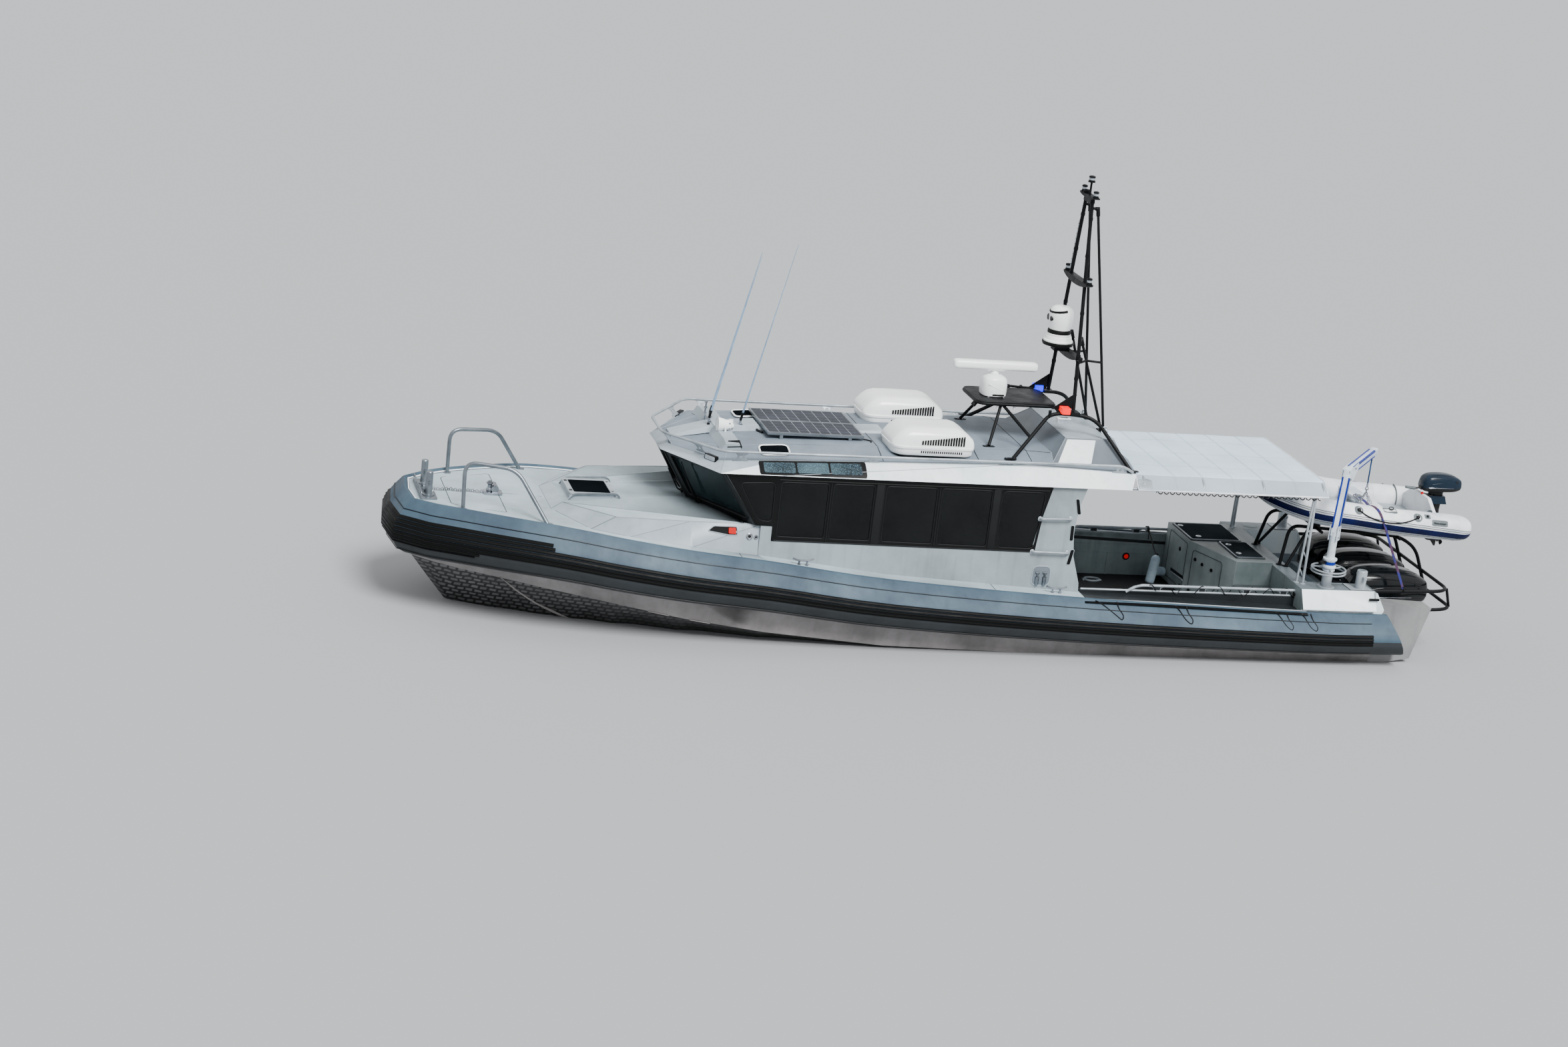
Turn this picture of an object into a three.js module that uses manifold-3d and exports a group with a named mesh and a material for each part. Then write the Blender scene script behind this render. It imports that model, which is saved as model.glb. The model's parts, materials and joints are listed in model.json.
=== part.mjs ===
import * as THREE from 'three';
import { mergeVertices } from 'three/addons/utils/BufferGeometryUtils.js';
import Module from 'manifold-3d';

// Inshore rescue boat: aluminium hull with a foam collar, wheelhouse, aft cockpit,
// three outboards and a small inflatable tender on a cradle over them.
// Millimetres. X forward, Y to port, Z up, origin on the waterline amidships.

const wasm = await Module();
wasm.setup();

// Driving dimensions
const SEAT_GAP = 0.3;
const DECK_THICK = 40;
const CABIN = { side: 1250, wall: 50, front: 2070, aft: -2050, bulkhead: -1780, sole: 200, headroom: 2090 };
const COCKPIT = { half: 1200, fore: 2300, aft: -4950, sole: 200 };
const STERN = { deckTop: 930, deckFoot: 560, wellHalf: 1100, wellFore: -5150, transom: -6000 };
const POD = { aft: -6750, side: 1170 };
const ENGINE = { spacing: 680, tiltX: -6090, tiltZ: 420 };
const DAVIT = { x: -5330, y: 1270 };
const RADAR = { x: -1020, plate: 2885 };
const CAMERA = { x: -1790, z: 3580 };
const MAST = { x: -1935, foot: 2855, top: 5400 };
const HUMP = { top: 2560, half: 700, fore: -1810, aft: -2450 };

// Hull stations: x, deck half breadth and height, chine half breadth and height, keel height
const STATIONS = [
  { x: -6000, deck: 1480, sheer: 645, chine: 1400, chineZ: -40, keel: -680 },
  { x: -4950, deck: 1490, sheer: 650, chine: 1420, chineZ: -40, keel: -680 },
  { x: -2050, deck: 1500, sheer: 742, chine: 1440, chineZ: -20, keel: -680 },
  { x: 440, deck: 1500, sheer: 892, chine: 1440, chineZ: 40, keel: -680 },
  { x: 1950, deck: 1495, sheer: 1066, chine: 1420, chineZ: 165, keel: -675 },
  { x: 2910, deck: 1455, sheer: 1152, chine: 1370, chineZ: 285, keel: -665 },
  { x: 3680, deck: 1380, sheer: 1238, chine: 1270, chineZ: 400, keel: -630 },
  { x: 4130, deck: 1300, sheer: 1292, chine: 1170, chineZ: 460, keel: -575 },
  { x: 4606, deck: 1190, sheer: 1335, chine: 1060, chineZ: 520, keel: -440 },
  { x: 5094, deck: 1010, sheer: 1352, chine: 900, chineZ: 575, keel: -295 },
  { x: 5553, deck: 800, sheer: 1360, chine: 700, chineZ: 605, keel: -70 },
  { x: 5840, deck: 640, sheer: 1355, chine: 520, chineZ: 620, keel: 280 },
  { x: 6084, deck: 440, sheer: 1350, chine: 310, chineZ: 632, keel: 612 },
  { x: 6124, deck: 3, sheer: 1350, chine: 2, chineZ: 650, keel: 640 },
];
const EDGE_GAP = 0.5;
const SPIN_GAP = 0.8;
const REACH = 9000;

// Collar section: outward reach and height from the deck edge, for a height factor of one
const COLLAR_SECTION = [
  [0, -2], [60, 48], [175, -80], [265, -205], [300, -300], [300, -420], [235, -545], [100, -620], [0, -560],
];

function interpolate(x, key) {
  const after = STATIONS.findIndex((station) => station.x >= x);
  if (after === 0) return STATIONS[0][key];
  if (after < 0) return STATIONS.at(-1)[key];
  const low = STATIONS[after - 1];
  const high = STATIONS[after];
  return low[key] + (high[key] - low[key]) * (x - low.x) / (high.x - low.x);
}

const deckHeight = (x) => interpolate(x, 'sheer');

function toSolid(geometry) {
  geometry.deleteAttribute('normal');
  geometry.deleteAttribute('uv');
  const merged = mergeVertices(geometry, 0.001);
  const mesh = new wasm.Mesh({
    numProp: 3,
    vertProperties: new Float32Array(merged.attributes.position.array),
    triVerts: new Uint32Array(merged.index.array),
  });
  return new wasm.Manifold(mesh);
}

function toGeometry(body) {
  const mesh = body.getMesh();
  const geometry = new THREE.BufferGeometry();
  geometry.setAttribute('position', new THREE.BufferAttribute(mesh.vertProperties, 3));
  geometry.setIndex(new THREE.BufferAttribute(mesh.triVerts, 1));
  geometry.computeVertexNormals();
  return geometry;
}

const fuse = (...bodies) => bodies.flat().reduce((sum, body) => sum.add(body));
const cut = (body, ...tools) => tools.flat().reduce((rest, tool) => rest.subtract(tool), body);

function moved(body, x, y, z) {
  return toSolid(toGeometry(body).translate(x, y, z));
}

// A piece that stands on a carrier keeps the seat gap above it
const seatOn = (piece, carrier) => cut(piece, moved(carrier, 0, 0, SEAT_GAP));

// The same piece on the other side of the centreline
function mirrored(body) {
  const geometry = toGeometry(body).scale(1, -1, 1);
  const index = geometry.index.array;
  for (let i = 0; i < index.length; i += 3) [index[i], index[i + 1]] = [index[i + 1], index[i]];
  return toSolid(geometry);
}

const bothSides = (body) => [body, mirrored(body)];

// A piece cut back from its neighbours by the seat gap on every side
const SHIFTS = [[1, 0, 0], [-1, 0, 0], [0, 1, 0], [0, -1, 0], [0, 0, 1], [0, 0, -1]];
const clearOf = (piece, ...others) => cut(piece, others.flat().flatMap((other) => SHIFTS.map(
  ([x, y, z]) => moved(other, x * SEAT_GAP, y * SEAT_GAP, z * SEAT_GAP))));

// The port half and its mirror image, so that both sides have the same facets
function symmetric(body) {
  const port = body.intersect(box(-REACH, REACH, 0, REACH, -REACH, REACH));
  return fuse(bothSides(port));
}

function box(x0, x1, y0, y1, z0, z1) {
  const geometry = new THREE.BoxGeometry(x1 - x0, y1 - y0, z1 - z0);
  return toSolid(geometry.translate((x0 + x1) / 2, (y0 + y1) / 2, (z0 + z1) / 2));
}

// An outline in the plane across an axis, run along that axis from low to high
function prism(axis, outline, low, high) {
  const shape = new THREE.Shape(outline.map(([a, b]) => new THREE.Vector2(a, b)));
  const geometry = new THREE.ExtrudeGeometry(shape, { depth: high - low, bevelEnabled: false });
  if (axis === 'z') geometry.translate(0, 0, low);
  if (axis === 'y') geometry.rotateX(Math.PI / 2).translate(0, high, 0);
  if (axis === 'x') {
    geometry.applyMatrix4(new THREE.Matrix4().set(0, 0, 1, low, 1, 0, 0, 0, 0, 1, 0, 0, 0, 0, 0, 1));
  }
  return toSolid(geometry);
}

function signedVolume(points, faces) {
  return faces.reduce((sum, [a, b, c]) => sum + points[a].dot(points[b].clone().cross(points[c])), 0);
}

// A skin through rings of equal count, closed by a cap at each end
function loft(rings) {
  const count = rings[0].length;
  const points = rings.flat().map((p) => new THREE.Vector3(...p));
  const faces = [];
  for (let r = 0; r + 1 < rings.length; r += 1) {
    for (let i = 0; i < count; i += 1) {
      const j = (i + 1) % count;
      const [a, b, c, d] = [r * count + i, r * count + j, (r + 1) * count + j, (r + 1) * count + i];
      faces.push([a, b, c], [a, c, d]);
    }
  }
  for (const [first, flip] of [[0, true], [(rings.length - 1) * count, false]]) {
    const ring = points.slice(first, first + count);
    for (const [a, b, c] of capFaces(ring)) {
      faces.push(flip ? [first + c, first + b, first + a] : [first + a, first + b, first + c]);
    }
  }
  const outward = signedVolume(points, faces) > 0;
  const geometry = new THREE.BufferGeometry();
  geometry.setAttribute('position', new THREE.Float32BufferAttribute(points.flatMap((p) => p.toArray()), 3));
  geometry.setIndex(faces.flatMap(([a, b, c]) => (outward ? [a, b, c] : [a, c, b])));
  return toSolid(geometry);
}

function capFaces(ring) {
  const normal = new THREE.Vector3();
  ring.forEach((p, i) => normal.add(p.clone().cross(ring[(i + 1) % ring.length])));
  normal.normalize();
  const across = new THREE.Vector3(1, 0, 0);
  if (Math.abs(normal.x) > 0.8) across.set(0, 1, 0);
  const u = across.cross(normal).normalize();
  const v = normal.clone().cross(u);
  const flat = ring.map((p) => new THREE.Vector2(p.dot(u), p.dot(v)));
  return THREE.ShapeUtils.triangulateShape(flat, []);
}

// Corners of a path turned into short arcs
function rounded(path, radius, steps = 3) {
  const points = path.map((p) => new THREE.Vector3(...p));
  const out = [points[0]];
  for (let i = 1; i + 1 < points.length; i += 1) {
    const back = points[i - 1].clone().sub(points[i]);
    const ahead = points[i + 1].clone().sub(points[i]);
    const reach = Math.min(radius, back.length() * 0.45, ahead.length() * 0.45);
    const start = points[i].clone().addScaledVector(back.normalize(), reach);
    const end = points[i].clone().addScaledVector(ahead.normalize(), reach);
    const bend = new THREE.QuadraticBezierCurve3(start, points[i], end);
    out.push(...bend.getPoints(steps));
  }
  out.push(points.at(-1));
  return out;
}

// Round bar along a path, mitred where the path turns
function tube(path, radius, { bend = 0, sides = 6, endRadius = radius, radii } = {}) {
  const points = bend ? rounded(path, bend) : path.map((p) => new THREE.Vector3(...p));
  const step = (i) => points[i + 1].clone().sub(points[i]).normalize();
  let u = new THREE.Vector3(0, 0, 1);
  if (Math.abs(step(0).z) > 0.9) u = new THREE.Vector3(1, 0, 0);
  u.cross(step(0)).normalize();
  const rings = points.map((point, i) => {
    const before = step(Math.max(i - 1, 0));
    const after = step(Math.min(i, points.length - 2));
    const v = before.clone().cross(u).normalize();
    const mitre = before.clone().add(after).normalize();
    const r = radii ? radii[i] : i === points.length - 1 ? endRadius : radius;
    const ring = Array.from({ length: sides }, (_, k) => {
      const angle = (k + 0.5) * 2 * Math.PI / sides;
      const offset = u.clone().multiplyScalar(r * Math.cos(angle)).addScaledVector(v, r * Math.sin(angle));
      offset.addScaledVector(before, -offset.dot(mitre) / before.dot(mitre));
      return offset.add(point).toArray();
    });
    u.applyQuaternion(new THREE.Quaternion().setFromUnitVectors(before, after));
    return ring;
  });
  return loft(rings);
}

// Turned shape about a vertical axis; the profile is [radius, height] from the axis and back to it
function turned(profile, x, y, z, sides = 12) {
  const geometry = new THREE.LatheGeometry(profile.map(([r, h]) => new THREE.Vector2(r, h)), sides);
  return toSolid(geometry.rotateX(Math.PI / 2).translate(x, y, z));
}

const disc = (x, y, z0, z1, radius, sides = 12) => turned(
  [[0, 0], [radius, 0], [radius, z1 - z0], [0, z1 - z0]], x, y, z0, sides);

const group = new THREE.Group();

function addPiece(name, body, color, roughness = 0.5, metalness = 0) {
  const material = new THREE.MeshStandardMaterial({ color, roughness, metalness });
  const mesh = new THREE.Mesh(toGeometry(body), material);
  mesh.name = name;
  group.add(mesh);
}

// Hull: keel, chine, knuckle under the collar and deck edge at each station
function hullRing({ x, deck, sheer, chine, chineZ, keel }) {
  const knuckle = Math.max(chineZ + 15, sheer - 560);
  const top = sheer - DECK_THICK - SEAT_GAP;
  const half = [[chine, chineZ], [deck - EDGE_GAP, knuckle], [deck - EDGE_GAP, top]];
  const port = half.map(([y, z]) => [x, y, z]);
  const starboard = half.reverse().map(([y, z]) => [x, -y, z]);
  return [[x, 0, keel], ...port, ...starboard];
}

const pod = fuse(bothSides(prism('y', [
  [STERN.transom + 10, -40], [STERN.transom + 10, 700], [-6050, 770], [POD.aft, 740], [-6560, 60],
], POD.side, 1440)));
const hull = cut(
  fuse(loft(STATIONS.map(hullRing)), pod),
  box(COCKPIT.aft, COCKPIT.fore, -COCKPIT.half, COCKPIT.half, COCKPIT.sole, REACH),
  box(STERN.transom - 20, STERN.wellFore, -STERN.wellHalf, STERN.wellHalf, 500, REACH),
  box(STERN.transom + 90, STERN.wellFore, -STERN.wellHalf, STERN.wellHalf, 250, REACH),
);

// Five plated parts: the bottom up to the sole, the bow, both sides of the well, and the stern
const floorTop = COCKPIT.sole + SEAT_GAP;
const HULL_PARTS = {
  hull: [-REACH, REACH, -REACH, REACH, -REACH, COCKPIT.sole],
  hull_bow: [COCKPIT.fore, REACH, -REACH, REACH, floorTop, REACH],
  hull_side_port: [COCKPIT.aft + SEAT_GAP, COCKPIT.fore - SEAT_GAP, 0, REACH, floorTop, REACH],
  hull_side_starboard: [COCKPIT.aft + SEAT_GAP, COCKPIT.fore - SEAT_GAP, -REACH, 0, floorTop, REACH],
  hull_stern: [-REACH, COCKPIT.aft, -REACH, REACH, floorTop, REACH],
};
for (const [name, limits] of Object.entries(HULL_PARTS)) {
  addPiece(name, hull.intersect(box(...limits)), 0x8d9093, 0.45, 0.3);
}

// Collar along the deck edge, round the nose and back, with a raked cut at each stern end
const COLLAR_GROWTH = { stern: 0.8, bow: 1.04 };
const collarHeight = (x) => THREE.MathUtils.mapLinear(
  x, STATIONS[0].x, STATIONS.at(-1).x, COLLAR_GROWTH.stern, COLLAR_GROWTH.bow);
const portPath = STATIONS.slice(0, -1).map(({ x, deck, sheer }) => ({
  x, y: deck, z: sheer, height: collarHeight(x),
}));
const nose = { x: STATIONS.at(-1).x + 1, y: 0, z: STATIONS.at(-1).sheer, height: COLLAR_GROWTH.bow };
const collarPath = [...portPath, nose, ...portPath.map((p) => ({ ...p, y: -p.y })).reverse()];

function outwardAt(path, i) {
  const before = path[Math.max(i - 1, 0)];
  const after = path[Math.min(i + 1, path.length - 1)];
  return new THREE.Vector2(-(after.y - before.y), after.x - before.x).normalize();
}

function alongCollar(section, path = collarPath, sternRake = 0.5) {
  return loft(path.map((p, i) => {
    const out = outwardAt(path, i);
    const atStern = Math.abs(p.x - STATIONS[0].x) < 1;
    return section.map(([reach, drop]) => {
      const down = drop * p.height;
      const rake = atStern ? sternRake * down - 110 : 0;
      return [p.x + out.x * reach + rake, p.y + out.y * reach, p.z + down];
    });
  }));
}

addPiece('collar', alongCollar(COLLAR_SECTION), 0x5f7a85, 0.6);

// Ribbed black rubber band on the collar's outer face, with extra rows round the bow
const RIB = { proud: 14, lip: 6, groove: 4, bed: 20 };
function collarReach(drop) {
  const i = COLLAR_SECTION.findIndex(([, z], k) => k > 2 && z <= drop);
  const [[r0, z0], [r1, z1]] = [COLLAR_SECTION[i - 1], COLLAR_SECTION[i]];
  return r0 + (r1 - r0) * (drop - z0) / (z1 - z0);
}
function ribSection({ top, bottom, count }) {
  const pitch = (top - bottom) / count;
  const ribs = Array.from({ length: count }, (_, i) => top - i * pitch).flatMap((z) => [
    [collarReach(z) + RIB.proud, z - RIB.lip],
    [collarReach(z - pitch) + RIB.proud, z - pitch + RIB.proud],
    [collarReach(z - pitch) + RIB.groove, z - pitch + RIB.groove],
  ]);
  return [[collarReach(top) - RIB.bed, top], ...ribs, [collarReach(bottom) - RIB.bed, bottom]];
}
const grownCollar = alongCollar(COLLAR_SECTION.map(([reach, z]) => [reach + SEAT_GAP, z]));
function ribRows(rows, aft) {
  const path = collarPath.slice(1, -1).filter(({ x }) => x > aft);
  return alongCollar(ribSection(rows), path, 0);
}
const slanted = (...outline) => prism('y', outline, -REACH, REACH);
const upperEnd = slanted([3000, 900], [4363, 900], [4615, 1300], [3000, 1300]);
const lowerEnd = slanted([4000, 700], [5674, 700], [5139, 1050], [4000, 1050]);
const band = fuse(
  ribRows({ top: -215, bottom: -400, count: 4 }, -REACH),
  cut(ribRows({ top: -140, bottom: -225, count: 2 }, 4000), upperEnd),
  cut(ribRows({ top: -390, bottom: -455, count: 1 }, 4600), lowerEnd),
);
addPiece('rubbing_band', cut(band, grownCollar), 0x17181a, 0.8);

// Deck plate with the raised trunk, cut for the cabin, the cockpit and the hatches
const deckPlate = loft(STATIONS.filter(({ x }) => x >= COCKPIT.aft).map(({ x, deck, sheer }) => [
  [x, deck - EDGE_GAP, sheer - DECK_THICK], [x, deck - EDGE_GAP, sheer],
  [x, EDGE_GAP - deck, sheer], [x, EDGE_GAP - deck, sheer - DECK_THICK],
]));
const TRUNK_FOOT = [[4510, 480], [4130, 1120], [3680, 1195], [2910, 1240], [CABIN.front, CABIN.side]];
const TRUNK_TOP = [
  [4340, 430, 1398], [3800, 1060, 1432], [3500, 1090, 1434], [2910, 1150, 1440], [CABIN.front, 1205, 1446],
];
const TRUNK_AFT = [2730, 340];
function trunkRing(side, aftHeight) {
  const port = [...side, [...TRUNK_AFT, aftHeight]];
  return [...port, ...port.toReversed().map(([x, y, z]) => [x, -y, z])];
}
const trunk = loft([
  trunkRing(TRUNK_FOOT.map(([x, y]) => [x, y, deckHeight(x) - 20]), 1120),
  trunkRing(TRUNK_TOP, 1502),
]);
const HATCH = { x0: 3690, x1: 4210, half: 300, floor: 1290, top: 1452 };
const GRAB_RUN = [[3600, 345, 1400], [3660, 345, 1500], [4200, 345, 1478], [4280, 345, 1370]];
const grabRail = tube(GRAB_RUN, 13, { bend: 60 });
const hatchFrame = box(
  HATCH.x0 - 30, HATCH.x1 + 30, -HATCH.half - 30, HATCH.half + 30, HATCH.floor + 20, HATCH.top);
const deck = symmetric(cut(
  fuse(deckPlate, trunk, hatchFrame, bothSides(grabRail)),
  box(COCKPIT.aft - 10, CABIN.front - 1, -COCKPIT.half, COCKPIT.half, 0, REACH),
  box(HATCH.x0, HATCH.x1, -HATCH.half, HATCH.half, HATCH.floor, REACH),
));
addPiece('deck', deck, 0xb9bcbd, 0.45, 0.3);

const hatchLid = loft([[0, 0], [0, 22], [14, 34]].map(([inset, up]) => roundedRing(
  HATCH.x0 - 26 + inset, HATCH.x1 + 26 - inset, -HATCH.half - 26 + inset, HATCH.half + 26 - inset,
  HATCH.top + SEAT_GAP + up, 60)));
addPiece('foredeck_hatch', hatchLid, 0x202427, 0.2);

const underDeck = loft(STATIONS.map(({ x, deck: half, sheer }) => [
  [x, half, sheer - 400], [x, half, sheer - 10], [x, -half, sheer - 10], [x, -half, sheer - 400],
]));
const onDeck = (piece) => cut(seatOn(piece, deck), underDeck);

// Bow fittings: twin bitts on a nose plate, two hoops and the windlass
const BITT = { x: 5930, y: 244, top: 1660, radius: 42 };
const bitt = fuse(
  disc(BITT.x, BITT.y, 1340, BITT.top, BITT.radius, 10),
  tube([[BITT.x, BITT.y - 85, 1545], [BITT.x, BITT.y + 85, 1545]], 14),
);
const nosePlate = fuse(box(5840, 6040, -400, 400, 1330, 1370), box(6024, 6040, -400, 400, 1330, 1445));
addPiece('bow_bitts', onDeck(fuse(nosePlate, bothSides(bitt))), 0xc6cacb, 0.45, 0.3);
const HOOP_RUN = [[5580, 755, 1340], [5590, 700, 1930], [4990, 850, 1900], [4610, 1145, 1310]];
const bowHoop = onDeck(tube(HOOP_RUN, 24, { bend: 140, sides: 8 }));
addPiece('bow_hoop_port', bowHoop, 0xd2d5d6, 0.35, 0.4);
addPiece('bow_hoop_starboard', mirrored(bowHoop), 0xd2d5d6, 0.35, 0.4);
const WINDLASS = { x: 5130, y: 40 };
const windlass = onDeck(fuse(
  box(WINDLASS.x - 110, WINDLASS.x + 110, WINDLASS.y - 75, WINDLASS.y + 75, 1330, 1385),
  tube([[WINDLASS.x - 20, WINDLASS.y - 110, 1425], [WINDLASS.x - 20, WINDLASS.y + 70, 1425]], 48, { sides: 10 }),
  turned([[0, 0], [40, 0], [40, 40], [26, 60], [26, 95], [44, 115], [0, 120]], WINDLASS.x + 40, WINDLASS.y, 1380, 10),
));
addPiece('windlass', windlass, 0xb9bdbe, 0.3, 0.6);

// Cabin sides with their window openings; the aft edge is a curved wing
const WINDOW = { fore: 1860, aft: -1370, sill: 1310, head: 2015 };
const WING_EDGE = [[-1990, 2088], [-1915, 1830], [-1885, 1520], [-1925, 1200], [-2040, 860]];
const sideFoot = [CABIN.aft, 440, 1950, CABIN.front].map((x) => [x, deckHeight(x)]);
const SIDE_TOP = [[CABIN.front, 1446], [2130, 1449], [2575, CABIN.headroom]];
const sideOutline = [...sideFoot, ...SIDE_TOP, ...WING_EDGE];
const PANE_SPANS = [[1885, 1270], [1240, 700], [580, -90], [-120, -790], [-890, WINDOW.aft]];
const PANE_SLOPE = (WINDOW.sill - 1270) / (WINDOW.fore + 1300);
const sillAt = (x) => WINDOW.sill + (x - WINDOW.fore) * PANE_SLOPE;
const sidePanes = PANE_SPANS.map(([fore, aft], i) => {
  const sweep = i === PANE_SPANS.length - 1 ? 110 : 0;
  const opening = [[fore, sillAt(fore)], [fore, WINDOW.head], [aft - sweep, WINDOW.head], [aft, sillAt(aft)]];
  return prism('y', opening, CABIN.side - 150, CABIN.side + 150);
});
const QUARTER = [[2125, 1515], [1930, 1485], [1940, 2005], [2400, 1985]];
const quarterPane = prism('y', QUARTER, CABIN.side - 150, CABIN.side + 150);
const portSide = cut(
  seatOn(prism('y', sideOutline, CABIN.side - CABIN.wall, CABIN.side), deck),
  sidePanes,
  quarterPane,
);
addPiece('cabin_side_port', portSide, 0xc3c6c7, 0.45, 0.3);
addPiece('cabin_side_starboard', mirrored(portSide), 0xc3c6c7, 0.45, 0.3);

const GLASS = 8;
const innerFace = CABIN.side - CABIN.wall - SEAT_GAP;
const sideGlass = prism('y', [
  [1990, 1240], [2070, 1449], [2138, 1452], [2563, 2060], [-1540, 2060], [-1430, 1240],
], innerFace - GLASS, innerFace);

// Windscreen: three flat faces that lean forward at the top
const SCREEN = {
  foot: [[2145, CABIN.side - 1, 1449], [2800, 350, 1504]],
  head: [[2590, CABIN.side - 1, CABIN.headroom - 1], [3150, 350, CABIN.headroom - 1]],
  wall: 40,
};
function screenRing(corners, out, inn) {
  const port = (depth) => corners.map(([x, y, z], i) => [x - depth, y - (i === 0 ? 0 : depth * 0.35), z]);
  const across = (side) => [...side, ...side.toReversed().map(([x, y, z]) => [x, -y, z])];
  return [...across(port(out)), ...across(port(inn)).toReversed()];
}
const screenShell = (out, inn, low = SCREEN.foot, high = SCREEN.head) => loft([
  screenRing(low, out, inn), screenRing(high, out, inn),
]);

function screenPane(corners) {
  const [a, b, , d] = corners.map((p) => new THREE.Vector3(...p));
  const normal = b.clone().sub(a).cross(d.clone().sub(a)).normalize();
  const at = (depth) => corners.map((p) => new THREE.Vector3(...p).addScaledVector(normal, depth).toArray());
  return loft([at(-150), at(150)]);
}

// A pane's corners, drawn in from the face's corners by fractions of its sides
function paneCorners([lowA, lowB], [highA, highB], side, foot, head) {
  const mix = (a, b, t) => a.map((value, i) => value + (b[i] - value) * t);
  const low = [mix(lowA, lowB, side), mix(lowA, lowB, 1 - side)];
  const high = [mix(highA, highB, side), mix(highA, highB, 1 - side)];
  return [[0, foot], [1, foot], [1, head], [0, head]].map(([i, t]) => mix(low[i], high[i], t));
}
const flip = ([x, y, z]) => [x, -y, z];
const cornerPane = screenPane(paneCorners(SCREEN.foot, SCREEN.head, 0.07, 0.09, 0.93));
const centrePane = screenPane(paneCorners(
  [SCREEN.foot[1], flip(SCREEN.foot[1])], [SCREEN.head[1], flip(SCREEN.head[1])], 0.08, 0.09, 0.93));
const screenFrame = symmetric(clearOf(
  cut(seatOn(screenShell(0, SCREEN.wall), deck), bothSides(cornerPane), centrePane), bothSides(portSide)));
addPiece('windscreen_frame', screenFrame, 0x1b1e20, 0.5);

const screenGlass = screenShell(SCREEN.wall + SEAT_GAP, SCREEN.wall + SEAT_GAP + GLASS);
const inside = box(-2000, 3300, -innerFace, innerFace, 1000, 2500);
const cabinGlass = seatOn(fuse(screenGlass.intersect(inside), bothSides(sideGlass)), deck);
addPiece('cabin_glass', clearOf(cabinGlass, screenFrame), 0x14181b, 0.1);

// Roof with sloping fascia, a cambered top and the raised sensor hump aft
const ROOF = [
  { low: [3190, 350], edge: [3100, 335, 2165], crown: [3080, 250, 2185] },
  { low: [2645, 1300], edge: [2570, 1110, 2195], crown: [2450, 750, 2275] },
  { low: [1900, 1300], edge: [1900, 1105, 2225], crown: [1900, 750, 2330] },
  { low: [-1230, 1300], edge: [-1230, 1100, 2310], crown: [-1230, 750, 2390] },
  { low: [-2550, 1290], edge: [-2650, 1100, 2246], crown: [-2650, 750, 2330] },
];
const roofShell = loft(ROOF.map(({ low, edge, crown }) => {
  const port = [[...low, CABIN.headroom], edge, crown];
  return [...port, ...port.toReversed().map(flip)];
}));
const hump = loft([
  [[-1540, 1050, 2270], [-1540, -1050, 2270], [-2600, -1000, 2240], [-2600, 1000, 2240]],
  [[HUMP.fore, 1], [HUMP.fore, -1], [HUMP.aft, -1], [HUMP.aft, 1]].map(([x, side]) => [x, side * HUMP.half, HUMP.top]),
]);
const headliner = box(-1700, 2250, -1100, 1100, 2000, 2165);
const roof = symmetric(cut(fuse(roofShell, hump), headliner));
addPiece('roof', roof, 0xc0c3c4, 0.45, 0.3);

// Tubular rail round the roof on flat brackets
const RAIL_RUN = [[-2590, 1120, 2270], [-2450, 1130, 2345], [2610, 1181, 2328], [3187, 346, 2304]];
const railPath = [...RAIL_RUN, ...RAIL_RUN.toReversed().map(flip)];
const railBracket = (x, y, z) => box(x - 45, x + 45, y - 5, y + 5, z - 190, z - 4);
const RAIL_BRACKETS = [[2480, 1165, 2328], [1300, 1155, 2333], [-300, 1140, 2337], [-1750, 1132, 2343]];
const railBrackets = RAIL_BRACKETS.flatMap((p) => bothSides(railBracket(...p)));
const noseBracket = prism('y', [[3020, 2130], [3130, 2130], [3200, 2300], [3165, 2312]], 285, 295);
const roofRail = seatOn(fuse(tube(railPath, 16, { bend: 120 }), railBrackets, bothSides(noseBracket)), roof);
addPiece('roof_rail', roofRail, 0xd5d8d9, 0.35, 0.4);

// Solar panels, air conditioners, lamp and aerials on the roof
const SOLAR = { x0: 720, x1: 1925, half: 545, top: 2418, frame: 35 };
const solar = seatOn(fuse(
  box(SOLAR.x0, SOLAR.x1, -SOLAR.half, SOLAR.half, SOLAR.top - SOLAR.frame, SOLAR.top),
  [SOLAR.x0 + 150, SOLAR.x1 - 190].map((x) => box(x, x + 40, -SOLAR.half, SOLAR.half, 2250, SOLAR.top - 5)),
), roof);
addPiece('solar_panels', solar, 0x2c333b, 0.3);

function roundedRing(x0, x1, y0, y1, z, corner) {
  const c = corner;
  return [
    [x0 + c, y0], [x1 - c, y0], [x1, y0 + c], [x1, y1 - c], [x1 - c, y1], [x0 + c, y1], [x0, y1 - c], [x0, y0 + c],
  ].map(([x, y]) => [x, y, z]);
}
const COOLER = { x: -33, y: 689, length: 1050, width: 690, base: 2290, top: 2665 };
const coolerLevels = [[60, 30, 0], [0, 0, 90], [0, 0, 190], [70, 40, 300], [190, 110, 375]];
const cooler = seatOn(loft(coolerLevels.map(([endIn, sideIn, up]) => roundedRing(
  COOLER.x - COOLER.length / 2 + endIn, COOLER.x + COOLER.length / 2 - endIn * 1.5,
  COOLER.y - COOLER.width / 2 + sideIn, COOLER.y + COOLER.width / 2 - sideIn,
  COOLER.base + up, 90))), roof);
addPiece('air_conditioner_port', cooler, 0xe9ebeb, 0.4);
addPiece('air_conditioner_starboard', mirrored(cooler), 0xe9ebeb, 0.4);

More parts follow.
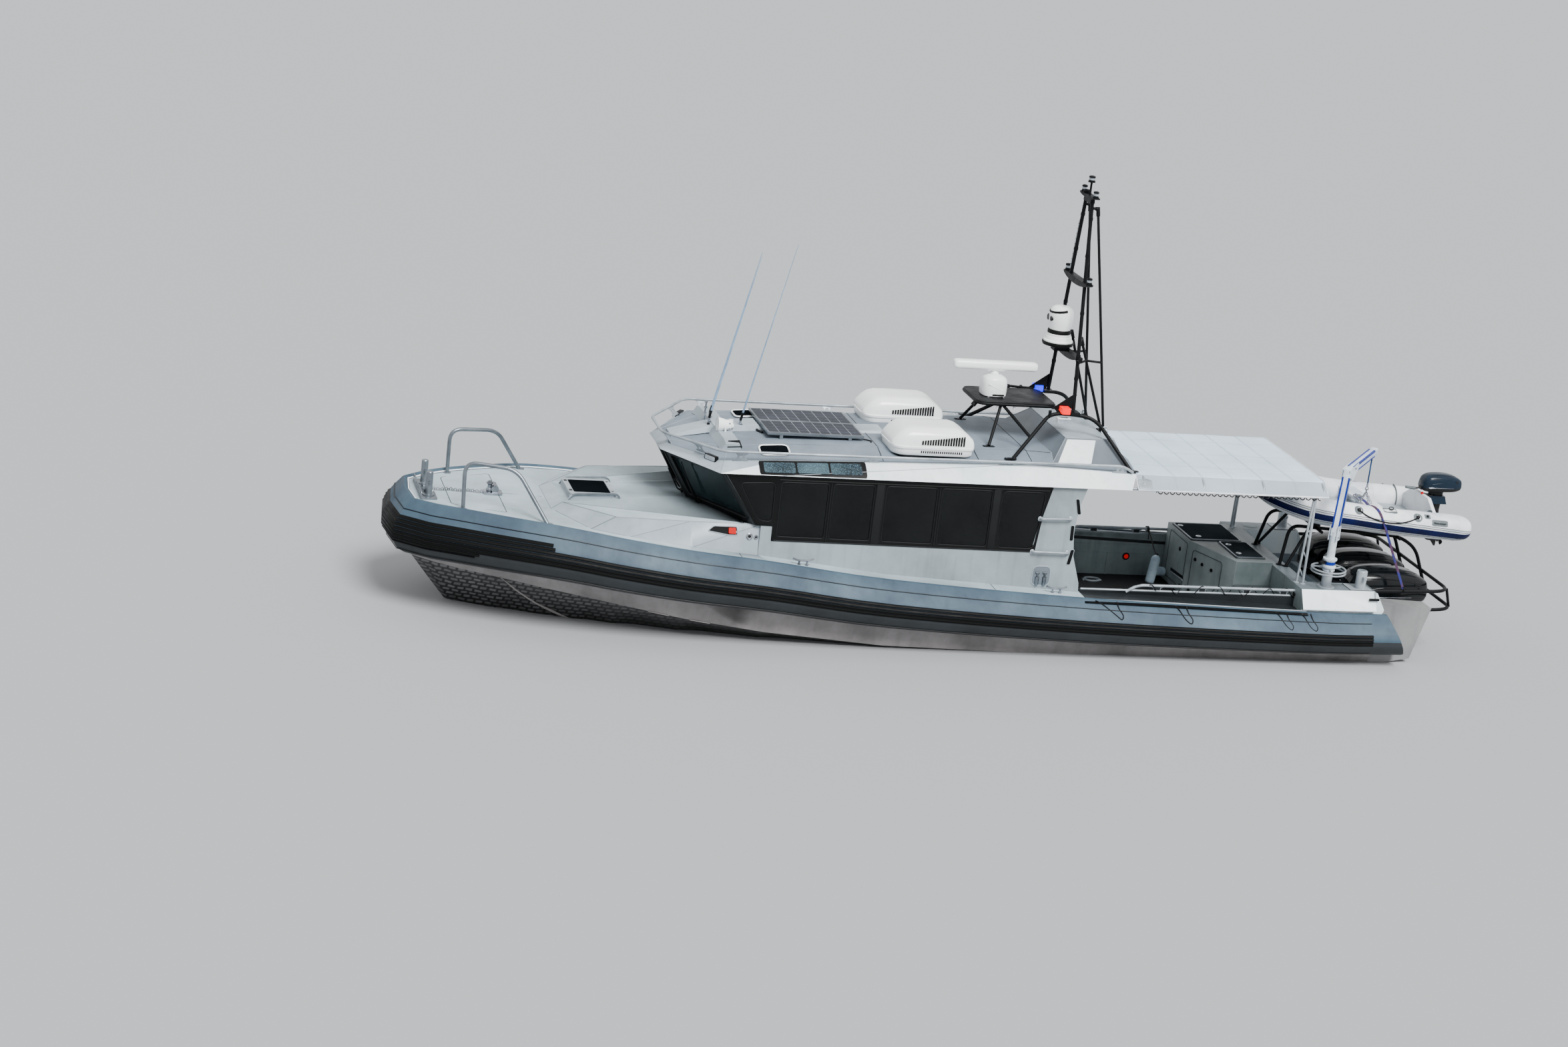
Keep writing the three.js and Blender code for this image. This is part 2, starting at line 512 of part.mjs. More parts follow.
const LAMP = { x: 2440, y: 330, z: 2400 };
const searchlight = seatOn(fuse(
  box(LAMP.x - 60, LAMP.x + 60, LAMP.y - 60, LAMP.y + 60, 2200, LAMP.z - 70),
  box(LAMP.x - 25, LAMP.x + 25, LAMP.y - 100, LAMP.y + 100, LAMP.z - 80, LAMP.z - 60),
  tube([[LAMP.x - 90, LAMP.y, LAMP.z + 20], [LAMP.x + 75, LAMP.y, LAMP.z + 20]], 85, { sides: 10 }),
), roof);
addPiece('searchlight', searchlight, 0xe4e6e6, 0.4);

const WHIPS = [[2560, 60, 2200], [2500, -180, 2200], [2180, 120, 2400]];
const whipTie = box(2170, 2580, -10, 10, 2230, 2300);
const aerials = seatOn(fuse(
  whipTie,
  box(2475, 2585, -200, 80, 2200, 2300),
  box(2150, 2210, -20, 140, 2200, 2325),
  WHIPS.map(([x, y, length]) => tube(
    [[x, y, 2290], [x, y, 2420], [x - length * 0.2, y, 2420 + length * 0.93]], 12, { sides: 5, endRadius: 5 })),
), roof);
addPiece('aerials', aerials, 0x9fb4c4, 0.5);

// Radar shelf on hoops of tube, with its feet on the roof
const HOOP = [[-1030, 1000, 2300], [-1600, 570, 2800], [-1760, 545, 2828], [-2200, 580, 2800], [-2610, 1060, 2240]];
const hoop = tube(HOOP, 24, { bend: 150 });
const BRACE = [[-1060, 300, RADAR.plate - 30], [-1330, 772, 2560]];
const mastPad = box(MAST.x - 60, MAST.x + 60, 440, 600, 2800, MAST.foot - SEAT_GAP);
const shelf = loft([0, 25].map((up) => roundedRing(-1760, -740, -380, 380, RADAR.plate - 25 + up, 90)));
const shelfRim = bothSides(tube([[-1740, 545, 2828], [-1740, 330, 2865], [-1300, 330, 2852]], 20));
const radarShelf = seatOn(fuse(shelf, shelfRim, bothSides(fuse(hoop, tube(BRACE, 20), mastPad))), roof);
addPiece('radar_shelf', radarShelf, 0x1a1b1d, 0.4, 0.2);

const pedestalTop = 3150;
const PEDESTAL = [[0, 0], [165, 0], [165, 60], [150, 190], [95, 235], [95, 265], [0, 265]];
const pedestal = turned(PEDESTAL, RADAR.x, 0, RADAR.plate + SEAT_GAP, 14);
addPiece('radar_pedestal', pedestal, 0xe6e8e8, 0.4);
const ARRAY = { half: 545, foot: 3205 };
const ARRAY_SECTION = [[-70, 20], [-45, 0], [45, 0], [70, 20], [70, 85], [50, 115], [-50, 115], [-70, 85]];
const array = fuse(
  loft([-ARRAY.half, ARRAY.half].map((x) => ARRAY_SECTION.map(([y, z]) => [RADAR.x + x, y, ARRAY.foot + z]))),
  disc(RADAR.x, 0, pedestalTop + SPIN_GAP, ARRAY.foot + 10, 60),
);
addPiece('radar_antenna', array, 0xe9ebeb, 0.4);

const BEACON = { x: -1805, y: 545, foot: 2853 };
for (const [side, name, color] of [[1, 'beacon_port', 0xd81e1e], [-1, 'beacon_starboard', 0x1e36e0]]) {
  const beacon = loft([[0, -35], [0, 35], [25, 60]].map(([inset, up]) => roundedRing(
    BEACON.x - 60 + inset, BEACON.x + 60 - inset, side * BEACON.y - 95 + inset, side * BEACON.y + 95 - inset,
    BEACON.foot + up, 20)));
  addPiece(name, clearOf(beacon, radarShelf), color, 0.3);
}

// Mast: two raked legs, four struts to the hump, lamp plates and the camera shelf
const mastFoot = [MAST.x, 500, MAST.foot];
const mastHead = [MAST.x - 5, 120, MAST.top];
const REAR_STRUT = [[-1945, 128, 5330], [-2010, 150, 5330], [-2425, 345, 2568]];
const LOWER_STRUT = [[-1940, 370, 3700], [-2020, 190, 3700], [-2420, 270, 2568]];
const strutPlate = box(-2447, -2390, 235, 385, HUMP.top + SEAT_GAP, HUMP.top + 14);
function lampPlate(half, z, belly) {
  const under = [[half, z - 14], [half * 0.4, z - belly], [-half * 0.4, z - belly], [-half, z - 14]];
  const outline = [[half, z], ...under, [-half, z]];
  return prism('x', outline, MAST.x - 55, MAST.x + 45);
}
const mastLamp = (y, z) => disc(MAST.x, y, z - 5, z + 62, 36, 8);
const LAMP_PLATES = [
  { half: 250, z: 5475, belly: 30 },
  { half: 440, z: 4435, belly: 60 },
  { half: 440, z: 3510, belly: 60 },
];
const mast = cut(fuse(
  bothSides(fuse(
    tube([mastFoot, mastHead], 24, { sides: 8 }),
    tube(REAR_STRUT, 17), tube(LOWER_STRUT, 17), strutPlate,
    tube([[-2105, 226, 3434], [-2300, 290, 3434]], 14),
    tube([[MAST.x, 413, 3434], [-2112, 228, 3434]], 14),
    mastLamp(215, 5475), mastLamp(410, 4435),
  )),
  LAMP_PLATES.map(({ half, z, belly }) => lampPlate(half, z, belly)),
  box(MAST.x - 30, MAST.x + 30, -130, 130, MAST.top - 15, MAST.top + 60),
  tube([[MAST.x, 0, 5470], [MAST.x, 0, 5640]], 14),
  disc(MAST.x, 0, 5635, 5710, 45, 8),
  box(MAST.x, CAMERA.x + 60, -70, 70, 3495, 3565),
  disc(CAMERA.x, 0, 3560, CAMERA.z - SEAT_GAP, 190),
), box(MAST.x - 100, MAST.x + 100, -700, 700, 2700, MAST.foot));
addPiece('mast', mast, 0x141516, 0.45, 0.2);

const CAMERA_BASE = [[0, 0], [195, 0], [200, 20], [190, 45], [165, 60], [160, 108], [0, 108]];
addPiece('camera_base', turned(CAMERA_BASE, CAMERA.x, 0, CAMERA.z, 16), 0xe4e6e6, 0.35);
const CAMERA_HEAD = [[0, 0], [150, 0], [152, 55], [138, 90], [152, 150], [156, 250], [140, 325], [90, 368], [0, 376]];
addPiece('camera_head', turned(CAMERA_HEAD, CAMERA.x, 0, CAMERA.z + 108 + SPIN_GAP, 16), 0xeceded, 0.35);

// Aft bulkhead of the cabin with its door, and the helm inside
const DOOR = { half: 370, foot: 250, head: 2030, face: -1780.5, thick: 36 };
const bulkheadWindow = box(-1900, -1700, 480, 1080, 1250, 1930);
const bulkhead = cut(
  box(CABIN.bulkhead, CABIN.bulkhead + 30, -1199.5, 1199.5, CABIN.sole + SEAT_GAP, CABIN.headroom - SEAT_GAP),
  box(-1900, -1700, -350, 350, 260, 2005),
  bothSides(bulkheadWindow),
);
addPiece('cabin_bulkhead', bulkhead, 0xaab0b1, 0.5, 0.3);
const door = cut(
  box(DOOR.face - DOOR.thick, DOOR.face, -DOOR.half, DOOR.half, DOOR.foot, DOOR.head),
  box(-1900, -1700, -260, 260, 1150, 1900),
);
const doorHandle = tube([[DOOR.face - 30, -310, 1000], [DOOR.face - 75, -310, 1000], [DOOR.face - 75, -200, 1000]], 10);
addPiece('cabin_door', fuse(door, doorHandle), 0xb5babb, 0.5, 0.3);

const HELM = { x: 1500, y: -620, z: 1150, radius: 175, tilt: -1.1, hub: 30 };
const alongHelm = (d) => [HELM.x + d * Math.sin(HELM.tilt), HELM.y, HELM.z + d * Math.cos(HELM.tilt)];
const helmBoss = tube([alongHelm(-110), alongHelm(-HELM.hub - 0.5)], 32, { sides: 10 });
const console = cut(
  fuse(
    prism('y', [[1640, floorTop], [2050, floorTop], [2050, 1400], [1880, 1380], [1560, 1230], [1560, 960]], -1150, 1150),
    helmBoss,
  ),
  box(1500, 2080, -250, 250, 190, 1050),
);
addPiece('helm_console', console, 0x2a2d30, 0.7);
function helmWheel() {
  const rim = toSolid(new THREE.TorusGeometry(HELM.radius, 14, 6, 20));
  const spokes = [0, 1, 2].map((i) => {
    const angle = i * 2 * Math.PI / 3 + Math.PI / 2;
    return tube([[0, 0, 0], [HELM.radius * Math.cos(angle), HELM.radius * Math.sin(angle), 0]], 11);
  });
  const body = fuse(rim, spokes, disc(0, 0, -HELM.hub, HELM.hub, 38, 10));
  return toSolid(toGeometry(body).rotateY(HELM.tilt).translate(HELM.x, HELM.y, HELM.z));
}
addPiece('helm_wheel', helmWheel(), 0x16181a, 0.5);
const seat = fuse(
  box(760, 1000, 480, 720, floorTop, 640),
  box(660, 1140, 370, 830, 620, 740),
  prism('y', [[660, 700], [780, 700], [700, 1330], [600, 1330]], 390, 810),
);
const seats = fuse(bothSides(seat), box(640, 1160, -760, 760, floorTop, 230));
addPiece('cabin_seats', seats, 0x232629, 0.8);

// Stern decks, joined by the aft bulkhead, with bitts, davit socket and the cockpit coamings
const BLOCK = [
  [1100, STERN.deckFoot], [1478, STERN.deckFoot], [1478, 696], [1545, 702], [1545, 714],
  [1405, STERN.deckTop], [1100, STERN.deckTop],
];
const RAIL = { y: 1213, z: 845, fore: -2700, posts: [-3100, -3700, -4300, -4800] };
const SOCKET = { floor: 936, rim: 1150, radius: 62, bore: 49 };
const socketBore = disc(DAVIT.x, DAVIT.y, SOCKET.floor, SOCKET.rim + 50, SOCKET.bore);
const sternBitt = fuse(
  disc(-5790, 1290, 900, 1168, 45, 10),
  tube([[-5790, 1200, 1090], [-5790, 1380, 1090]], 13),
);
const TAIL = [
  [-5940, STERN.deckFoot], [-5940, STERN.deckTop], [-5955, STERN.deckTop], [-6080, 714], [-6080, 690],
  [-6000, STERN.deckFoot],
];
const sternTail = prism('y', TAIL, 1130, 1478);
const deckUnder = (x) => deckHeight(x) - 10;
const COAMING = [
  [COCKPIT.aft - 5, deckUnder(COCKPIT.aft)], [-2070, deckUnder(-2070)], [-2070, 775], [COCKPIT.aft - 5, 775],
];
const RAIL_PATH = [
  [RAIL.fore + 10, RAIL.y, 755], [RAIL.fore - 140, RAIL.y, RAIL.z], [COCKPIT.aft - 20, RAIL.y, RAIL.z],
];
const sternSide = fuse(
  prism('x', BLOCK, -5950, COCKPIT.aft - EDGE_GAP),
  disc(DAVIT.x, DAVIT.y, 900, 942, 105),
  sternBitt,
  prism('y', COAMING, 1201, 1224),
  tube(RAIL_PATH, 18, { bend: 60 }),
  RAIL.posts.map((x) => box(x - 40, x + 40, RAIL.y - 5, RAIL.y + 5, 760, RAIL.z - 5)),
);
const aftBulkhead = box(STERN.wellFore, COCKPIT.aft - EDGE_GAP, -1110, 1110, STERN.deckFoot, STERN.deckTop);
const sternDeck = cut(
  fuse(bothSides(sternSide), aftBulkhead, disc(DAVIT.x, DAVIT.y, 900, SOCKET.rim, SOCKET.radius), bothSides(sternTail)),
  moved(hull, 0, 0, SEAT_GAP),
  moved(deck, 0, 0, SEAT_GAP),
  socketBore,
);
addPiece('stern_deck', sternDeck, 0xbdc1c2, 0.45, 0.3);

// Cockpit locker welded to the seat beside it, with two lids
const LOCKER = { top: 960, aft: COCKPIT.aft + SEAT_GAP };
const LOCKER_PLAN = [[-4120, -1190], [-4120, -400], [-4450, 450], [LOCKER.aft, 450], [LOCKER.aft, -1190]];
const SEAT_PLAN = [[LOCKER.aft, 440], [-4450, 440], [-4200, 760], [-4200, 1190], [LOCKER.aft, 1190]];
const locker = fuse(prism('z', LOCKER_PLAN, floorTop, LOCKER.top), prism('z', SEAT_PLAN, floorTop, 600));
addPiece('cockpit_locker', locker, 0x6f7a79, 0.5, 0.3);
const LIDS = [
  { name: 'locker_lid_large', x0: -4840, x1: -4150, y0: -1100, y1: -400 },
  { name: 'locker_lid_small', x0: -4890, x1: -4500, y0: -340, y1: 310 },
];
for (const { name, x0, x1, y0, y1 } of LIDS) {
  const lid = loft([[0, 0], [0, 16], [6, 22]].map(([inset, up]) => roundedRing(
    x0 + inset, x1 - inset, y0 + inset, y1 - inset, LOCKER.top + SEAT_GAP + up, 30)));
  addPiece(name, lid, 0x3a4144, 0.4, 0.3);
}
const fenderBody = fuse(
  tube([[-3800, -760, 240], [-3880, -830, 590]], 62, { sides: 12 }),
  tube([[-3880, -830, 570], [-3860, -1197, 843]], 9),
);
const fender = cut(seatOn(fenderBody, hull), moved(sternDeck, 0, SEAT_GAP, 0));
addPiece('fender', fender, 0x9aa6ad, 0.6);

// Cockpit canopy: pipe frame on lattice posts, with one stiff cover over it
const CANOPY = { fore: -2660, aft: -5200, crease: 1050, edge: 1215, top: 2235, low: 2075, thick: 12, pipe: 16 };
const bowRun = [[1165, 2076], [1022, CANOPY.top - CANOPY.thick - CANOPY.pipe - SEAT_GAP]];
const canopyBow = (x) => tube([
  [x, ...bowRun[0]], [x, ...bowRun[1]], [x, -bowRun[1][0], bowRun[1][1]], [x, -bowRun[0][0], bowRun[0][1]],
], CANOPY.pipe);
const latticePost = fuse(
  tube([[-5050, 1190, 900], [-5050, 1165, 2076]], 17),
  tube([[-4990, 1130, 900], [-5030, 1165, 2076]], 15),
  [1000, 1250, 1500, 1750].map((z) => tube([[-5050, 1187, z], [-5005, 1142, z + 110]], 7)),
);
const canopyFrame = cut(fuse(
  bothSides(fuse(tube([[-2450, 1165, 2076], [CANOPY.aft + 20, 1165, 2076]], CANOPY.pipe), latticePost)),
  [-2760, -3550, -4350, -5160].map(canopyBow),
), moved(roof, 0, 0, -SEAT_GAP), moved(sternDeck, 0, 0, SEAT_GAP));
addPiece('canopy_frame', canopyFrame, 0xcfd3d4, 0.35, 0.4);
const coverSide = (inset) => [
  [CANOPY.edge - inset * 0.95, CANOPY.low - inset * 0.1], [CANOPY.crease - inset * 0.35, CANOPY.top - inset],
];
const outer = coverSide(0);
const inner = coverSide(CANOPY.thick);
const coverOutline = [
  outer[0], outer[1], [-outer[1][0], outer[1][1]], [-outer[0][0], outer[0][1]],
  [-inner[0][0], inner[0][1]], [-inner[1][0], inner[1][1]], inner[1], inner[0],
];
addPiece('canopy_cover', prism('x', coverOutline, CANOPY.aft, CANOPY.fore), 0xd6dadb, 0.8);

// Davit that slews on its socket, with the fall and hook
const davitBeam = (a, b, wide) => tube([a, b].map(([x, y, z]) => [DAVIT.x + x, DAVIT.y + y, z]), wide, { sides: 4 });
const DRUM = [[0, 0], [85, 0], [85, 18], [50, 30], [50, 90], [85, 102], [85, 120], [0, 120]];
const tip = [DAVIT.x - 700, DAVIT.y - 740];
const davit = fuse(
  tube([[DAVIT.x, DAVIT.y, SOCKET.floor + EDGE_GAP], [DAVIT.x, DAVIT.y, 1200]], 41, { sides: 10 }),
  tube([[DAVIT.x, DAVIT.y, 1190], [DAVIT.x, DAVIT.y, 1640]], 50, { sides: 4, endRadius: 48 }),
  davitBeam([0, 0, 1600], [-110, -150, 2400], 50),
  davitBeam([-98, -136, 2370], [-730, -770, 2520], 46),
  turned(DRUM, DAVIT.x + 10, DAVIT.y + 20, 1190, 12),
  tube([[...tip, 2510], [...tip, 2080]], 6, { sides: 5 }),
  turned([[0, 0], [28, 10], [34, 50], [18, 100], [0, 110]], ...tip, 1980, 8),
);
addPiece('davit', davit, 0xc9cdce, 0.35, 0.4);

// Outboards: swivel on the transom bracket, steered engine and propeller
const COWL = [
  { x: 210, half: 150, low: 190, high: 430 },
  { x: 130, half: 235, low: 155, high: 540 },
  { x: -30, half: 270, low: 150, high: 592 },
  { x: -400, half: 270, low: 150, high: 600 },
  { x: -690, half: 225, low: 160, high: 560 },
  { x: -860, half: 165, low: 200, high: 480 },
  { x: -890, half: 120, low: 240, high: 420 },
];
const STEER = { x: -110, bore: 30.3, pin: 29.4, low: -360, high: 50, sides: 16 };
const TILT = { boss: 28, reach: 104.5, half: 98 };
const LEG = { fore: -185, aft: -470, half: 55 };

function cowlRing({ x, half, low, high }) {
  const rise = high - low;
  const side = [[0.7, 0], [1, 0.25], [0.94, 0.65], [0.6, 1]];
  const port = side.map(([wide, up]) => [x, half * wide, low + rise * up]);
  return [...port, ...port.toReversed().map(flip)];
}

// Engine shapes about the tilt axis: x aft of it is negative, legs lengthened by extra
function engineShapes(extra) {
  const swivel = cut(
    fuse(
      box(-150, 30, -TILT.half, TILT.half, -40, 45),
      tube([[0, -TILT.reach, 0], [0, TILT.reach, 0]], TILT.boss, { sides: 10 }),
      disc(STEER.x, 0, STEER.low, STEER.high, 58),
    ),
    disc(STEER.x, 0, STEER.low - 5, STEER.high + 5, STEER.bore, STEER.sides),
  );
  const yoke = (z0, z1) => prism('z', [[-60, -50], [-60, 50], [-200, 62], [-260, 62], [-260, -62], [-200, -62]], z0, z1);
  const bottom = -820 - extra;
  const leg = loft([
    [[LEG.fore, 40, 160], [LEG.aft, 60, 160]],
    [[LEG.fore, 55, -360], [LEG.aft + 40, 55, -360]],
    [[-250, 30, bottom], [LEG.aft - 20, 30, bottom]],
    [[-330, 24, bottom - 240], [LEG.aft - 20, 24, bottom - 240]],
  ].map(([[x0, y0, z], [x1, y1]]) => {
    const port = [[x0, y0 * 0.4, z], [x0 - 50, y0, z], [x1 + 60, y1, z], [x1, y1 * 0.3, z]];
    return [...port, ...port.toReversed().map(flip)];
  }));
  const hubZ = bottom - 220;
  const gearcase = loft([[-180, 6], [-260, 52], [-420, 62], [-520, 50]].map(([x, r]) => Array.from(
    { length: 8 }, (_, k) => [x, r * Math.cos(k * Math.PI / 4), hubZ + r * Math.sin(k * Math.PI / 4)])));
  const PLATE = [[-230, -70], [-230, 70], [-620, 120], [-680, 60], [-680, -60], [-620, -120]];
  const plate = prism('z', PLATE, bottom, bottom + 14);
  const skeg = prism('y', [[-300, hubZ], [-500, hubZ], [-500, hubZ - 200], [-440, hubZ - 200]], -9, 9);
  const engine = fuse(
    loft(COWL.map(cowlRing)),
    leg, gearcase, plate, skeg,
    yoke(STEER.high + 6, 160), yoke(STEER.low - 60, STEER.low - 6),
    disc(STEER.x, 0, STEER.low - 30, STEER.high + 30, STEER.pin, STEER.sides),
  );
  const blades = [0, 1, 2].map((i) => propBlade(i * 2 * Math.PI / 3, hubZ));
  const propeller = fuse(tube([[-520 - SPIN_GAP, 0, hubZ], [-650, 0, hubZ]], 46, { sides: 10 }), blades);
  return { swivel, engine, propeller, hubZ };
}

function propBlade(turn, hubZ) {
  const at = (r, across, along) => {
    const angle = turn + across;
    return [-590 + along, r * Math.sin(angle), hubZ + r * Math.cos(angle)];
  };
  const ring = (r, spread, twist) => [
    at(r, -spread, -twist), at(r, -spread, -twist + 14), at(r, spread, twist + 14), at(r, spread, twist),
  ];
  return loft([ring(24, 0.5, 16), ring(120, 0.42, 26), ring(170, 0.34, 24), ring(190, 0.16, 12)]);
}

const ENGINES = [
  { side: 'port', y: ENGINE.spacing, extra: 0 },
  { side: 'centre', y: 0, extra: 170 },
  { side: 'starboard', y: -ENGINE.spacing, extra: 0 },
];
for (const { side, y, extra } of ENGINES) {
  const shapes = engineShapes(extra);
  const placed = (body) => moved(body, ENGINE.tiltX, y, ENGINE.tiltZ);
  addPiece(`engine_swivel_${side}`, placed(shapes.swivel), 0x15171a, 0.4, 0.2);
  addPiece(`outboard_${side}`, placed(shapes.engine), 0x0f1114, 0.2);
  addPiece(`propeller_${side}`, placed(shapes.propeller), 0xa8abad, 0.25, 0.8);
}
const ear = prism('y', [
  [-6022, 60], [-6022, 500], [-6070, 495], [-6135, 455], [-6135, 385], [-6060, 100],
], 105, 128);
const mount = (y) => moved(fuse(
  box(-6030, STERN.transom - SEAT_GAP, -128, 128, 60, 500),
  box(-6030, STERN.transom - SEAT_GAP, -128, 128, 490, 512),
  box(-6030, -5925, -128, 128, 500 + SEAT_GAP, 512),
  bothSides(ear),
), 0, y, 0);
const bracketBar = box(-6020, STERN.transom - SEAT_GAP, -ENGINE.spacing, ENGINE.spacing, 250, 330);
addPiece('engine_brackets', fuse(bracketBar, ENGINES.map(({ y }) => mount(y))), 0x1b1d20, 0.4, 0.2);

// Tender: inflatable tubes, hull with transom, and its small outboard
const TENDER = { radius: 170, half: 600, transom: -7050 };
const tubeRun = [
  [-7520, 600, 1555], [-7300, 600, 1570], [-6300, 600, 1625], [-5400, 590, 1720], [-5050, 440, 1790], [-4880, 190, 1840],
];
function tenderTube(grow) {
  const path = [...tubeRun, ...tubeRun.toReversed().map(flip)];
  const radii = path.map((_, i) => (i === 0 || i === path.length - 1 ? 45 : TENDER.radius) + grow);
  return tube(path, TENDER.radius, { sides: 12, radii });
}
const tenderTubes = tenderTube(0);
addPiece('tender_tubes', tenderTubes, 0xeceeee, 0.6);
const FLOOR = [
  { x: TENDER.transom - 50, half: 520, side: 1480, keel: 1455 },
  { x: -6300, half: 520, side: 1530, keel: 1475 },
  { x: -5400, half: 500, side: 1625, keel: 1545 },
  { x: -5050, half: 330, side: 1700, keel: 1640 },
  { x: -4960, half: 160, side: 1760, keel: 1720 },
];
const tenderHull = loft(FLOOR.map(({ x, half, side, keel }) => [
  [x, -half, side], [x, 0, keel], [x, half, side], [x, half, side + 60], [x, -half, side + 60],
]));
const BOARD = [[-470, 1480], [470, 1480], [470, 1700], [240, 1850], [-240, 1850], [-470, 1700]];
const tenderBoard = prism('x', BOARD, TENDER.transom - 50, TENDER.transom);
const thwart = fuse(box(-6350, -6120, -480, 480, 1730, 1760), box(-6270, -6200, -80, 80, 1540, 1740));
const small = engineShapes(120);
const scaled = (body) => toSolid(toGeometry(body).scale(0.5, 0.5, 0.5).translate(TENDER.transom - 100, 0, 1815));
const tenderClamp = box(TENDER.transom - 95, TENDER.transom - 40, -60, 60, 1700, 1840);
const grownTube = tenderTube(SEAT_GAP * 1.2);
const tenderBody = cut(fuse(tenderHull, tenderBoard, thwart), grownTube);
addPiece('tender_hull', fuse(tenderBody, tenderClamp, scaled(small.swivel)), 0xd9dcdd, 0.6);
addPiece('tender_outboard', scaled(small.engine), 0x2c3c49, 0.3);
addPiece('tender_propeller', scaled(small.propeller), 0x2a2d30, 0.4);

// Black tube guard round the engines, with the tender's cradle on it
const PIPE = 22;
const GUARD = { y: 1190, upperAft: -7105, upper: 894, lowerAft: -7180, lower: 655 };
const upperRun = [[-5930, GUARD.y, 860], [GUARD.upperAft, GUARD.y, GUARD.upper]];
const lowerRun = [[-6700, GUARD.y, 630], [GUARD.lowerAft, GUARD.y, GUARD.lower]];
const round = (run) => tube([...run, ...run.toReversed().map(flip)], PIPE, { bend: 120 });
const CRADLE = [
  [GUARD.lowerAft - 10, 340, GUARD.lower], [-6960, 340, 1190], [-6700, 340, 1345], [-5150, 340, 1440], [-5050, 420, 900],
];
const cradleSide = fuse(
  tube(CRADLE, PIPE, { bend: 90 }),
  tube([[-5420, 340, 1425], [-5110, 480, 900]], 20),
  tube([[GUARD.lowerAft + 5, 1080, GUARD.lower], [GUARD.upperAft, 1080, GUARD.upper]], 18),
  tube([[GUARD.upperAft + 10, 340, GUARD.upper - 10], [GUARD.upperAft - 5, 340, GUARD.upper]], 24),
  box(-6660, -6540, 300, 380, 1330, 1560),
  box(-5560, -5440, 300, 380, 1400, 1640),
);
const cradle = cut(
  fuse(
    round(upperRun), round(lowerRun), bothSides(cradleSide),
    tube([[-6600, -560, 1375], [-6600, 560, 1375]], 20), tube([[-5500, -560, 1425], [-5500, 560, 1425]], 20),
  ),
  moved(sternDeck, 0, 0, SEAT_GAP), moved(sternDeck, -SEAT_GAP, 0, 0),
  moved(hull, -SEAT_GAP, 0, 0), moved(tenderBody, 0, 0, -SEAT_GAP), grownTube,
);
addPiece('stern_guard', cradle, 0x131415, 0.5);

export default group;
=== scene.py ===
import json
import math
import bmesh
import bpy
from mathutils import Matrix, Vector
from mathutils.bvhtree import BVHTree

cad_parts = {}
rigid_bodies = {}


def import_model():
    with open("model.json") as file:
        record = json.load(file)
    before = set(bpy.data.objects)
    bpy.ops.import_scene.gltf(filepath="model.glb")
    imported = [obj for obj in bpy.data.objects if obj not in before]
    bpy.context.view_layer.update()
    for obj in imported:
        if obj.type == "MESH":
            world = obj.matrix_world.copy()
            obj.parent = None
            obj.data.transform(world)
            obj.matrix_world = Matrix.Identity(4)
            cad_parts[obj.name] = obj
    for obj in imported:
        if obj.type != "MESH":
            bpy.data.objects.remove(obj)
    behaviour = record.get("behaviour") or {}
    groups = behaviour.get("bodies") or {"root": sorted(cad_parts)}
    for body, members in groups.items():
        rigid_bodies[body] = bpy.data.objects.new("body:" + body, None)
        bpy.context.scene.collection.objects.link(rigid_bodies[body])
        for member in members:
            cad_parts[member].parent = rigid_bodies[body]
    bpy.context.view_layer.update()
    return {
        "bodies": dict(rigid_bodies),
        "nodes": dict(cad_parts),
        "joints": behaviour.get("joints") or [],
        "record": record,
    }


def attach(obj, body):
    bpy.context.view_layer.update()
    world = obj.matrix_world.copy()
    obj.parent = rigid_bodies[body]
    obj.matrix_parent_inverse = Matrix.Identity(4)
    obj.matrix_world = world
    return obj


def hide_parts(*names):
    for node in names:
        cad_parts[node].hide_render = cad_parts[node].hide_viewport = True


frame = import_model()
nodes = frame["nodes"]

# Inshore rescue boat, in metres: X forward, Y to port, Z up, floor on the waterline.
shot = {"place": (10.797, 34.348, 11.695), "azimuth": 15.223, "elevation": 16.575, "roll": 6.599,
    "lens": 68.66}
stage = {
    "floorHalf": 260, "floorTone": (0.32, 0.33, 0.34), "keyStrength": 6.0, "skyStrength": 1.1,
    "sky": [(0.48, (0.78, 0.8, 0.83, 1)), (0.85, (1, 1, 1, 1))], "sun": (-0.18, 0.8, 0.95), "sunSpread": 24,
}
zenith = Vector((0, 0, 1))


def newObject(name, data):
    obj = bpy.data.objects.new(name, data)
    bpy.context.scene.collection.objects.link(obj)
    return obj


# Each input gets a value, or a link from another node's socket
def feed(tree, node, inputs):
    for key, value in inputs.items():
        if isinstance(value, bpy.types.NodeSocket):
            tree.links.new(value, node.inputs[key])
        else:
            node.inputs[key].default_value = value


def addNode(tree, kind, inputs=None, **settings):
    made = tree.nodes.new(kind if "Node" in kind else "ShaderNode" + kind)
    for key, value in settings.items():
        setattr(made, key, value)
    feed(tree, made, inputs or {})
    return made


def placeCamera():
    azimuth, elevation, roll = (math.radians(shot[key]) for key in ("azimuth", "elevation", "roll"))
    level = math.cos(elevation)
    look = Vector((-math.sin(azimuth) * level, -math.cos(azimuth) * level, -math.sin(elevation)))
    side = look.cross(zenith).normalized()
    rise = side.cross(look)
    right = math.cos(roll) * side + math.sin(roll) * rise
    up = math.cos(roll) * rise - math.sin(roll) * side
    data = bpy.data.cameras.new("photoCamera")
    data.lens = shot["lens"]
    data.sensor_width = 36
    data.clip_end = 600
    camera = newObject("photoCamera", data)
    turn = Matrix((right, up, -look)).transposed().to_4x4()
    camera.matrix_world = Matrix.Translation(shot["place"]) @ turn
    bpy.context.scene.camera = camera


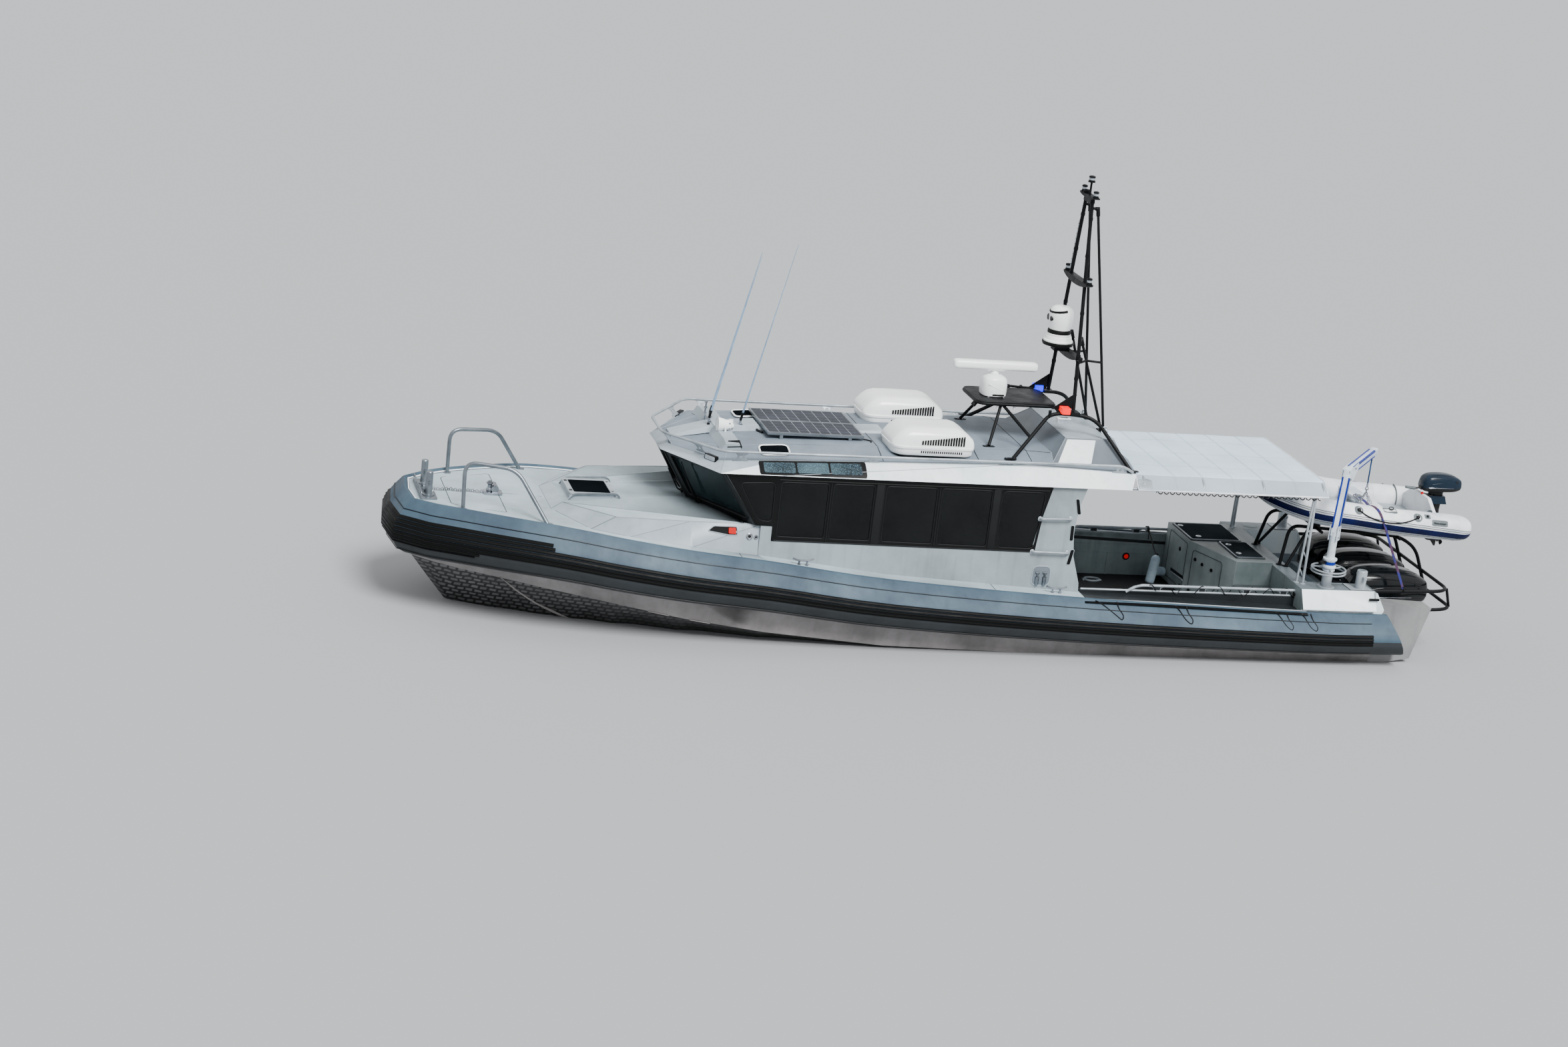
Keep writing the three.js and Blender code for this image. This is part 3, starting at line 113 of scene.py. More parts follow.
def setStage():
    half = stage["floorHalf"]
    mesh = bpy.data.meshes.new("studioFloor")
    mesh.from_pydata([(-half, -half, 0), (half, -half, 0), (half, half, 0), (-half, half, 0)], [],
        [(0, 1, 2, 3)])
    floor = newObject("studioFloor", mesh)
    mat = bpy.data.materials.new("floorPaper")
    mat.use_nodes = True
    paper = {"Base Color": (*stage["floorTone"], 1), "Roughness": 0.9}
    feed(mat.node_tree, mat.node_tree.nodes["Principled BSDF"], paper)
    mesh.materials.append(mat)
    world = bpy.data.worlds.new("softSky")
    bpy.context.scene.world = world
    world.use_nodes = True
    tree = world.node_tree
    place = addNode(tree, "TexCoord").outputs["Generated"]
    height = addNode(tree, "SeparateXYZ", {0: place}).outputs["Z"]
    spread = addNode(tree, "MapRange", {"Value": height, "From Min": -1}).outputs["Result"]
    ramp = addNode(tree, "ValToRGB", {"Fac": spread})
    for stop, (position, colour) in zip(ramp.color_ramp.elements, stage["sky"]):
        stop.position = position
        stop.color = colour
    feed(tree, tree.nodes["Background"], {"Color": ramp.outputs["Color"], "Strength": stage["skyStrength"]})
    sun = bpy.data.lights.new("softKey", "SUN")
    sun.energy = stage["keyStrength"]
    sun.angle = math.radians(stage["sunSpread"])
    key = newObject("softKey", sun)
    key.rotation_euler = Vector(stage["sun"]).to_track_quat("Z", "Y").to_euler()


placeCamera()
setStage()
print("camera, floor and light set")


def flipped(points):
    return [Vector((p[0], -p[1], p[2])) for p in points]


def sided(points, side):
    return [(x, side * y, z) for x, y, z in points]


# Four corners, also used as the profile of a disc and the section of a flat bar
def oblong(a0, a1, b0, b1):
    return [(a0, b0), (a1, b0), (a1, b1), (a0, b1)]


def flange(radius, rise, tip, shoulder, top):
    return [(0, 0), (radius, 0), (radius, rise), (tip, shoulder), (0, top)]


def circle(a, b, radius, sides, height=0):
    turns = [2 * math.pi * k / sides for k in range(sides)]
    return [(a + radius * math.cos(turn), b + radius * math.sin(turn), height) for turn in turns]


def rounded(path, bend, steps):
    points = [Vector(p) for p in path]
    if not bend:
        return points
    out = [points[0]]
    for before, corner, after in zip(points, points[1:], points[2:]):
        back, ahead = before - corner, after - corner
        reach = min(bend, back.length * 0.48, ahead.length * 0.48)
        start = corner + back.normalized() * reach
        end = corner + ahead.normalized() * reach
        for k in range(steps + 1):
            t = k / steps
            out.append(start * (1 - t) ** 2 + corner * 2 * t * (1 - t) + end * t ** 2)
    out.append(points[-1])
    return out


def corners(outline, radius, steps=4):
    closed = [*outline, outline[0], outline[1]]
    return [tuple(p) for p in rounded([(a, b, 0) for a, b in closed], radius, steps)[1:-1]]


# Shapes are drawn into a bmesh as rows of points, then made a piece that rides on a body
def addRings(bm, rings, material=0, loop=False):
    rows = [[bm.verts.new(p) for p in ring] for ring in rings]
    pairs = list(zip(rows, rows[1:]))
    if loop:
        pairs.append((rows[-1], rows[0]))
    for low, high in pairs:
        count = max(len(low), len(high))
        for i in range(count):
            j = (i + 1) % count
            around = [low[i % len(low)], low[j % len(low)], high[j % len(high)], high[i % len(high)]]
            different = [v for k, v in enumerate(around) if v not in around[:k]]
            bm.faces.new(different).material_index = material
    if not loop:
        for row in (rows[0], rows[-1]):
            if len(row) > 2:
                bm.faces.new(row).material_index = material


# Round bar along a path; section may be a list of (across, up) points in place of a circle
def addTube(bm, path, radius, sides=12, material=0, bend=0, loop=False, section=None, taper=None, up=None,
        steps=5):
    points = rounded(path, bend, steps)
    section = section or circle(0, 0, 1, sides)
    count = len(points)
    headings = []
    for i in range(count):
        before = points[i] - points[i - 1] if i or loop else points[1] - points[0]
        after = points[(i + 1) % count] - points[i] if i < count - 1 or loop else before
        headings.append((before.normalized(), after.normalized()))
    side = None
    rings = []
    for i, (before, after) in enumerate(headings):
        if up is not None:
            side = Vector(up).cross(before).normalized()
        elif side is None:
            seed = zenith if abs(before.z) < 0.9 else Vector((1, 0, 0))
            side = seed.cross(before).normalized()
        rise = before.cross(side).normalized()
        mitre = (before + after).normalized()
        size = radius * (taper[0] + (taper[1] - taper[0]) * i / (count - 1) if taper else 1)
        ring = []
        for a, b, *_ in section:
            offset = side * a * size + rise * b * size
            offset -= before * (offset.dot(mitre) / before.dot(mitre))
            ring.append(points[i] + offset)
        rings.append(ring)
        side = before.rotation_difference(after) @ side
    addRings(bm, rings, material, loop)


# Form turned round an axis from a profile of (radius, height)
def addTurned(bm, profile, place, sides=24, material=0, axis=(0, 0, 1), loop=False):
    turn = zenith.rotation_difference(Vector(axis))
    rings = []
    for radius, height in profile:
        ring = circle(0, 0, radius, sides, height) if radius > 0.000001 else [(0, 0, height)]
        rings.append([Vector(place) + turn @ Vector(p) for p in ring])
    addRings(bm, rings, material, loop)


def addRing(bm, place, axis, radius, thick, sides=32, material=0):
    turn = zenith.rotation_difference(Vector(axis))
    path = [Vector(place) + turn @ Vector(p) for p in circle(0, 0, radius, sides)]
    addTube(bm, path, thick, 8, material, loop=True)


def addLoop(bm, points, size, material=0, sides=8):
    addTube(bm, points, size, sides, material, loop=True)


def addBox(bm, low, high, material=0, inset=0):
    (x0, y0, z0), (x1, y1, z1) = low, high
    levels = [(z0, 0), (z1, inset)]
    addRings(bm, [[(x, y, z) for x, y in oblong(x0 + d, x1 - d, y0 + d, y1 - d)] for z, d in levels],
        material)


# Points of a flat or bent patch, raised into a thin solid
def addPatch(bm, points, outward, thick, material=0, sunk=0.003):
    lift = Vector(outward).normalized()
    low = [Vector(p) - lift * sunk for p in points]
    high = [Vector(p) + lift * thick for p in points]
    addRings(bm, [low, high], material)


# Flat plate with holes, drawn as outlines of (u, v), then set in place by three directions
def addPlate(bm, outline, holes, thick, origin, across, upward, outward, material=0, edge=0.0):
    data = bpy.data.curves.new("plate", "CURVE")
    data.dimensions = "2D"
    data.fill_mode = "BOTH"
    data.extrude = max(thick / 2 - edge, 0.0001)
    data.bevel_depth = edge
    data.bevel_resolution = 1
    for points in [outline, *holes]:
        spline = data.splines.new("POLY")
        spline.points.add(len(points) - 1)
        for target, point in zip(spline.points, points):
            target.co = (point[0], point[1], 0, 1)
        spline.use_cyclic_u = True
    holder = bpy.data.objects.new("plate", data)
    mesh = bpy.data.meshes.new_from_object(holder)
    outward = Vector(outward).normalized()
    turn = Matrix((across, upward, outward)).transposed().to_4x4()
    mesh.transform(Matrix.Translation(Vector(origin) + outward * (thick / 2)) @ turn)
    for face in mesh.polygons:
        face.material_index = material
    bm.from_mesh(mesh)
    bpy.data.objects.remove(holder)
    bpy.data.curves.remove(data)
    bpy.data.meshes.remove(mesh)


def addLevel(bm, outline, place, thick, edge=0.0, material=0, holes=()):
    addPlate(bm, outline, holes, thick, place, (1, 0, 0), (0, 1, 0), (0, 0, 1), material, edge)


def addMirror(bm):
    copy = bmesh.ops.duplicate(bm, geom=bm.verts[:] + bm.edges[:] + bm.faces[:])["geom"]
    for item in copy:
        if isinstance(item, bmesh.types.BMVert):
            item.co.y = -item.co.y
    bmesh.ops.reverse_faces(bm, faces=[f for f in copy if isinstance(f, bmesh.types.BMFace)])


# A node's own mesh as a bmesh with whole faces, to be finished as a piece
def cadShape(name):
    bm = bmesh.new()
    bm.from_mesh(nodes[name].data)
    bmesh.ops.remove_doubles(bm, verts=bm.verts, dist=0.00003)
    bmesh.ops.dissolve_limit(bm, angle_limit=math.radians(0.4), verts=bm.verts, edges=bm.edges)
    for face in bm.faces:
        face.material_index = 0
    return bm


# A point dropped onto a node's surface along a direction, then lifted
def landed(surface, point, toward, lift):
    away = Vector(toward).normalized()
    spot = surface.ray_cast(Vector(point) + away * 0.12, -away)[0]
    return (spot or Vector(point)) + away * lift


# Weld beads along the folds of a node's plates
def addWelds(bm, name, size, keep, material=0):
    plates = cadShape(name)
    for edge in plates.edges:
        low, high = (v.co.copy() for v in edge.verts)
        folded = edge.calc_face_angle(0) > math.radians(9) and (high - low).length > 0.12
        if folded and keep((low + high) / 2):
            addTube(bm, [low, high], size, 5, material)
    plates.free()


def paintFaces(bm, rule):
    bm.normal_update()
    for face in bm.faces:
        face.material_index = rule(face.calc_center_median(), face.normal)


def smoothMesh(mesh, angle):
    mesh.polygons.foreach_set("use_smooth", [True] * len(mesh.polygons))
    mesh.set_sharp_from_angle(angle=math.radians(angle))


# The drawn bmesh as a piece: looks names its finishes in the order of their material numbers
def piece(name, bm, body, looks, replaced=(), smooth=35, bevel=0, mirror=False, turnOut=True):
    if mirror:
        addMirror(bm)
    if turnOut:
        bmesh.ops.remove_doubles(bm, verts=bm.verts, dist=0.000001)
        bmesh.ops.recalc_face_normals(bm, faces=bm.faces)
    mesh = bpy.data.meshes.new(name)
    bm.to_mesh(mesh)
    bm.free()
    for look in looks.split():
        mesh.materials.append(finish[look])
    smoothMesh(mesh, smooth)
    obj = newObject(name, mesh)
    if bevel:
        edge = obj.modifiers.new("softEdge", "BEVEL")
        edge.width = bevel
        edge.segments = 2
        edge.limit_method = "ANGLE"
        edge.angle_limit = math.radians(30)
        edge.use_clamp_overlap = False
        edge.harden_normals = True
    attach(obj, body)
    if replaced:
        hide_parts(*([replaced] if isinstance(replaced, str) else replaced))
    return obj


# A Geometry Nodes tree with the sockets it is given, and the outputs of its input node
def newTree(name, sockets):
    tree = bpy.data.node_groups.new(name, "GeometryNodeTree")
    tree.interface.new_socket("Geometry", in_out="INPUT", socket_type="NodeSocketGeometry")
    for label, kind, start in sockets:
        tree.interface.new_socket(
            label, in_out="INPUT", socket_type="NodeSocket" + kind).default_value = start
    tree.interface.new_socket("Geometry", in_out="OUTPUT", socket_type="NodeSocketGeometry")
    return tree, addNode(tree, "NodeGroupInput").outputs


# One small shape copied to the points of an object, which then becomes a plain mesh piece
def copyPiece(obj, tree, inputs, look, body):
    copies = addNode(tree, "GeometryNodeInstanceOnPoints", inputs).outputs["Instances"]
    real = addNode(tree, "GeometryNodeRealizeInstances", {"Geometry": copies}).outputs["Geometry"]
    dressed = addNode(tree, "GeometryNodeSetMaterial", {"Geometry": real, "Material": finish[look]})
    addNode(tree, "NodeGroupOutput", {0: dressed.outputs["Geometry"]})
    modifier = obj.modifiers.new("maker", "NODES")
    modifier.node_group = tree
    bpy.context.view_layer.update()
    made = bpy.data.meshes.new_from_object(obj.evaluated_get(bpy.context.evaluated_depsgraph_get()))
    obj.modifiers.remove(modifier)
    old = obj.data
    obj.data = made
    bpy.data.meshes.remove(old)
    made.name = obj.name
    smoothMesh(made, 35)
    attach(obj, body)


# Wire rings at many places, each with an axis of its own
def scatterRings(name, body, look, spots, radius, thick):
    mesh = bpy.data.meshes.new(name)
    mesh.from_pydata([p for p, _ in spots], [], [])
    aim = mesh.attributes.new("aim", "FLOAT_VECTOR", "POINT")
    aim.data.foreach_set("vector", [c for _, direction in spots for c in direction])
    obj = newObject(name, mesh)
    tree, given = newTree(name, [("radius", "Float", radius), ("thick", "Float", thick)])
    ring, wire = (addNode(tree, "GeometryNodeCurvePrimitiveCircle",
        {"Resolution": count, "Radius": given[size]}) for count, size in ((16, "radius"), (6, "thick")))
    sweep = addNode(tree, "GeometryNodeCurveToMesh", {"Curve": ring.outputs["Curve"],
        "Profile Curve": wire.outputs["Curve"]}).outputs["Mesh"]
    aimed = addNode(tree, "GeometryNodeInputNamedAttribute", {"Name": "aim"}, data_type="FLOAT_VECTOR")
    turn = addNode(tree, "FunctionNodeAlignRotationToVector", {"Vector": aimed.outputs["Attribute"]},
        axis="Z")
    inputs = {"Points": given["Geometry"], "Instance": sweep, "Rotation": turn.outputs["Rotation"]}
    copyPiece(obj, tree, inputs, look, body)


# Materials read Object coordinates. Tones are what the eye sees, from 0 to 255: the view's curve
# and the strength of the light turn each into paint.
viewCurve = [(0, 0.002), (20, 0.006), (52, 0.02), (82, 0.05), (130, 0.18), (183, 0.5), (213, 1.0),
    (235, 2.0), (256, 3.4)]
lightLevel = 2.3
finish = {}


def tone(red, green, blue):
    paint = []
    for value in (red, green, blue):
        for (start, low), (end, high) in zip(viewCurve, viewCurve[1:]):
            if start <= value < end:
                share = (value - start) / (end - start)
                paint.append(min(0.88, low * (high / low) ** share / lightLevel))
    return (*paint, 1)


def newFinish(name):
    mat = bpy.data.materials.new(name)
    mat.use_nodes = True
    finish[name] = mat
    tree = mat.node_tree
    return tree, tree.nodes["Principled BSDF"], addNode(tree, "TexCoord").outputs["Object"]


def blendTones(tree, factor, first, second, kind="MIX"):
    inputs = {0: factor, 6: first, 7: second}
    return addNode(tree, "Mix", inputs, data_type="RGBA", blend_type=kind).outputs[2]


def between(tree, value, low, high, start=0.0, end=1.0):
    return addNode(tree, "MapRange", {"Value": value, "From Min": low, "From Max": high, "To Min": start,
        "To Max": end}).outputs["Result"]


def noise(tree, place, scale, detail, rough=0.5):
    return addNode(tree, "TexNoise", {"Vector": place, "Scale": scale, "Detail": detail,
        "Roughness": rough}).outputs[0]


def wave(tree, place, scale, direction, bend=0.0):
    return addNode(tree, "TexWave", {"Vector": place, "Scale": scale, "Distortion": bend},
        bands_direction=direction).outputs[1]


def bumped(tree, height, strength, depth, **settings):
    return addNode(tree, "Bump", {"Height": height, "Strength": strength, "Distance": depth},
        **settings).outputs[0]


# A painted, moulded or metal surface: broad tone changes, fine grain, run marks and uneven gloss
def surface(name, light, dark, patch=0.9, grain=160, relief=0.15, gloss=(0.35, 0.5), metal=0, coat=0,
        runs=0.0, depth=0.002, shine=0.5):
    tree, shader, place = newFinish(name)
    cloud = noise(tree, place, patch, 7, 0.62)
    speck = noise(tree, place, grain, 3)
    colour = blendTones(tree, between(tree, cloud, 0.34, 0.68), tone(*light), tone(*dark))
    colour = blendTones(tree, between(tree, speck, 0.3, 0.7, 0.0, 0.22), colour, tone(*dark))
    if runs:
        stretch = addNode(tree, "Mapping", {"Vector": place, "Scale": (7, 7, 0.7)}).outputs[0]
        mark = noise(tree, stretch, 1.4, 5)
        stain = blendTones(tree, 0.55, tone(*dark), tone(70, 72, 70), "MULTIPLY")
        colour = blendTones(tree, between(tree, mark, 0.52, 0.78, 0.0, runs), colour, stain)
    feed(tree, shader, {"Base Color": colour, "Normal": bumped(tree, speck, relief, depth),
        "Roughness": between(tree, cloud, 0.3, 0.7, *gloss), "Metallic": metal, "Coat Weight": coat,
        "Specular IOR Level": shine})


# Moulded-in grip: fine round studs over a worn deck tone
def gripFinish(name, light, dark, pitch=0.011, strength=0.5):
    tree, shader, place = newFinish(name)
    cloud = noise(tree, place, 1.1, 8, 0.65)
    studs = addNode(tree, "TexVoronoi", {"Vector": place, "Scale": 1 / pitch}).outputs["Distance"]
    colour = blendTones(tree, between(tree, cloud, 0.32, 0.7), tone(*light), tone(*dark))
    colour = blendTones(tree, between(tree, studs, 0.1, 0.6, 0.0, 0.25), colour, tone(*dark))
    bump = bumped(tree, studs, strength, 0.002, invert=True)
    feed(tree, shader, {"Base Color": colour, "Normal": bump, "Roughness": 0.62})


# Dark bottom paint with staggered paler patches: painted reflections of a wet hull, stronger towards the
# bow
def bottomFinish(name):
    tree, shader, place = newFinish(name)
    turn = addNode(tree, "Mapping", {"Vector": place, "Rotation": (math.radians(90), 0, 0)}).outputs[0]
    sway = addNode(tree, "TexNoise", {"Vector": place, "Scale": 5, "Detail": 2}).outputs[1]
    bent = addNode(tree, "VectorMath", {0: sway, 1: (0.05, 0.05, 0.05)}, operation="MULTIPLY").outputs[0]
    moved = addNode(tree, "VectorMath", {0: turn, 1: bent}, operation="ADD").outputs[0]
    bricks = addNode(tree, "TexBrick", {"Vector": moved, "Color1": (0.9, 0.9, 0.9, 1),
        "Color2": (0.55, 0.55, 0.55, 1), "Mortar": (0, 0, 0, 1), "Scale": 1.0, "Mortar Size": 0.02,
        "Mortar Smooth": 0.6, "Brick Width": 0.1, "Row Height": 0.066}).outputs[0]
    along = addNode(tree, "SeparateXYZ", {"Vector": place}).outputs["X"]
    # Painted reflections: the paler patches grow towards the bow
    ahead = between(tree, along, 2.6, 5.4, 0.25, 1.0)
    weight = addNode(tree, "Math", {0: bricks, 1: ahead}, operation="MULTIPLY").outputs[0]
    colour = blendTones(tree, weight, tone(16, 16, 17), tone(158, 158, 159))
    feed(tree, shader, {"Base Color": colour, "Normal": bumped(tree, bricks, 0.3, 0.003),
        "Roughness": 0.36})


def glassFinish(name, colour, clear, haze=0.03, shine=0.16):
    tree, shader, place = newFinish(name)
    drops = noise(tree, place, 90, 4)
    depth = noise(tree, place, 2.2, 5)
    deep, pale = (tone(*(value * share for value in colour)) for share in (0.62, 1.5))
    dim = blendTones(tree, between(tree, depth, 0.35, 0.68), tone(*colour), deep)
    seen = blendTones(tree, between(tree, drops, 0.5, 0.72, 0.0, 0.5), dim, pale)
    feed(tree, shader, {"Base Color": seen, "Roughness": between(tree, drops, 0.4, 0.75, haze, haze + 0.1),
        "Specular IOR Level": shine, "Alpha": 1 - clear})


def lensFinish(name, colour, glow):
    tree, shader, place = newFinish(name)
    ribs = wave(tree, place, 22, "X", 0.4)
    feed(tree, shader, {"Normal": bumped(tree, ribs, 0.4, 0.003), "Base Color": tone(*colour),
        "Roughness": 0.15, "Emission Color": tone(*colour), "Emission Strength": glow})


# Coated cloth: crossed threads, soft dirt in broad patches
def clothFinish(name, light, dark, threads=420):
    tree, shader, place = newFinish(name)
    warp, weft = (wave(tree, place, threads / 6.28, direction) for direction in "XY")
    weave = addNode(tree, "Math", {0: warp, 1: weft}, operation="MULTIPLY").outputs[0]
    cloud = noise(tree, place, 1.3, 7, 0.6)
    colour = blendTones(tree, between(tree, cloud, 0.3, 0.72, 0.0, 0.5), tone(*light), tone(*dark))
    colour = blendTones(tree, between(tree, weave, 0.0, 1.0, 0.12, 0.0), colour, tone(*dark))
    feed(tree, shader, {"Base Color": colour, "Normal": bumped(tree, weave, 0.25, 0.0008),
        "Roughness": 0.75, "Sheen Weight": 0.15})


# Two-tone webbing with ribs across it
def webFinish(name):
    tree, shader, place = newFinish(name)
    ribs = wave(tree, place, 60, "Z", 0.3)
    mottle = noise(tree, place, 9, 1)
    colour = blendTones(tree, between(tree, mottle, 0.46, 0.54), tone(34, 44, 150), tone(104, 52, 104))
    feed(tree, shader, {"Base Color": colour, "Normal": bumped(tree, ribs, 0.4, 0.001), "Roughness": 0.7})


gripFinish("deckGrip", (210, 217, 220), (186, 195, 198))
gripFinish("roofGrip", (180, 190, 198), (144, 155, 164))
gripFinish("soleGrip", (38, 42, 48), (24, 27, 31), pitch=0.016, strength=0.9)
surface("greyPaint", (203, 210, 214), (182, 190, 195), runs=0.2)
surface("whitePaint", (242, 246, 247), (222, 228, 230), runs=0.25)
surface("sidePaint", (194, 202, 205), (174, 182, 185), patch=1.4, runs=0.3)
surface("podPaint", (188, 188, 188), (152, 154, 155), runs=0.4)
surface("chinePaint", (196, 193, 193), (156, 154, 154), patch=1.6, gloss=(0.3, 0.45), runs=0.2)
bottomFinish("bottomPaint")
surface("cockpitPaint", (192, 201, 202), (168, 178, 180), patch=2.2, runs=0.4, gloss=(0.4, 0.6))
surface("lockerPaint", (168, 176, 175), (144, 153, 153), patch=2.0, runs=0.3)
surface("lidPaint", (92, 100, 104), (72, 80, 85), patch=3, gloss=(0.45, 0.6), shine=0.0)
surface("collarSkin", (114, 138, 154), (88, 110, 126), patch=1.3, grain=260, relief=0.3, gloss=(0.45, 0.65),
    runs=0.3, shine=0.3)
surface("bandRubber", (15, 16, 17), (8, 9, 9), patch=4, grain=300, relief=0.3, gloss=(0.4, 0.6), shine=0.1)
surface("blackTrim", (19, 20, 22), (10, 11, 12), patch=5, grain=220, relief=0.1, gloss=(0.35, 0.5),
    shine=0.18)
surface("frameDark", (44, 48, 50), (30, 33, 35), patch=5, grain=220, relief=0.1, gloss=(0.3, 0.45),
    shine=0.25)
surface("blackCoat", (40, 44, 47), (22, 25, 27), patch=5, grain=300, relief=0.25, gloss=(0.32, 0.55),
    depth=0.001, shine=0.12)
surface("bareMetal", (184, 190, 195), (144, 152, 158), patch=3, grain=320, relief=0.08, gloss=(0.22, 0.4),
    metal=0.7, depth=0.0008)
surface("railPaint", (206, 211, 214), (172, 180, 185), patch=3, grain=260, relief=0.08, gloss=(0.28, 0.42),
    metal=0.2)
surface("whitePlastic", (247, 248, 249), (234, 236, 238), patch=1.5, grain=400, relief=0.06,
    gloss=(0.22, 0.34), coat=0.3)
surface("engineGloss", (30, 38, 43), (17, 22, 26), patch=3, grain=500, relief=0.02, gloss=(0.1, 0.2),
    coat=0.1, shine=0.3)
surface("engineMatt", (38, 41, 43), (22, 24, 26), patch=4, grain=300, relief=0.15, gloss=(0.4, 0.55),
    shine=0.3)
surface("steel", (220, 222, 225), (158, 162, 167), patch=6, grain=400, relief=0.05, gloss=(0.15, 0.3),
    metal=1.0, depth=0.0005)
surface("tenderSkin", (236, 238, 241), (212, 216, 220), patch=2.0, grain=350, relief=0.12,
    gloss=(0.4, 0.55))
surface("tenderStripe", (14, 42, 118), (8, 26, 82), patch=3, grain=350, relief=0.12, gloss=(0.4, 0.55),
    shine=0.15)
surface("tenderPatch", (152, 161, 164), (124, 133, 136), patch=6, grain=300, relief=0.3, gloss=(0.55, 0.7))
surface("tenderEngine", (38, 70, 94), (24, 50, 70), patch=4, grain=400, relief=0.05, gloss=(0.15, 0.28),
    shine=0.25)
surface("davitSilver", (232, 236, 239), (206, 212, 219), patch=3, grain=260, relief=0.1, gloss=(0.28, 0.42),
    metal=0.1)
surface("davitBlue", (20, 84, 196), (10, 56, 150), patch=6, grain=260, relief=0.1, gloss=(0.3, 0.45),
    shine=0.3)
surface("fenderVinyl", (226, 234, 240), (200, 211, 219), patch=4, grain=300, relief=0.12, gloss=(0.35, 0.5))
surface("seatTrim", (104, 114, 116), (78, 87, 90), patch=4, grain=500, relief=0.5, gloss=(0.5, 0.65))
clothFinish("strapWeb", (28, 28, 30), (14, 14, 15), threads=1400)
clothFinish("canopyCloth", (222, 230, 236), (196, 205, 212))
surface("fallRope", (24, 112, 164), (14, 76, 118), patch=8, grain=240, relief=0.6, gloss=(0.6, 0.75),
    shine=0.2)
# Darker copy of the locker paint: painted shade on the locker's port face
surface("lockerFace", (152, 163, 165), (122, 134, 136), patch=2.0, runs=0.25)
surface("tenderFloor", (202, 208, 212), (166, 174, 179), patch=2.4, grain=200, relief=0.3,
    gloss=(0.5, 0.65))
webFinish("lashingWeb")
glassFinish("darkGlass", (38, 42, 44), 0.06)
glassFinish("paleGlass", (112, 130, 138), 0.0, 0.06)
surface("whipBlue", (186, 206, 220), (160, 184, 202), patch=5, gloss=(0.3, 0.4))
lensFinish("redLens", (222, 14, 10), 2.2)
lensFinish("blueLens", (14, 48, 232), 2.4)
# Glowing red, for the red lamps and, as painted glow, the knob on the tender's engine
lensFinish("redLamp", (206, 18, 14), 0.8)
lensFinish("greenLamp", (20, 170, 90), 0.8)
surface("solarCell", (58, 70, 90), (42, 52, 71), patch=3, grain=500, relief=0.02, gloss=(0.2, 0.3),
    shine=0.06)
surface("solarBack", (212, 217, 222), (190, 196, 202), patch=6, gloss=(0.1, 0.18), coat=0.4)
# Darker grey: weld beads on the deck, and painted shade on the roof hump's sides and in the cabin side
# recess
surface("ridgePaint", (156, 166, 174), (130, 140, 148), patch=1.2)
surface("sternPaint", (160, 171, 176), (132, 144, 150), patch=1.3, runs=0.3)
# Lighter copy of the locker paint: painted light on the locker's forward face
surface("lockerFront", (206, 212, 213), (182, 190, 191), patch=1.8, runs=0.3)
# Dark grey of the side deck and gunwale, also painted shade inside the hatch opening
surface("gunwalePaint", (66, 74, 78), (46, 53, 57), patch=3, shine=0.35)
# Darker copy of the collar skin: painted shade for the collar's downward faces
surface("collarUnder", (70, 80, 87), (48, 57, 63), patch=1.6, grain=260, relief=0.3, gloss=(0.5, 0.7))
glassFinish("screenGlass", (72, 90, 95), 0.12, shine=0.25)
# Darker copy of the canopy cloth: painted shade on the canopy's sides and seams
clothFinish("canopySide", (206, 213, 218), (182, 190, 197))
glassFinish("topGlass", (28, 36, 43), 0.0, shine=0.0)
# Dark copy of the stern paint: painted shade on the stern deck's forward face
surface("panelPaint", (80, 92, 97), (58, 69, 74), patch=2.2, runs=0.3, shine=0.3)
surface("clearLens", (206, 212, 216), (170, 178, 184), patch=8, gloss=(0.05, 0.15), coat=0.5)
print("finishes made:", len(finish))


# Hull lines: x, deck half breadth and height, chine half breadth and height, keel height
hullLines = [
    (-6.0, 1.48, 0.645, 1.4, -0.04, -0.68), (-4.95, 1.49, 0.65, 1.42, -0.04, -0.68),
    (-2.05, 1.5, 0.742, 1.44, -0.02, -0.68), (0.44, 1.5, 0.892, 1.44, 0.04, -0.68),
    (1.95, 1.495, 1.066, 1.42, 0.165, -0.675), (2.91, 1.455, 1.152, 1.37, 0.285, -0.665),
    (3.68, 1.38, 1.238, 1.27, 0.4, -0.63), (4.13, 1.3, 1.292, 1.17, 0.46, -0.575),
    (4.606, 1.19, 1.335, 1.06, 0.52, -0.44), (5.094, 1.01, 1.352, 0.9, 0.575, -0.295),
    (5.553, 0.8, 1.36, 0.7, 0.605, -0.07), (5.84, 0.64, 1.355, 0.52, 0.62, 0.28),
    (6.084, 0.44, 1.35, 0.31, 0.632, 0.612), (6.124, 0.003, 1.35, 0.002, 0.65, 0.64),
]


def lineAt(x, column):
    if x <= hullLines[0][0]:
        return hullLines[0][column]
    for low, high in zip(hullLines, hullLines[1:]):
        if x <= high[0]:
            return low[column] + (high[column] - low[column]) * (x - low[0]) / (high[0] - low[0])
    return hullLines[-1][column]


def deckTop(x):
    return lineAt(x, 2)


def onDeck(x, y):
    return (x, y, deckTop(x) + 0.001)


hullNodes = ("hull", "hull_bow", "hull_side_port", "hull_side_starboard", "hull_stern")


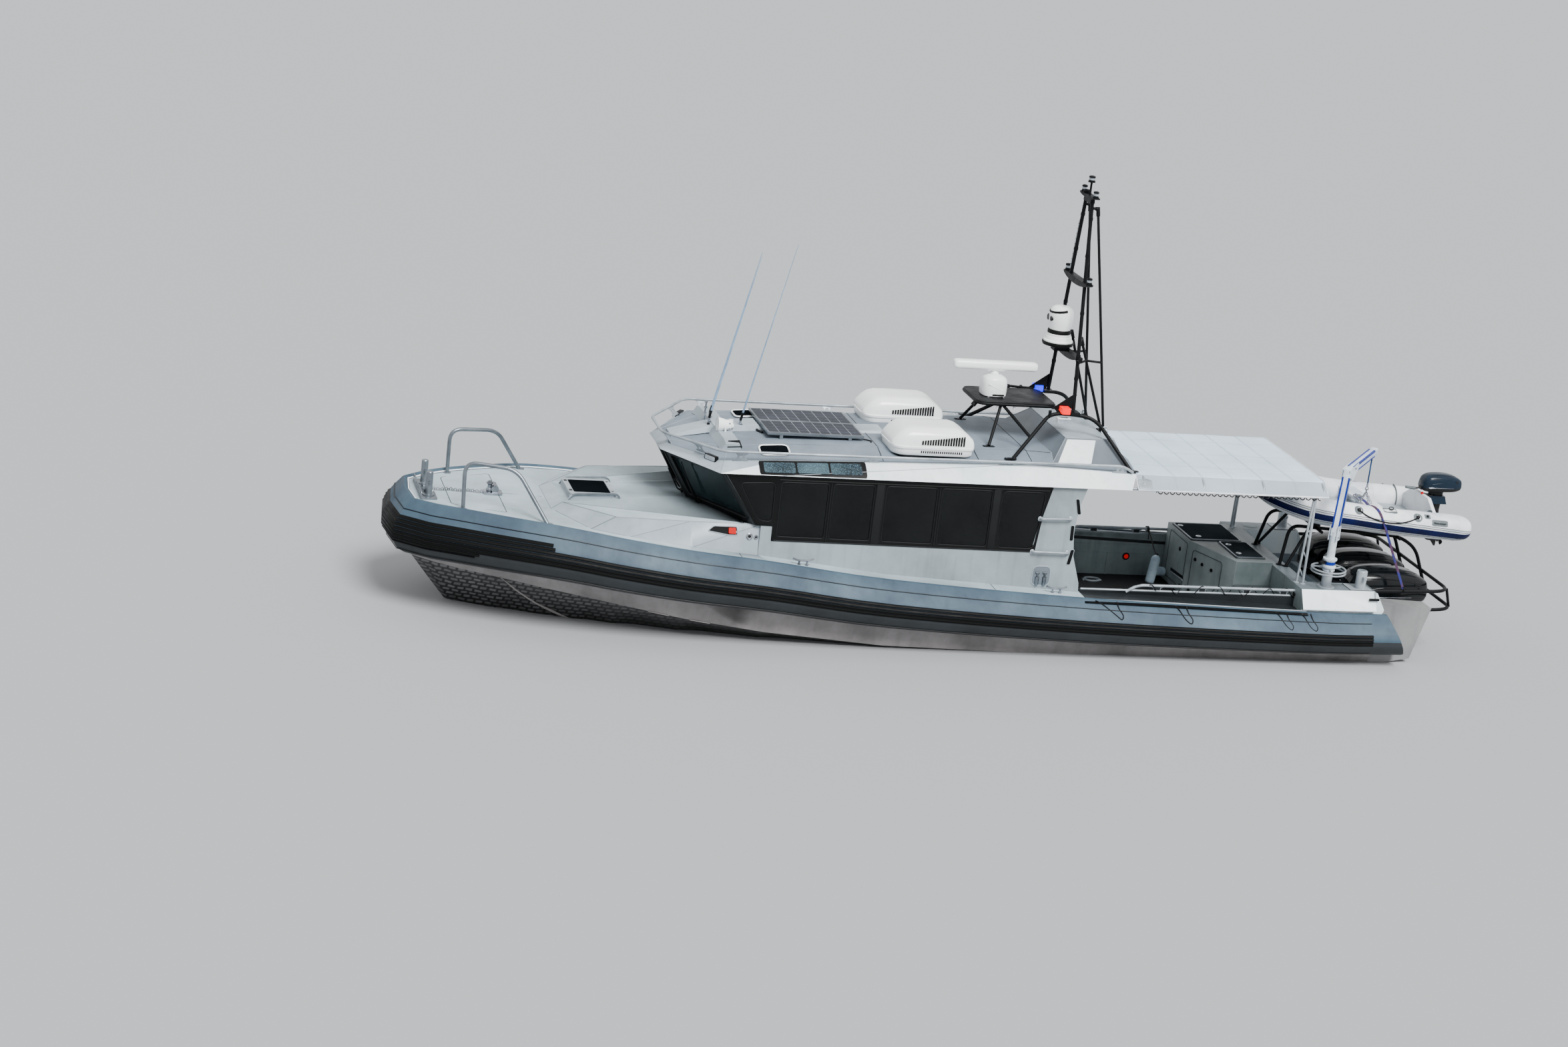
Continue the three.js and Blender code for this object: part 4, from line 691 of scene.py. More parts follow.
# The hull's five plated parts welded into one skin, without the faces between them
def shapeHull():
    bm = bmesh.new()
    for name in hullNodes:
        bm.from_mesh(nodes[name].data)
    bm.normal_update()
    inner = []
    for face in bm.faces:
        x, y, z = face.calc_center_median()
        nx, _, nz = face.normal
        outside = abs(y) > 1.2 or x > 2.3005 or x < -4.9505
        level = abs(z - 0.2) < 0.001 and abs(nz) > 0.99 and outside
        across = abs(nx) > 0.99 and z > 0.2 and abs(y) > 1.2 and min(abs(x - 2.3), abs(x + 4.95)) < 0.001
        if level or across:
            inner.append(face)
    bmesh.ops.delete(bm, geom=inner, context="FACES")
    bmesh.ops.remove_doubles(bm, verts=bm.verts, dist=0.0005)
    bmesh.ops.dissolve_limit(bm, angle_limit=math.radians(0.4), verts=bm.verts, edges=bm.edges)
    bm.normal_update()
    for face in bm.faces:
        x, y, z = face.calc_center_median()
        below = all(v.co.z < lineAt(v.co.x, 4) + 0.006 for v in face.verts)
        if z > 0.195 and abs(y) < 1.2005 and -4.951 < x < 2.301:
            face.material_index = 3 if face.normal.z > 0.9 else 2
        elif x < -5.1 and abs(y) < 1.101 and z > 0.24:
            face.material_index = 4
        elif x < -5.99:
            face.material_index = 5 if z > -0.05 else 1
        else:
            face.material_index = 1 if below else 0
    looks = "chinePaint bottomPaint cockpitPaint soleGrip greyPaint podPaint"
    piece("hullSkin", bm, "boat", looks, hullNodes, smooth=26, turnOut=False)


strake = {"size": 0.017, "points": [(5.09, 0.905, 0.583), (4.96, 0.85, 0.47), (4.859, 0.796, 0.384),
    (4.72, 0.75, 0.285), (4.582, 0.708, 0.195), (4.44, 0.676, 0.12), (4.311, 0.648, 0.058),
    (4.17, 0.62, -0.004), (4.041, 0.599, -0.056)]}


def shapeStrake():
    bm = bmesh.new()
    addTube(bm, strake["points"], strake["size"], 8, taper=(0.5, 1.3))
    for bow in (2.6, 3.1):
        run = [(x, lineAt(x, 3) + 0.004, lineAt(x, 4) - 0.004) for x in (bow, bow + 0.25)]
        addTube(bm, run, 0.004, 6)
    piece("sprayStrake", bm, "boat", "chinePaint", mirror=True)


collar = {
    "section": [(-0.03, -0.07), (0.0, -0.002), (0.06, 0.048), (0.175, -0.08), (0.265, -0.205), (0.3, -0.3),
                (0.3, -0.42), (0.235, -0.545), (0.1, -0.62), (0.0, -0.56)],
    "growth": (0.8, 1.04), "round": 0.03, "sternLean": 0.5, "sternBack": 0.11,
    "seam": (0.1765, -0.0785), "seamSize": 0.0055,
}
# Rib rows on the collar's face: top and bottom below the deck edge, and where each row ends aft
bandRows = [
    (-0.142, -0.181, 4.525), (-0.183, -0.222, 4.5), (-0.224, -0.266, None), (-0.268, -0.31, None),
    (-0.312, -0.354, None), (-0.356, -0.398, None), (-0.4, -0.436, 5.29), (-0.438, -0.462, 5.34),
]
ribShape = {"proud": 0.0135, "round": 0.009, "bed": 0.004}


def smoothLine(points, steps=4):
    out = []
    for i in range(len(points) - 1):
        a, b = points[max(i - 1, 0)], points[i]
        c, d = points[i + 1], points[min(i + 2, len(points) - 1)]
        bend, twist = 2 * a - 5 * b + 4 * c - d, 3 * b - a - 3 * c + d
        for k in range(steps):
            t = k / steps
            out.append(0.5 * (2 * b + (c - a) * t + bend * t * t + twist * t ** 3))
    out.append(points[-1])
    return out


# Deck edge from the stern to the nose: place, outward direction and collar growth
def collarFrames():
    edge = smoothLine([Vector((x, half, sheer)) for x, half, sheer, *_ in hullLines[:-2]])
    edge.append(Vector((6.084, 0.44, 1.35)))
    nose = Vector((6.125, 0, 1.35))
    whole = [*edge, nose]
    frames = []
    for i, p in enumerate(whole):
        before = whole[max(i - 1, 0)]
        after = whole[i + 1] if p is not nose else Vector((6.084, -0.44, 1.35))
        out = Vector((before.y - after.y, after.x - before.x, 0)).normalized()
        grown = collar["growth"][0] + (collar["growth"][1] - collar["growth"][0]) * (p.x + 6) / 12.124
        frames.append((p, out, grown))
    return frames


frames = collarFrames()


def onCollar(frame, reach, drop, rake=0.0):
    p, out, grown = frame
    return Vector((p.x + out.x * reach + rake, p.y + out.y * reach, p.z + drop * grown))


def bothWays(half):
    return [*half, *flipped(reversed(half[:-1]))]


def bothSides(rings):
    return [*rings, *[flipped(ring) for ring in reversed(rings[:-1])]]


def collarReach(drop):
    side = collar["section"][3:8]
    for (r0, z0), (r1, z1) in zip(side, side[1:]):
        if z1 <= drop <= z0:
            return r0 + (r1 - r0) * (drop - z0) / (z1 - z0)
    return side[-1][0]


def shapeCollar():
    section = [(a, b) for a, b, _ in corners(collar["section"], collar["round"], 3)]
    half = []
    for i, place in enumerate(frames):
        ring = []
        for reach, drop in section:
            rake = collar["sternLean"] * drop * place[2] - collar["sternBack"] if i == 0 else 0
            ring.append(onCollar(place, reach, drop, rake))
        half.append(ring)
    bm = bmesh.new()
    addRings(bm, bothSides(half))
    bmesh.ops.recalc_face_normals(bm, faces=bm.faces)
    # Faces of the collar that turn downward take a darker copy of the skin: painted shade under the tube
    paintFaces(bm, lambda centre, normal: 1 if normal.z < 0.05 else 0)
    piece("foamCollar", bm, "boat", "collarSkin collarUnder", replaced="collar", smooth=32)
    bm = bmesh.new()
    for reach, drop in (collar["seam"], (0.236, -0.548)):
        line = [onCollar(place, reach, drop) for place in frames[1:]]
        addTube(bm, bothWays(line), collar["seamSize"], 6)
    edge = [onCollar(place, 0.012, 0.008) for place in frames[1:]]
    addTube(bm, bothWays(edge), 0.009, 6, 1)
    piece("collarSeams", bm, "boat", "blackTrim whitePaint")


def framesFrom(aft):
    if aft is None:
        return frames[1:]
    for i, (low, high) in enumerate(zip(frames, frames[1:])):
        if high[0].x > aft:
            t = (aft - low[0].x) / (high[0].x - low[0].x)
            return [(low[0].lerp(high[0], t), low[1].lerp(high[1], t).normalized(), low[2]),
                *frames[i + 1:]]


def shapeBand():
    bm = bmesh.new()
    for top, bottom, aft in bandRows:
        lip, proud, bed = ribShape["round"], ribShape["proud"], ribShape["bed"]
        section = [(collarReach(top) - bed, top), (collarReach(top) + proud - 0.004, top - lip * 0.6),
            (collarReach(top - lip) + proud, top - lip * 1.6),
            (collarReach(bottom + lip) + proud, bottom + lip * 1.6),
            (collarReach(bottom) + proud - 0.004, bottom + lip * 0.6), (collarReach(bottom) - bed, bottom)]
        half = [[onCollar(place, *spot) for spot in section] for place in framesFrom(aft)]
        addRings(bm, bothSides(half))
    for v in bm.verts:
        v.co.y = max(-1.8138, min(1.8138, v.co.y))
    piece("rubbingBand", bm, "boat", "bandRubber", replaced="rubbing_band", smooth=40)


def shapeDeck():
    bm = cadShape("deck")
    bmesh.ops.bisect_plane(bm, geom=bm.verts[:] + bm.edges[:] + bm.faces[:], plane_co=(-2.07, 0, 0),
        plane_no=(1, 0, 0))

    def look(centre, normal):
        if centre.x < -2.07 and abs(centre.y) > 1.2:
            return 3
        if centre.z > 1.455 and abs(abs(centre.y) - 0.345) < 0.03:
            return 2
        return 0 if normal.z > 0.93 else 1

    paintFaces(bm, look)
    # Deck faces inside the hatch opening take the dark gunwale grey: painted shade in the recess under the
    # lid
    for face in bm.faces:
        if all(abs(v.co.x - 3.95) < 0.265 and abs(v.co.y) < 0.305 for v in face.verts):
            face.material_index = 3
    piece("deckPlate", bm, "boat", "deckGrip greyPaint bareMetal gunwalePaint",
        replaced="deck", smooth=24, turnOut=False)
    bm = bmesh.new()
    flat = oblong(-1, 1, -0.35, 0.35)
    panel = [(5.69, 0), (5.69, 0.55), (5.06, 0.8), (5.06, -0.8), (5.69, -0.55), (5.69, 0)]
    for run, bend in ((panel, 0.06), ([(2.3, 1.26), (2.3, 1.44)], 0), ([(-0.9, 1.26), (-0.9, 1.47)], 0),
            ([(4.52, 0.0), (5.06, 0.0)], 0)):
        addTube(bm, [onDeck(x, y) for x, y in run], 0.0035, bend=bend, section=flat, up=(0, 0, 1))
    addWelds(bm, "deck", 0.0035, lambda p: abs(p.y) < 1.35 and p.x > 1.9
        and not (3.4 < p.x < 4.4 and abs(p.y) < 0.5), 1)
    piece("deckSeams", bm, "boat", "blackTrim ridgePaint")


hatch = {"x": (3.664, 4.236), "half": 0.326, "foot": 1.4525, "top": 1.486, "rim": 0.055}


def shapeHatch():
    x0, x1 = hatch["x"]
    half, rim = hatch["half"], hatch["rim"]
    outer = corners(oblong(x0, x1, -half, half), 0.06)
    glassEdge = oblong(x0 + rim, x1 - rim, -half + rim, half - rim)
    bm = bmesh.new()
    foot = (0, 0, hatch["foot"])
    addLevel(bm, outer, foot, hatch["top"] - hatch["foot"], 0.005, 0, [corners(glassEdge, 0.035)])
    grown = [(a + math.copysign(0.006, a - 3.95), b + math.copysign(0.006, b)) for a, b in glassEdge]
    addLevel(bm, corners(grown, 0.035), foot, 0.026, 0, 1)
    for y in (-0.2, 0.2):
        addTube(bm, [(x0 + 0.028, y, 1.475), (x0 + 0.028, y, 1.486)], 0.018, 16, 2)
        addBox(bm, (x1 - 0.05, y - 0.03, 1.47), (x1 - 0.004, y + 0.03, 1.4895), material=2, inset=0.004)
    piece("hatchLid", bm, "foredeck_hatch", "railPaint topGlass blackTrim",
        replaced="foredeck_hatch")


bow = {
    "hoop": [(5.58, 0.755, 1.34), (5.59, 0.7, 1.93), (4.99, 0.85, 1.9), (4.61, 1.145, 1.31)],
    "hoopSize": 0.024, "bitt": (5.93, 0.244), "windlass": (5.13, 0.04),
        "cleats": [(1.54, 1.4), (-1.72, 1.37)],
}


def addCleat(bm, place, heading, size):
    base, ahead = Vector(place), Vector(heading).normalized()
    for step in (-0.38, 0.38):
        foot = base + ahead * step * size
        addTurned(bm, [(0, 0), (0.16 * size, 0), (0.16 * size, 0.05 * size), (0.09 * size, 0.2 * size),
            (0.1 * size, 0.42 * size), (0, 0.46 * size)], foot, 12)
    horn = [base + ahead * a * size + Vector((0, 0, b * size))
        for a, b in ((-1.0, 0.62), (-0.7, 0.5), (-0.35, 0.44), (0.35, 0.44), (0.7, 0.5), (1.0, 0.62))]
    addTube(bm, horn, 0.095 * size, 10, bend=0.2 * size)


def shapeBow():
    for name, side in (("Port", 1), ("Starboard", -1)):
        bm = bmesh.new()
        run = sided(bow["hoop"], side)
        addTube(bm, run, bow["hoopSize"], 18, bend=0.16, steps=8)
        for x, y, _ in (run[0], run[3]):
            addTurned(bm, flange(0.05, 0.006, 0.034, 0.012, 0.014), (x, y, deckTop(x)), 20)
        piece("bowHoop" + name, bm, "boat", "bareMetal", "bow_hoop_" + name.lower())
    bm = bmesh.new()
    x, y = bow["bitt"]
    addTurned(bm, [(0, 0), (0.075, 0), (0.075, 0.012), (0.046, 0.018), (0.042, 0.03), (0.042, 0.285),
        (0.036, 0.293), (0, 0.295)], (x, y, 1.367), 28)
    addTube(bm, [(x, y - 0.088, 1.545), (x, y - 0.082, 1.545), (x, y + 0.082, 1.545),
        (x, y + 0.088, 1.545)], 0.014, 12)
    addMirror(bm)
    plate = corners(oblong(5.84, 6.04, -0.4, 0.4), 0.03)
    addLevel(bm, plate, (0, 0, 1.3535), 0.016, 0.003)
    upstand = corners([(-0.4, 1.355), (0.4, 1.355), (0.385, 1.445), (-0.385, 1.445)], 0.02)
    hole = [circle(side * spot, 1.41, 0.012, 12) for side in (-1, 1) for spot in (0.1, 0.32)]
    addPlate(bm, upstand, hole, 0.012, (6.026, 0, 0), (0, 1, 0), (0, 0, 1), (1, 0, 0), edge=0.002)
    for side in (-1, 1):
        addCleat(bm, (5.96, side * 0.1, 1.369), (0, 1, 0), 0.05)
    piece("bowBitts", bm, "boat", "bareMetal", replaced="bow_bitts")
    bm = bmesh.new()
    x, y = bow["windlass"]
    base = corners(oblong(x - 0.11, x + 0.11, y - 0.075, y + 0.075), 0.03)
    addLevel(bm, base, (0, 0, 1.354), 0.03, 0.006)
    addTube(bm, [(x - 0.02, y - 0.11, 1.425), (x - 0.02, y - 0.1, 1.425), (x - 0.02, y + 0.06, 1.425),
        (x - 0.02, y + 0.07, 1.425)], 0.046, 22)
    addTurned(bm, [(0, 0), (0.04, 0), (0.042, 0.035), (0.027, 0.05), (0.025, 0.085), (0.043, 0.105),
        (0.04, 0.118), (0, 0.12)], (x + 0.04, y, 1.38), 24)
    addTurned(bm, [(0, 0), (0.02, 0), (0.02, 0.02), (0, 0.024)], (x + 0.04, y, 1.495), 12)
    piece("windlass", bm, "boat", "steel", replaced="windlass")
    bm = bmesh.new()
    for cx, cy in bow["cleats"]:
        addCleat(bm, onDeck(cx, cy), (1, 0, 0), 0.13)
    piece("deckCleats", bm, "boat", "steel", mirror=True)
    links = [((5.24 + 0.026 * k, 0.04 - 0.002 * k + 0.012 * math.sin(k * 0.7), 1.372 + 0.003 * (k % 2)),
        (0, 1, 0.25) if k % 2 else (0, 0.25, 1)) for k in range(24)]
    scatterRings("anchorChain", "boat", "steel", links, 0.017, 0.0045)


shapeHull()
shapeStrake()
shapeCollar()
shapeBand()
shapeDeck()
shapeHatch()
shapeBow()
print("hull, collar and foredeck made")


cabin = {
    "side": 1.2502, "band": [(1.93, 1.262), (1.93, 1.448), (2.132, 1.4505), (2.566, 2.086), (-1.545, 2.086),
                            (-1.455, 1.7), (-1.408, 1.236)],
    "panes": [[(1.873, 1.322), (1.873, 2.002), (1.284, 2.002), (1.284, 1.315)],
              [(1.227, 1.314), (1.227, 2.002), (0.714, 2.002), (0.714, 1.308)],
              [(0.566, 1.306), (0.566, 2.002), (-0.076, 2.002), (-0.076, 1.298)],
              [(-0.134, 1.297), (-0.134, 2.002), (-0.776, 2.002), (-0.776, 1.289)],
              [(-0.904, 1.287), (-0.904, 2.002), (-1.462, 2.002), (-1.388, 1.281)]],
    "quarter": [(2.12, 1.52), (1.943, 1.5), (1.952, 1.992), (2.385, 1.972)],
    "bars": [(0.64, 0.05), (-0.84, 0.045)], "thinBars": [1.256, -0.105],
    "handles": [((-1.43, 1.685), (-1.815, 1.695)), ((-1.38, 1.262), (-1.835, 1.258))],
    "slots": [(-1.897, 1.84, 0.24), (-1.862, 1.5, 0.03), (-1.885, 1.19, -0.17)],
    "recess": [(-1.42, 0.815), (-1.655, 0.815), (-1.65, 1.062), (-1.425, 1.062)],
}


def onSide(points):
    return [(-x, z) for x, z, *_ in points]


def sidePlate(bm, outline, holes, thick, material=0, lift=0.0):
    addPlate(bm, onSide(outline), [onSide(hole) for hole in holes], thick, (0, cabin["side"] + lift, 0),
        (-1, 0, 0), (0, 0, 1), (0, 1, 0), material, 0.001)


def sideLine(points, lift=0.0):
    return [(x, cabin["side"] + lift, z) for x, z, *_ in points]


def shapeCabinWindows():
    panes = [corners(points, 0.045 if i < 4 else 0.085) for i, points in enumerate(cabin["panes"])]
    quarter = corners(cabin["quarter"], 0.07, 6)
    bm = bmesh.new()
    sidePlate(bm, corners(cabin["band"], 0.012, 2), [*panes, quarter], 0.006)
    for i, points in enumerate(cabin["panes"]):
        addLoop(bm, sideLine(corners(points, 0.045 if i < 4 else 0.085, 5), 0.004), 0.006, 1)
    addLoop(bm, sideLine(quarter, 0.004), 0.006, 1)
    for x, half in cabin["bars"]:
        sidePlate(bm, [(x - half, 1.268), (x - half, 2.02), (x + half, 2.02), (x + half, 1.268)], [], 0.004,
            1, 0.006)
        for edge in (-half, half):
            addTube(bm, sideLine([(x + edge, 1.27), (x + edge, 2.018)], 0.009), 0.005, 8, 1)
    lines = [((x, 1.28), (x, 2.01), 0.008) for x in cabin["thinBars"]]
    lines += [((1.9, 1.272), (-1.4, 1.246), 0.006), ((1.9, 2.03), (-1.5, 2.03), 0.006)]
    for low, high, size in lines:
        addTube(bm, sideLine([low, high], size), size, 8, 1)
    piece("windowBand", bm, "boat", "blackTrim frameDark", mirror=True)
    bm = bmesh.new()
    for pane in [*panes, quarter]:
        sidePlate(bm, pane, [], 0.003, 0, -0.0035)
    piece("sideGlass", bm, "boat", "darkGlass", mirror=True)


def shapeCabinSides():
    bm = bmesh.new()
    for (x0, z0), (x1, z1) in cabin["handles"]:
        run = [(x0, 1.245, z0 - 0.02), (x0, 1.298, z0 - 0.004), (x1, 1.298, z1 - 0.004),
            (x1, 1.245, z1 - 0.02)]
        oval = [(math.cos(a / 7 * math.pi), 0.8 * math.sin(a / 7 * math.pi)) for a in range(14)]
        addTube(bm, run, 0.017, bend=0.05, section=oval)
        for x, z in ((x0, z0), (x1, z1)):
            addTurned(bm, flange(0.034, 0.004, 0.022, 0.012, 0.012), (x, 1.2502, z - 0.016), axis=(0, 1, 0))
    piece("sideHandles", bm, "boat", "railPaint", mirror=True)
    bm = bmesh.new()
    for x, z, lean in cabin["slots"]:
        slot = [(x + a + lean * b, z + b) for a, b in ((-0.025, -0.1), (0.025, -0.1), (0.025, 0.1),
            (-0.025, 0.1))]
        sidePlate(bm, corners(slot, 0.022), [], 0.0025, 0)
        addLoop(bm, sideLine(corners(slot, 0.022), 0.001), 0.004, 1)
    # The recess is a flat patch in the darker grey: painted shade inside it
    sidePlate(bm, corners(cabin["recess"], 0.07), [], 0.0025, 3)
    addLoop(bm, sideLine(corners(cabin["recess"], 0.07), 0.001), 0.007, 1)
    for x in (-1.49, -1.585):
        addTube(bm, [(x, 1.262, 0.83), (x, 1.262, 0.93)], 0.024, 14, 2)
        addTube(bm, [(x, 1.262, 0.93), (x, 1.262, 0.99)], 0.011, 12, 2)
        addTube(bm, [(x - 0.03, 1.265, 0.985), (x + 0.03, 1.265, 0.985)], 0.009, 10, 2)
    piece("sideSlots", bm, "boat", "blackTrim greyPaint steel ridgePaint", mirror=True)


deckSkin = BVHTree.FromBMesh(cadShape("deck"))


def trunkSide(x, z, lift=0.0):
    return landed(deckSkin, (x, 1.22, z), (0, 1, 0.1), lift)


def shapeTrunkLights():
    slot = corners([(2.7, 1.345), (2.63, 1.407), (2.35, 1.41), (2.335, 1.31), (2.44, 1.305)], 0.02)
    for name, side, lamp in (("Port", 1, "redLamp"), ("Starboard", -1, "greenLamp")):
        bm = bmesh.new()
        addPatch(bm, [trunkSide(x, z) for x, z, _ in slot], (0, 1, 0.25), 0.002, 0)
        addLoop(bm, [trunkSide(x, z, 0.002) for x, z, _ in slot], 0.006, 1)
        glow = corners([(2.45, 1.325), (2.45, 1.395), (2.365, 1.398), (2.36, 1.322)], 0.012)
        addPatch(bm, [trunkSide(x, z) for x, z, _ in glow], (0, 1, 0.25), 0.02, 2)
        for x, z, size in ((2.19, 1.3, 0.04), (2.11, 1.293, 0.026)):
            addTurned(bm, [(0, 0), (size, 0), (size, 0.008), (size * 0.8, 0.012), (size * 0.75, 0.006),
                (0, 0.006)], trunkSide(x, z), 20, 3, axis=(0, 1, 0.25))
            addTurned(bm, [(0, 0), (size * 0.5, 0), (size * 0.45, 0.012), (0, 0.014)], trunkSide(x, z), 16,
                0, axis=(0, 1, 0.25))
        addTurned(bm, flange(0.045, 0.008, 0.03, 0.012, 0.012), (2.28, 1.13, 1.4445), 24, 3)
        addTurned(bm, [(0, 0), (0.02, 0), (0.018, 0.006), (0, 0.006)], (2.28, 1.13, 1.456), 16, 0)
        if side < 0:
            for vert in bm.verts:
                vert.co.y = -vert.co.y
        piece("sideLight" + name, bm, "boat", f"blackTrim greyPaint {lamp} steel")


screen = {
    "corner": [(2.145, 1.249, 1.449), (2.8, 0.35, 1.504), (3.15, 0.35, 2.089), (2.59, 1.249, 2.089)],
    "centre": [(2.8, 0.35, 1.504), (2.8, -0.35, 1.504), (3.15, -0.35, 2.089), (3.15, 0.35, 2.089)],
    "wipers": {"corner": (0.8, 0.74), "centre": (0.3, 0.22)}, "arm": 0.011, "blade": 0.009,
}


def onScreen(face, u, v, out=0.0):
    a, b, c, d = (Vector(p) for p in screen[face])
    outward = (b - a).cross(d - a).normalized()
    if outward.x < 0:
        outward = -outward
    return a.lerp(b, u).lerp(d.lerp(c, u), v) + outward * out


def addWiper(bm, face):
    foot, head = screen["wipers"][face]
    for step in (-0.012, 0.012):
        run = [onScreen(face, foot + step, 0.045, 0.02), onScreen(face, foot + step, 0.1, 0.05),
            onScreen(face, (foot + head) / 2 + step * 0.4, 0.55, 0.04)]
        addTube(bm, run, screen["arm"] * 0.7, 8, bend=0.05)
    outward = onScreen(face, foot, 0.045, 1) - onScreen(face, foot, 0.045, 0)
    addTurned(bm, [(0, 0), (0.03, 0), (0.028, 0.03), (0, 0.034)], onScreen(face, foot, 0.045, 0.0), 16,
        axis=outward)
    blade = [onScreen(face, foot + (head - foot) * t, 0.12 + 0.76 * t,
        0.017 + 0.014 * math.sin(t * math.pi)) for t in (0, 0.15, 0.3, 0.5, 0.7, 0.85, 1)]
    addTube(bm, blade, screen["blade"], 8)


def shapeScreen():
    bm = bmesh.new()
    addWiper(bm, "corner")
    addMirror(bm)
    addWiper(bm, "centre")
    piece("wipers", bm, "boat", "blackTrim")
    bm = bmesh.new()
    for face, side, sill, lid in (("corner", 0.07, 0.09, 0.93), ("centre", 0.08, 0.09, 0.93)):
        ring = oblong(side, 1 - side, sill, lid)
        addLoop(bm, [onScreen(face, u, v, -0.004) for u, v, _ in corners(ring, 0.05)], 0.008)
        if face == "corner":
            addMirror(bm)
    for y in (0.35, -0.35):
        addTube(bm, [(2.802, y, 1.508), (3.15, y, 2.086)], 0.012, 10)
    piece("screenSeals", bm, "boat", "frameDark")


door = {"pane": (0.245, 1.165, 1.885), "back": -1.8165}


def shapeDoor():
    half, low, high = door["pane"]
    bm = bmesh.new()
    outline = oblong(-half, half, low, high)
    grown = [(a * 1.12, b + (0.03 if b > 1.5 else -0.03)) for a, b in outline]
    place = dict(across=(0, -1, 0), upward=(0, 0, 1), outward=(-1, 0, 0))
    addPlate(bm, corners(grown, 0.06), [corners(outline, 0.05)], 0.008, (door["back"], 0, 0), edge=0.002,
        **place)
    addPlate(bm, corners(outline, 0.05), [], 0.006, (door["back"] + 0.02, 0, 0), material=1, **place)
    for z in (0.5, 1.15, 1.8):
        addBox(bm, (door["back"] - 0.012, 0.29, z - 0.05), (door["back"] + 0.002, 0.36, z + 0.05), 0, 0.002)
        addTube(bm, [(door["back"] - 0.006, 0.365, z - 0.05), (door["back"] - 0.006, 0.365, z + 0.05)],
            0.011, 12)
    piece("doorTrim", bm, "cabin_door", "blackTrim darkGlass")
    bm = bmesh.new()
    for side in (-1, 1):
        outline = oblong(side * 0.5, side * 1.06, 1.27, 1.91)
        grown = [(a + math.copysign(0.035, a - side * 0.78), b + math.copysign(0.035, b - 1.59))
            for a, b in outline]
        addPlate(bm, corners(grown, 0.07), [corners(outline, 0.05)], 0.006, (-1.7805, 0, 0), edge=0.001,
            **place)
        addPlate(bm, corners(outline, 0.05), [], 0.006, (-1.769, 0, 0), material=1, **place)
    piece("bulkheadWindows", bm, "boat", "blackTrim darkGlass")


shapeCabinWindows()
shapeCabinSides()
shapeTrunkLights()
shapeScreen()
shapeDoor()
print("cabin windows, lights and door made")


# Roof edge lines: x, low edge half breadth, then the upper edge and crown as half breadth and height
roofLines = [
    (3.1, 0.35, 0.335, 2.165, 0.25, 2.185), (2.57, 1.3, 1.11, 2.195, 0.75, 2.275),
        (1.9, 1.3, 1.105, 2.225, 0.75, 2.33),
    (-1.23, 1.3, 1.1, 2.31, 0.75, 2.39), (-2.65, 1.29, 1.1, 2.246, 0.75, 2.33),
]


def roofAt(x, column):
    for fore, aft in zip(roofLines, roofLines[1:]):
        if aft[0] <= x <= fore[0]:
            return fore[column] + (aft[column] - fore[column]) * (fore[0] - x) / (fore[0] - aft[0])
    return roofLines[0][column] if x > 0 else roofLines[-1][column]


def onFascia(x, t):
    low, edgeY, edgeZ = 1.3, roofAt(x, 2), roofAt(x, 3)
    return Vector((x, low + (edgeY - low) * t, 2.09 + (edgeZ - 2.09) * t))


def onSlope(x, y, lift=0.0):
    edgeY, edgeZ, crownY, crownZ = (roofAt(x, k) for k in (2, 3, 4, 5))
    reach = abs(y)
    z = crownZ if reach < crownY else crownZ + (edgeZ - crownZ) * (reach - crownY) / (edgeY - crownY)
    return Vector((x, y, z + lift))


roofGear = {
    "ridge": (3.03, 0.36, 0.17, 0.15, 0.07), "crossBox": (2.3, 2.57, 0.86, 0.075),
    "eyebrow": (2.16, 0.835), "panel": [(-1.83, 2.545), (-2.2, 2.545), (-2.07, 2.295), (-1.64, 2.302)],
    "seams": [0.6, -0.62, -1.3], "skylights": [(1.74, 2.1, 0.8, 1.01), (1.8, 2.11, -0.71, -0.42)],
    "floodlight": ((2.735, 0.865), (2.625, 1.055)),
}


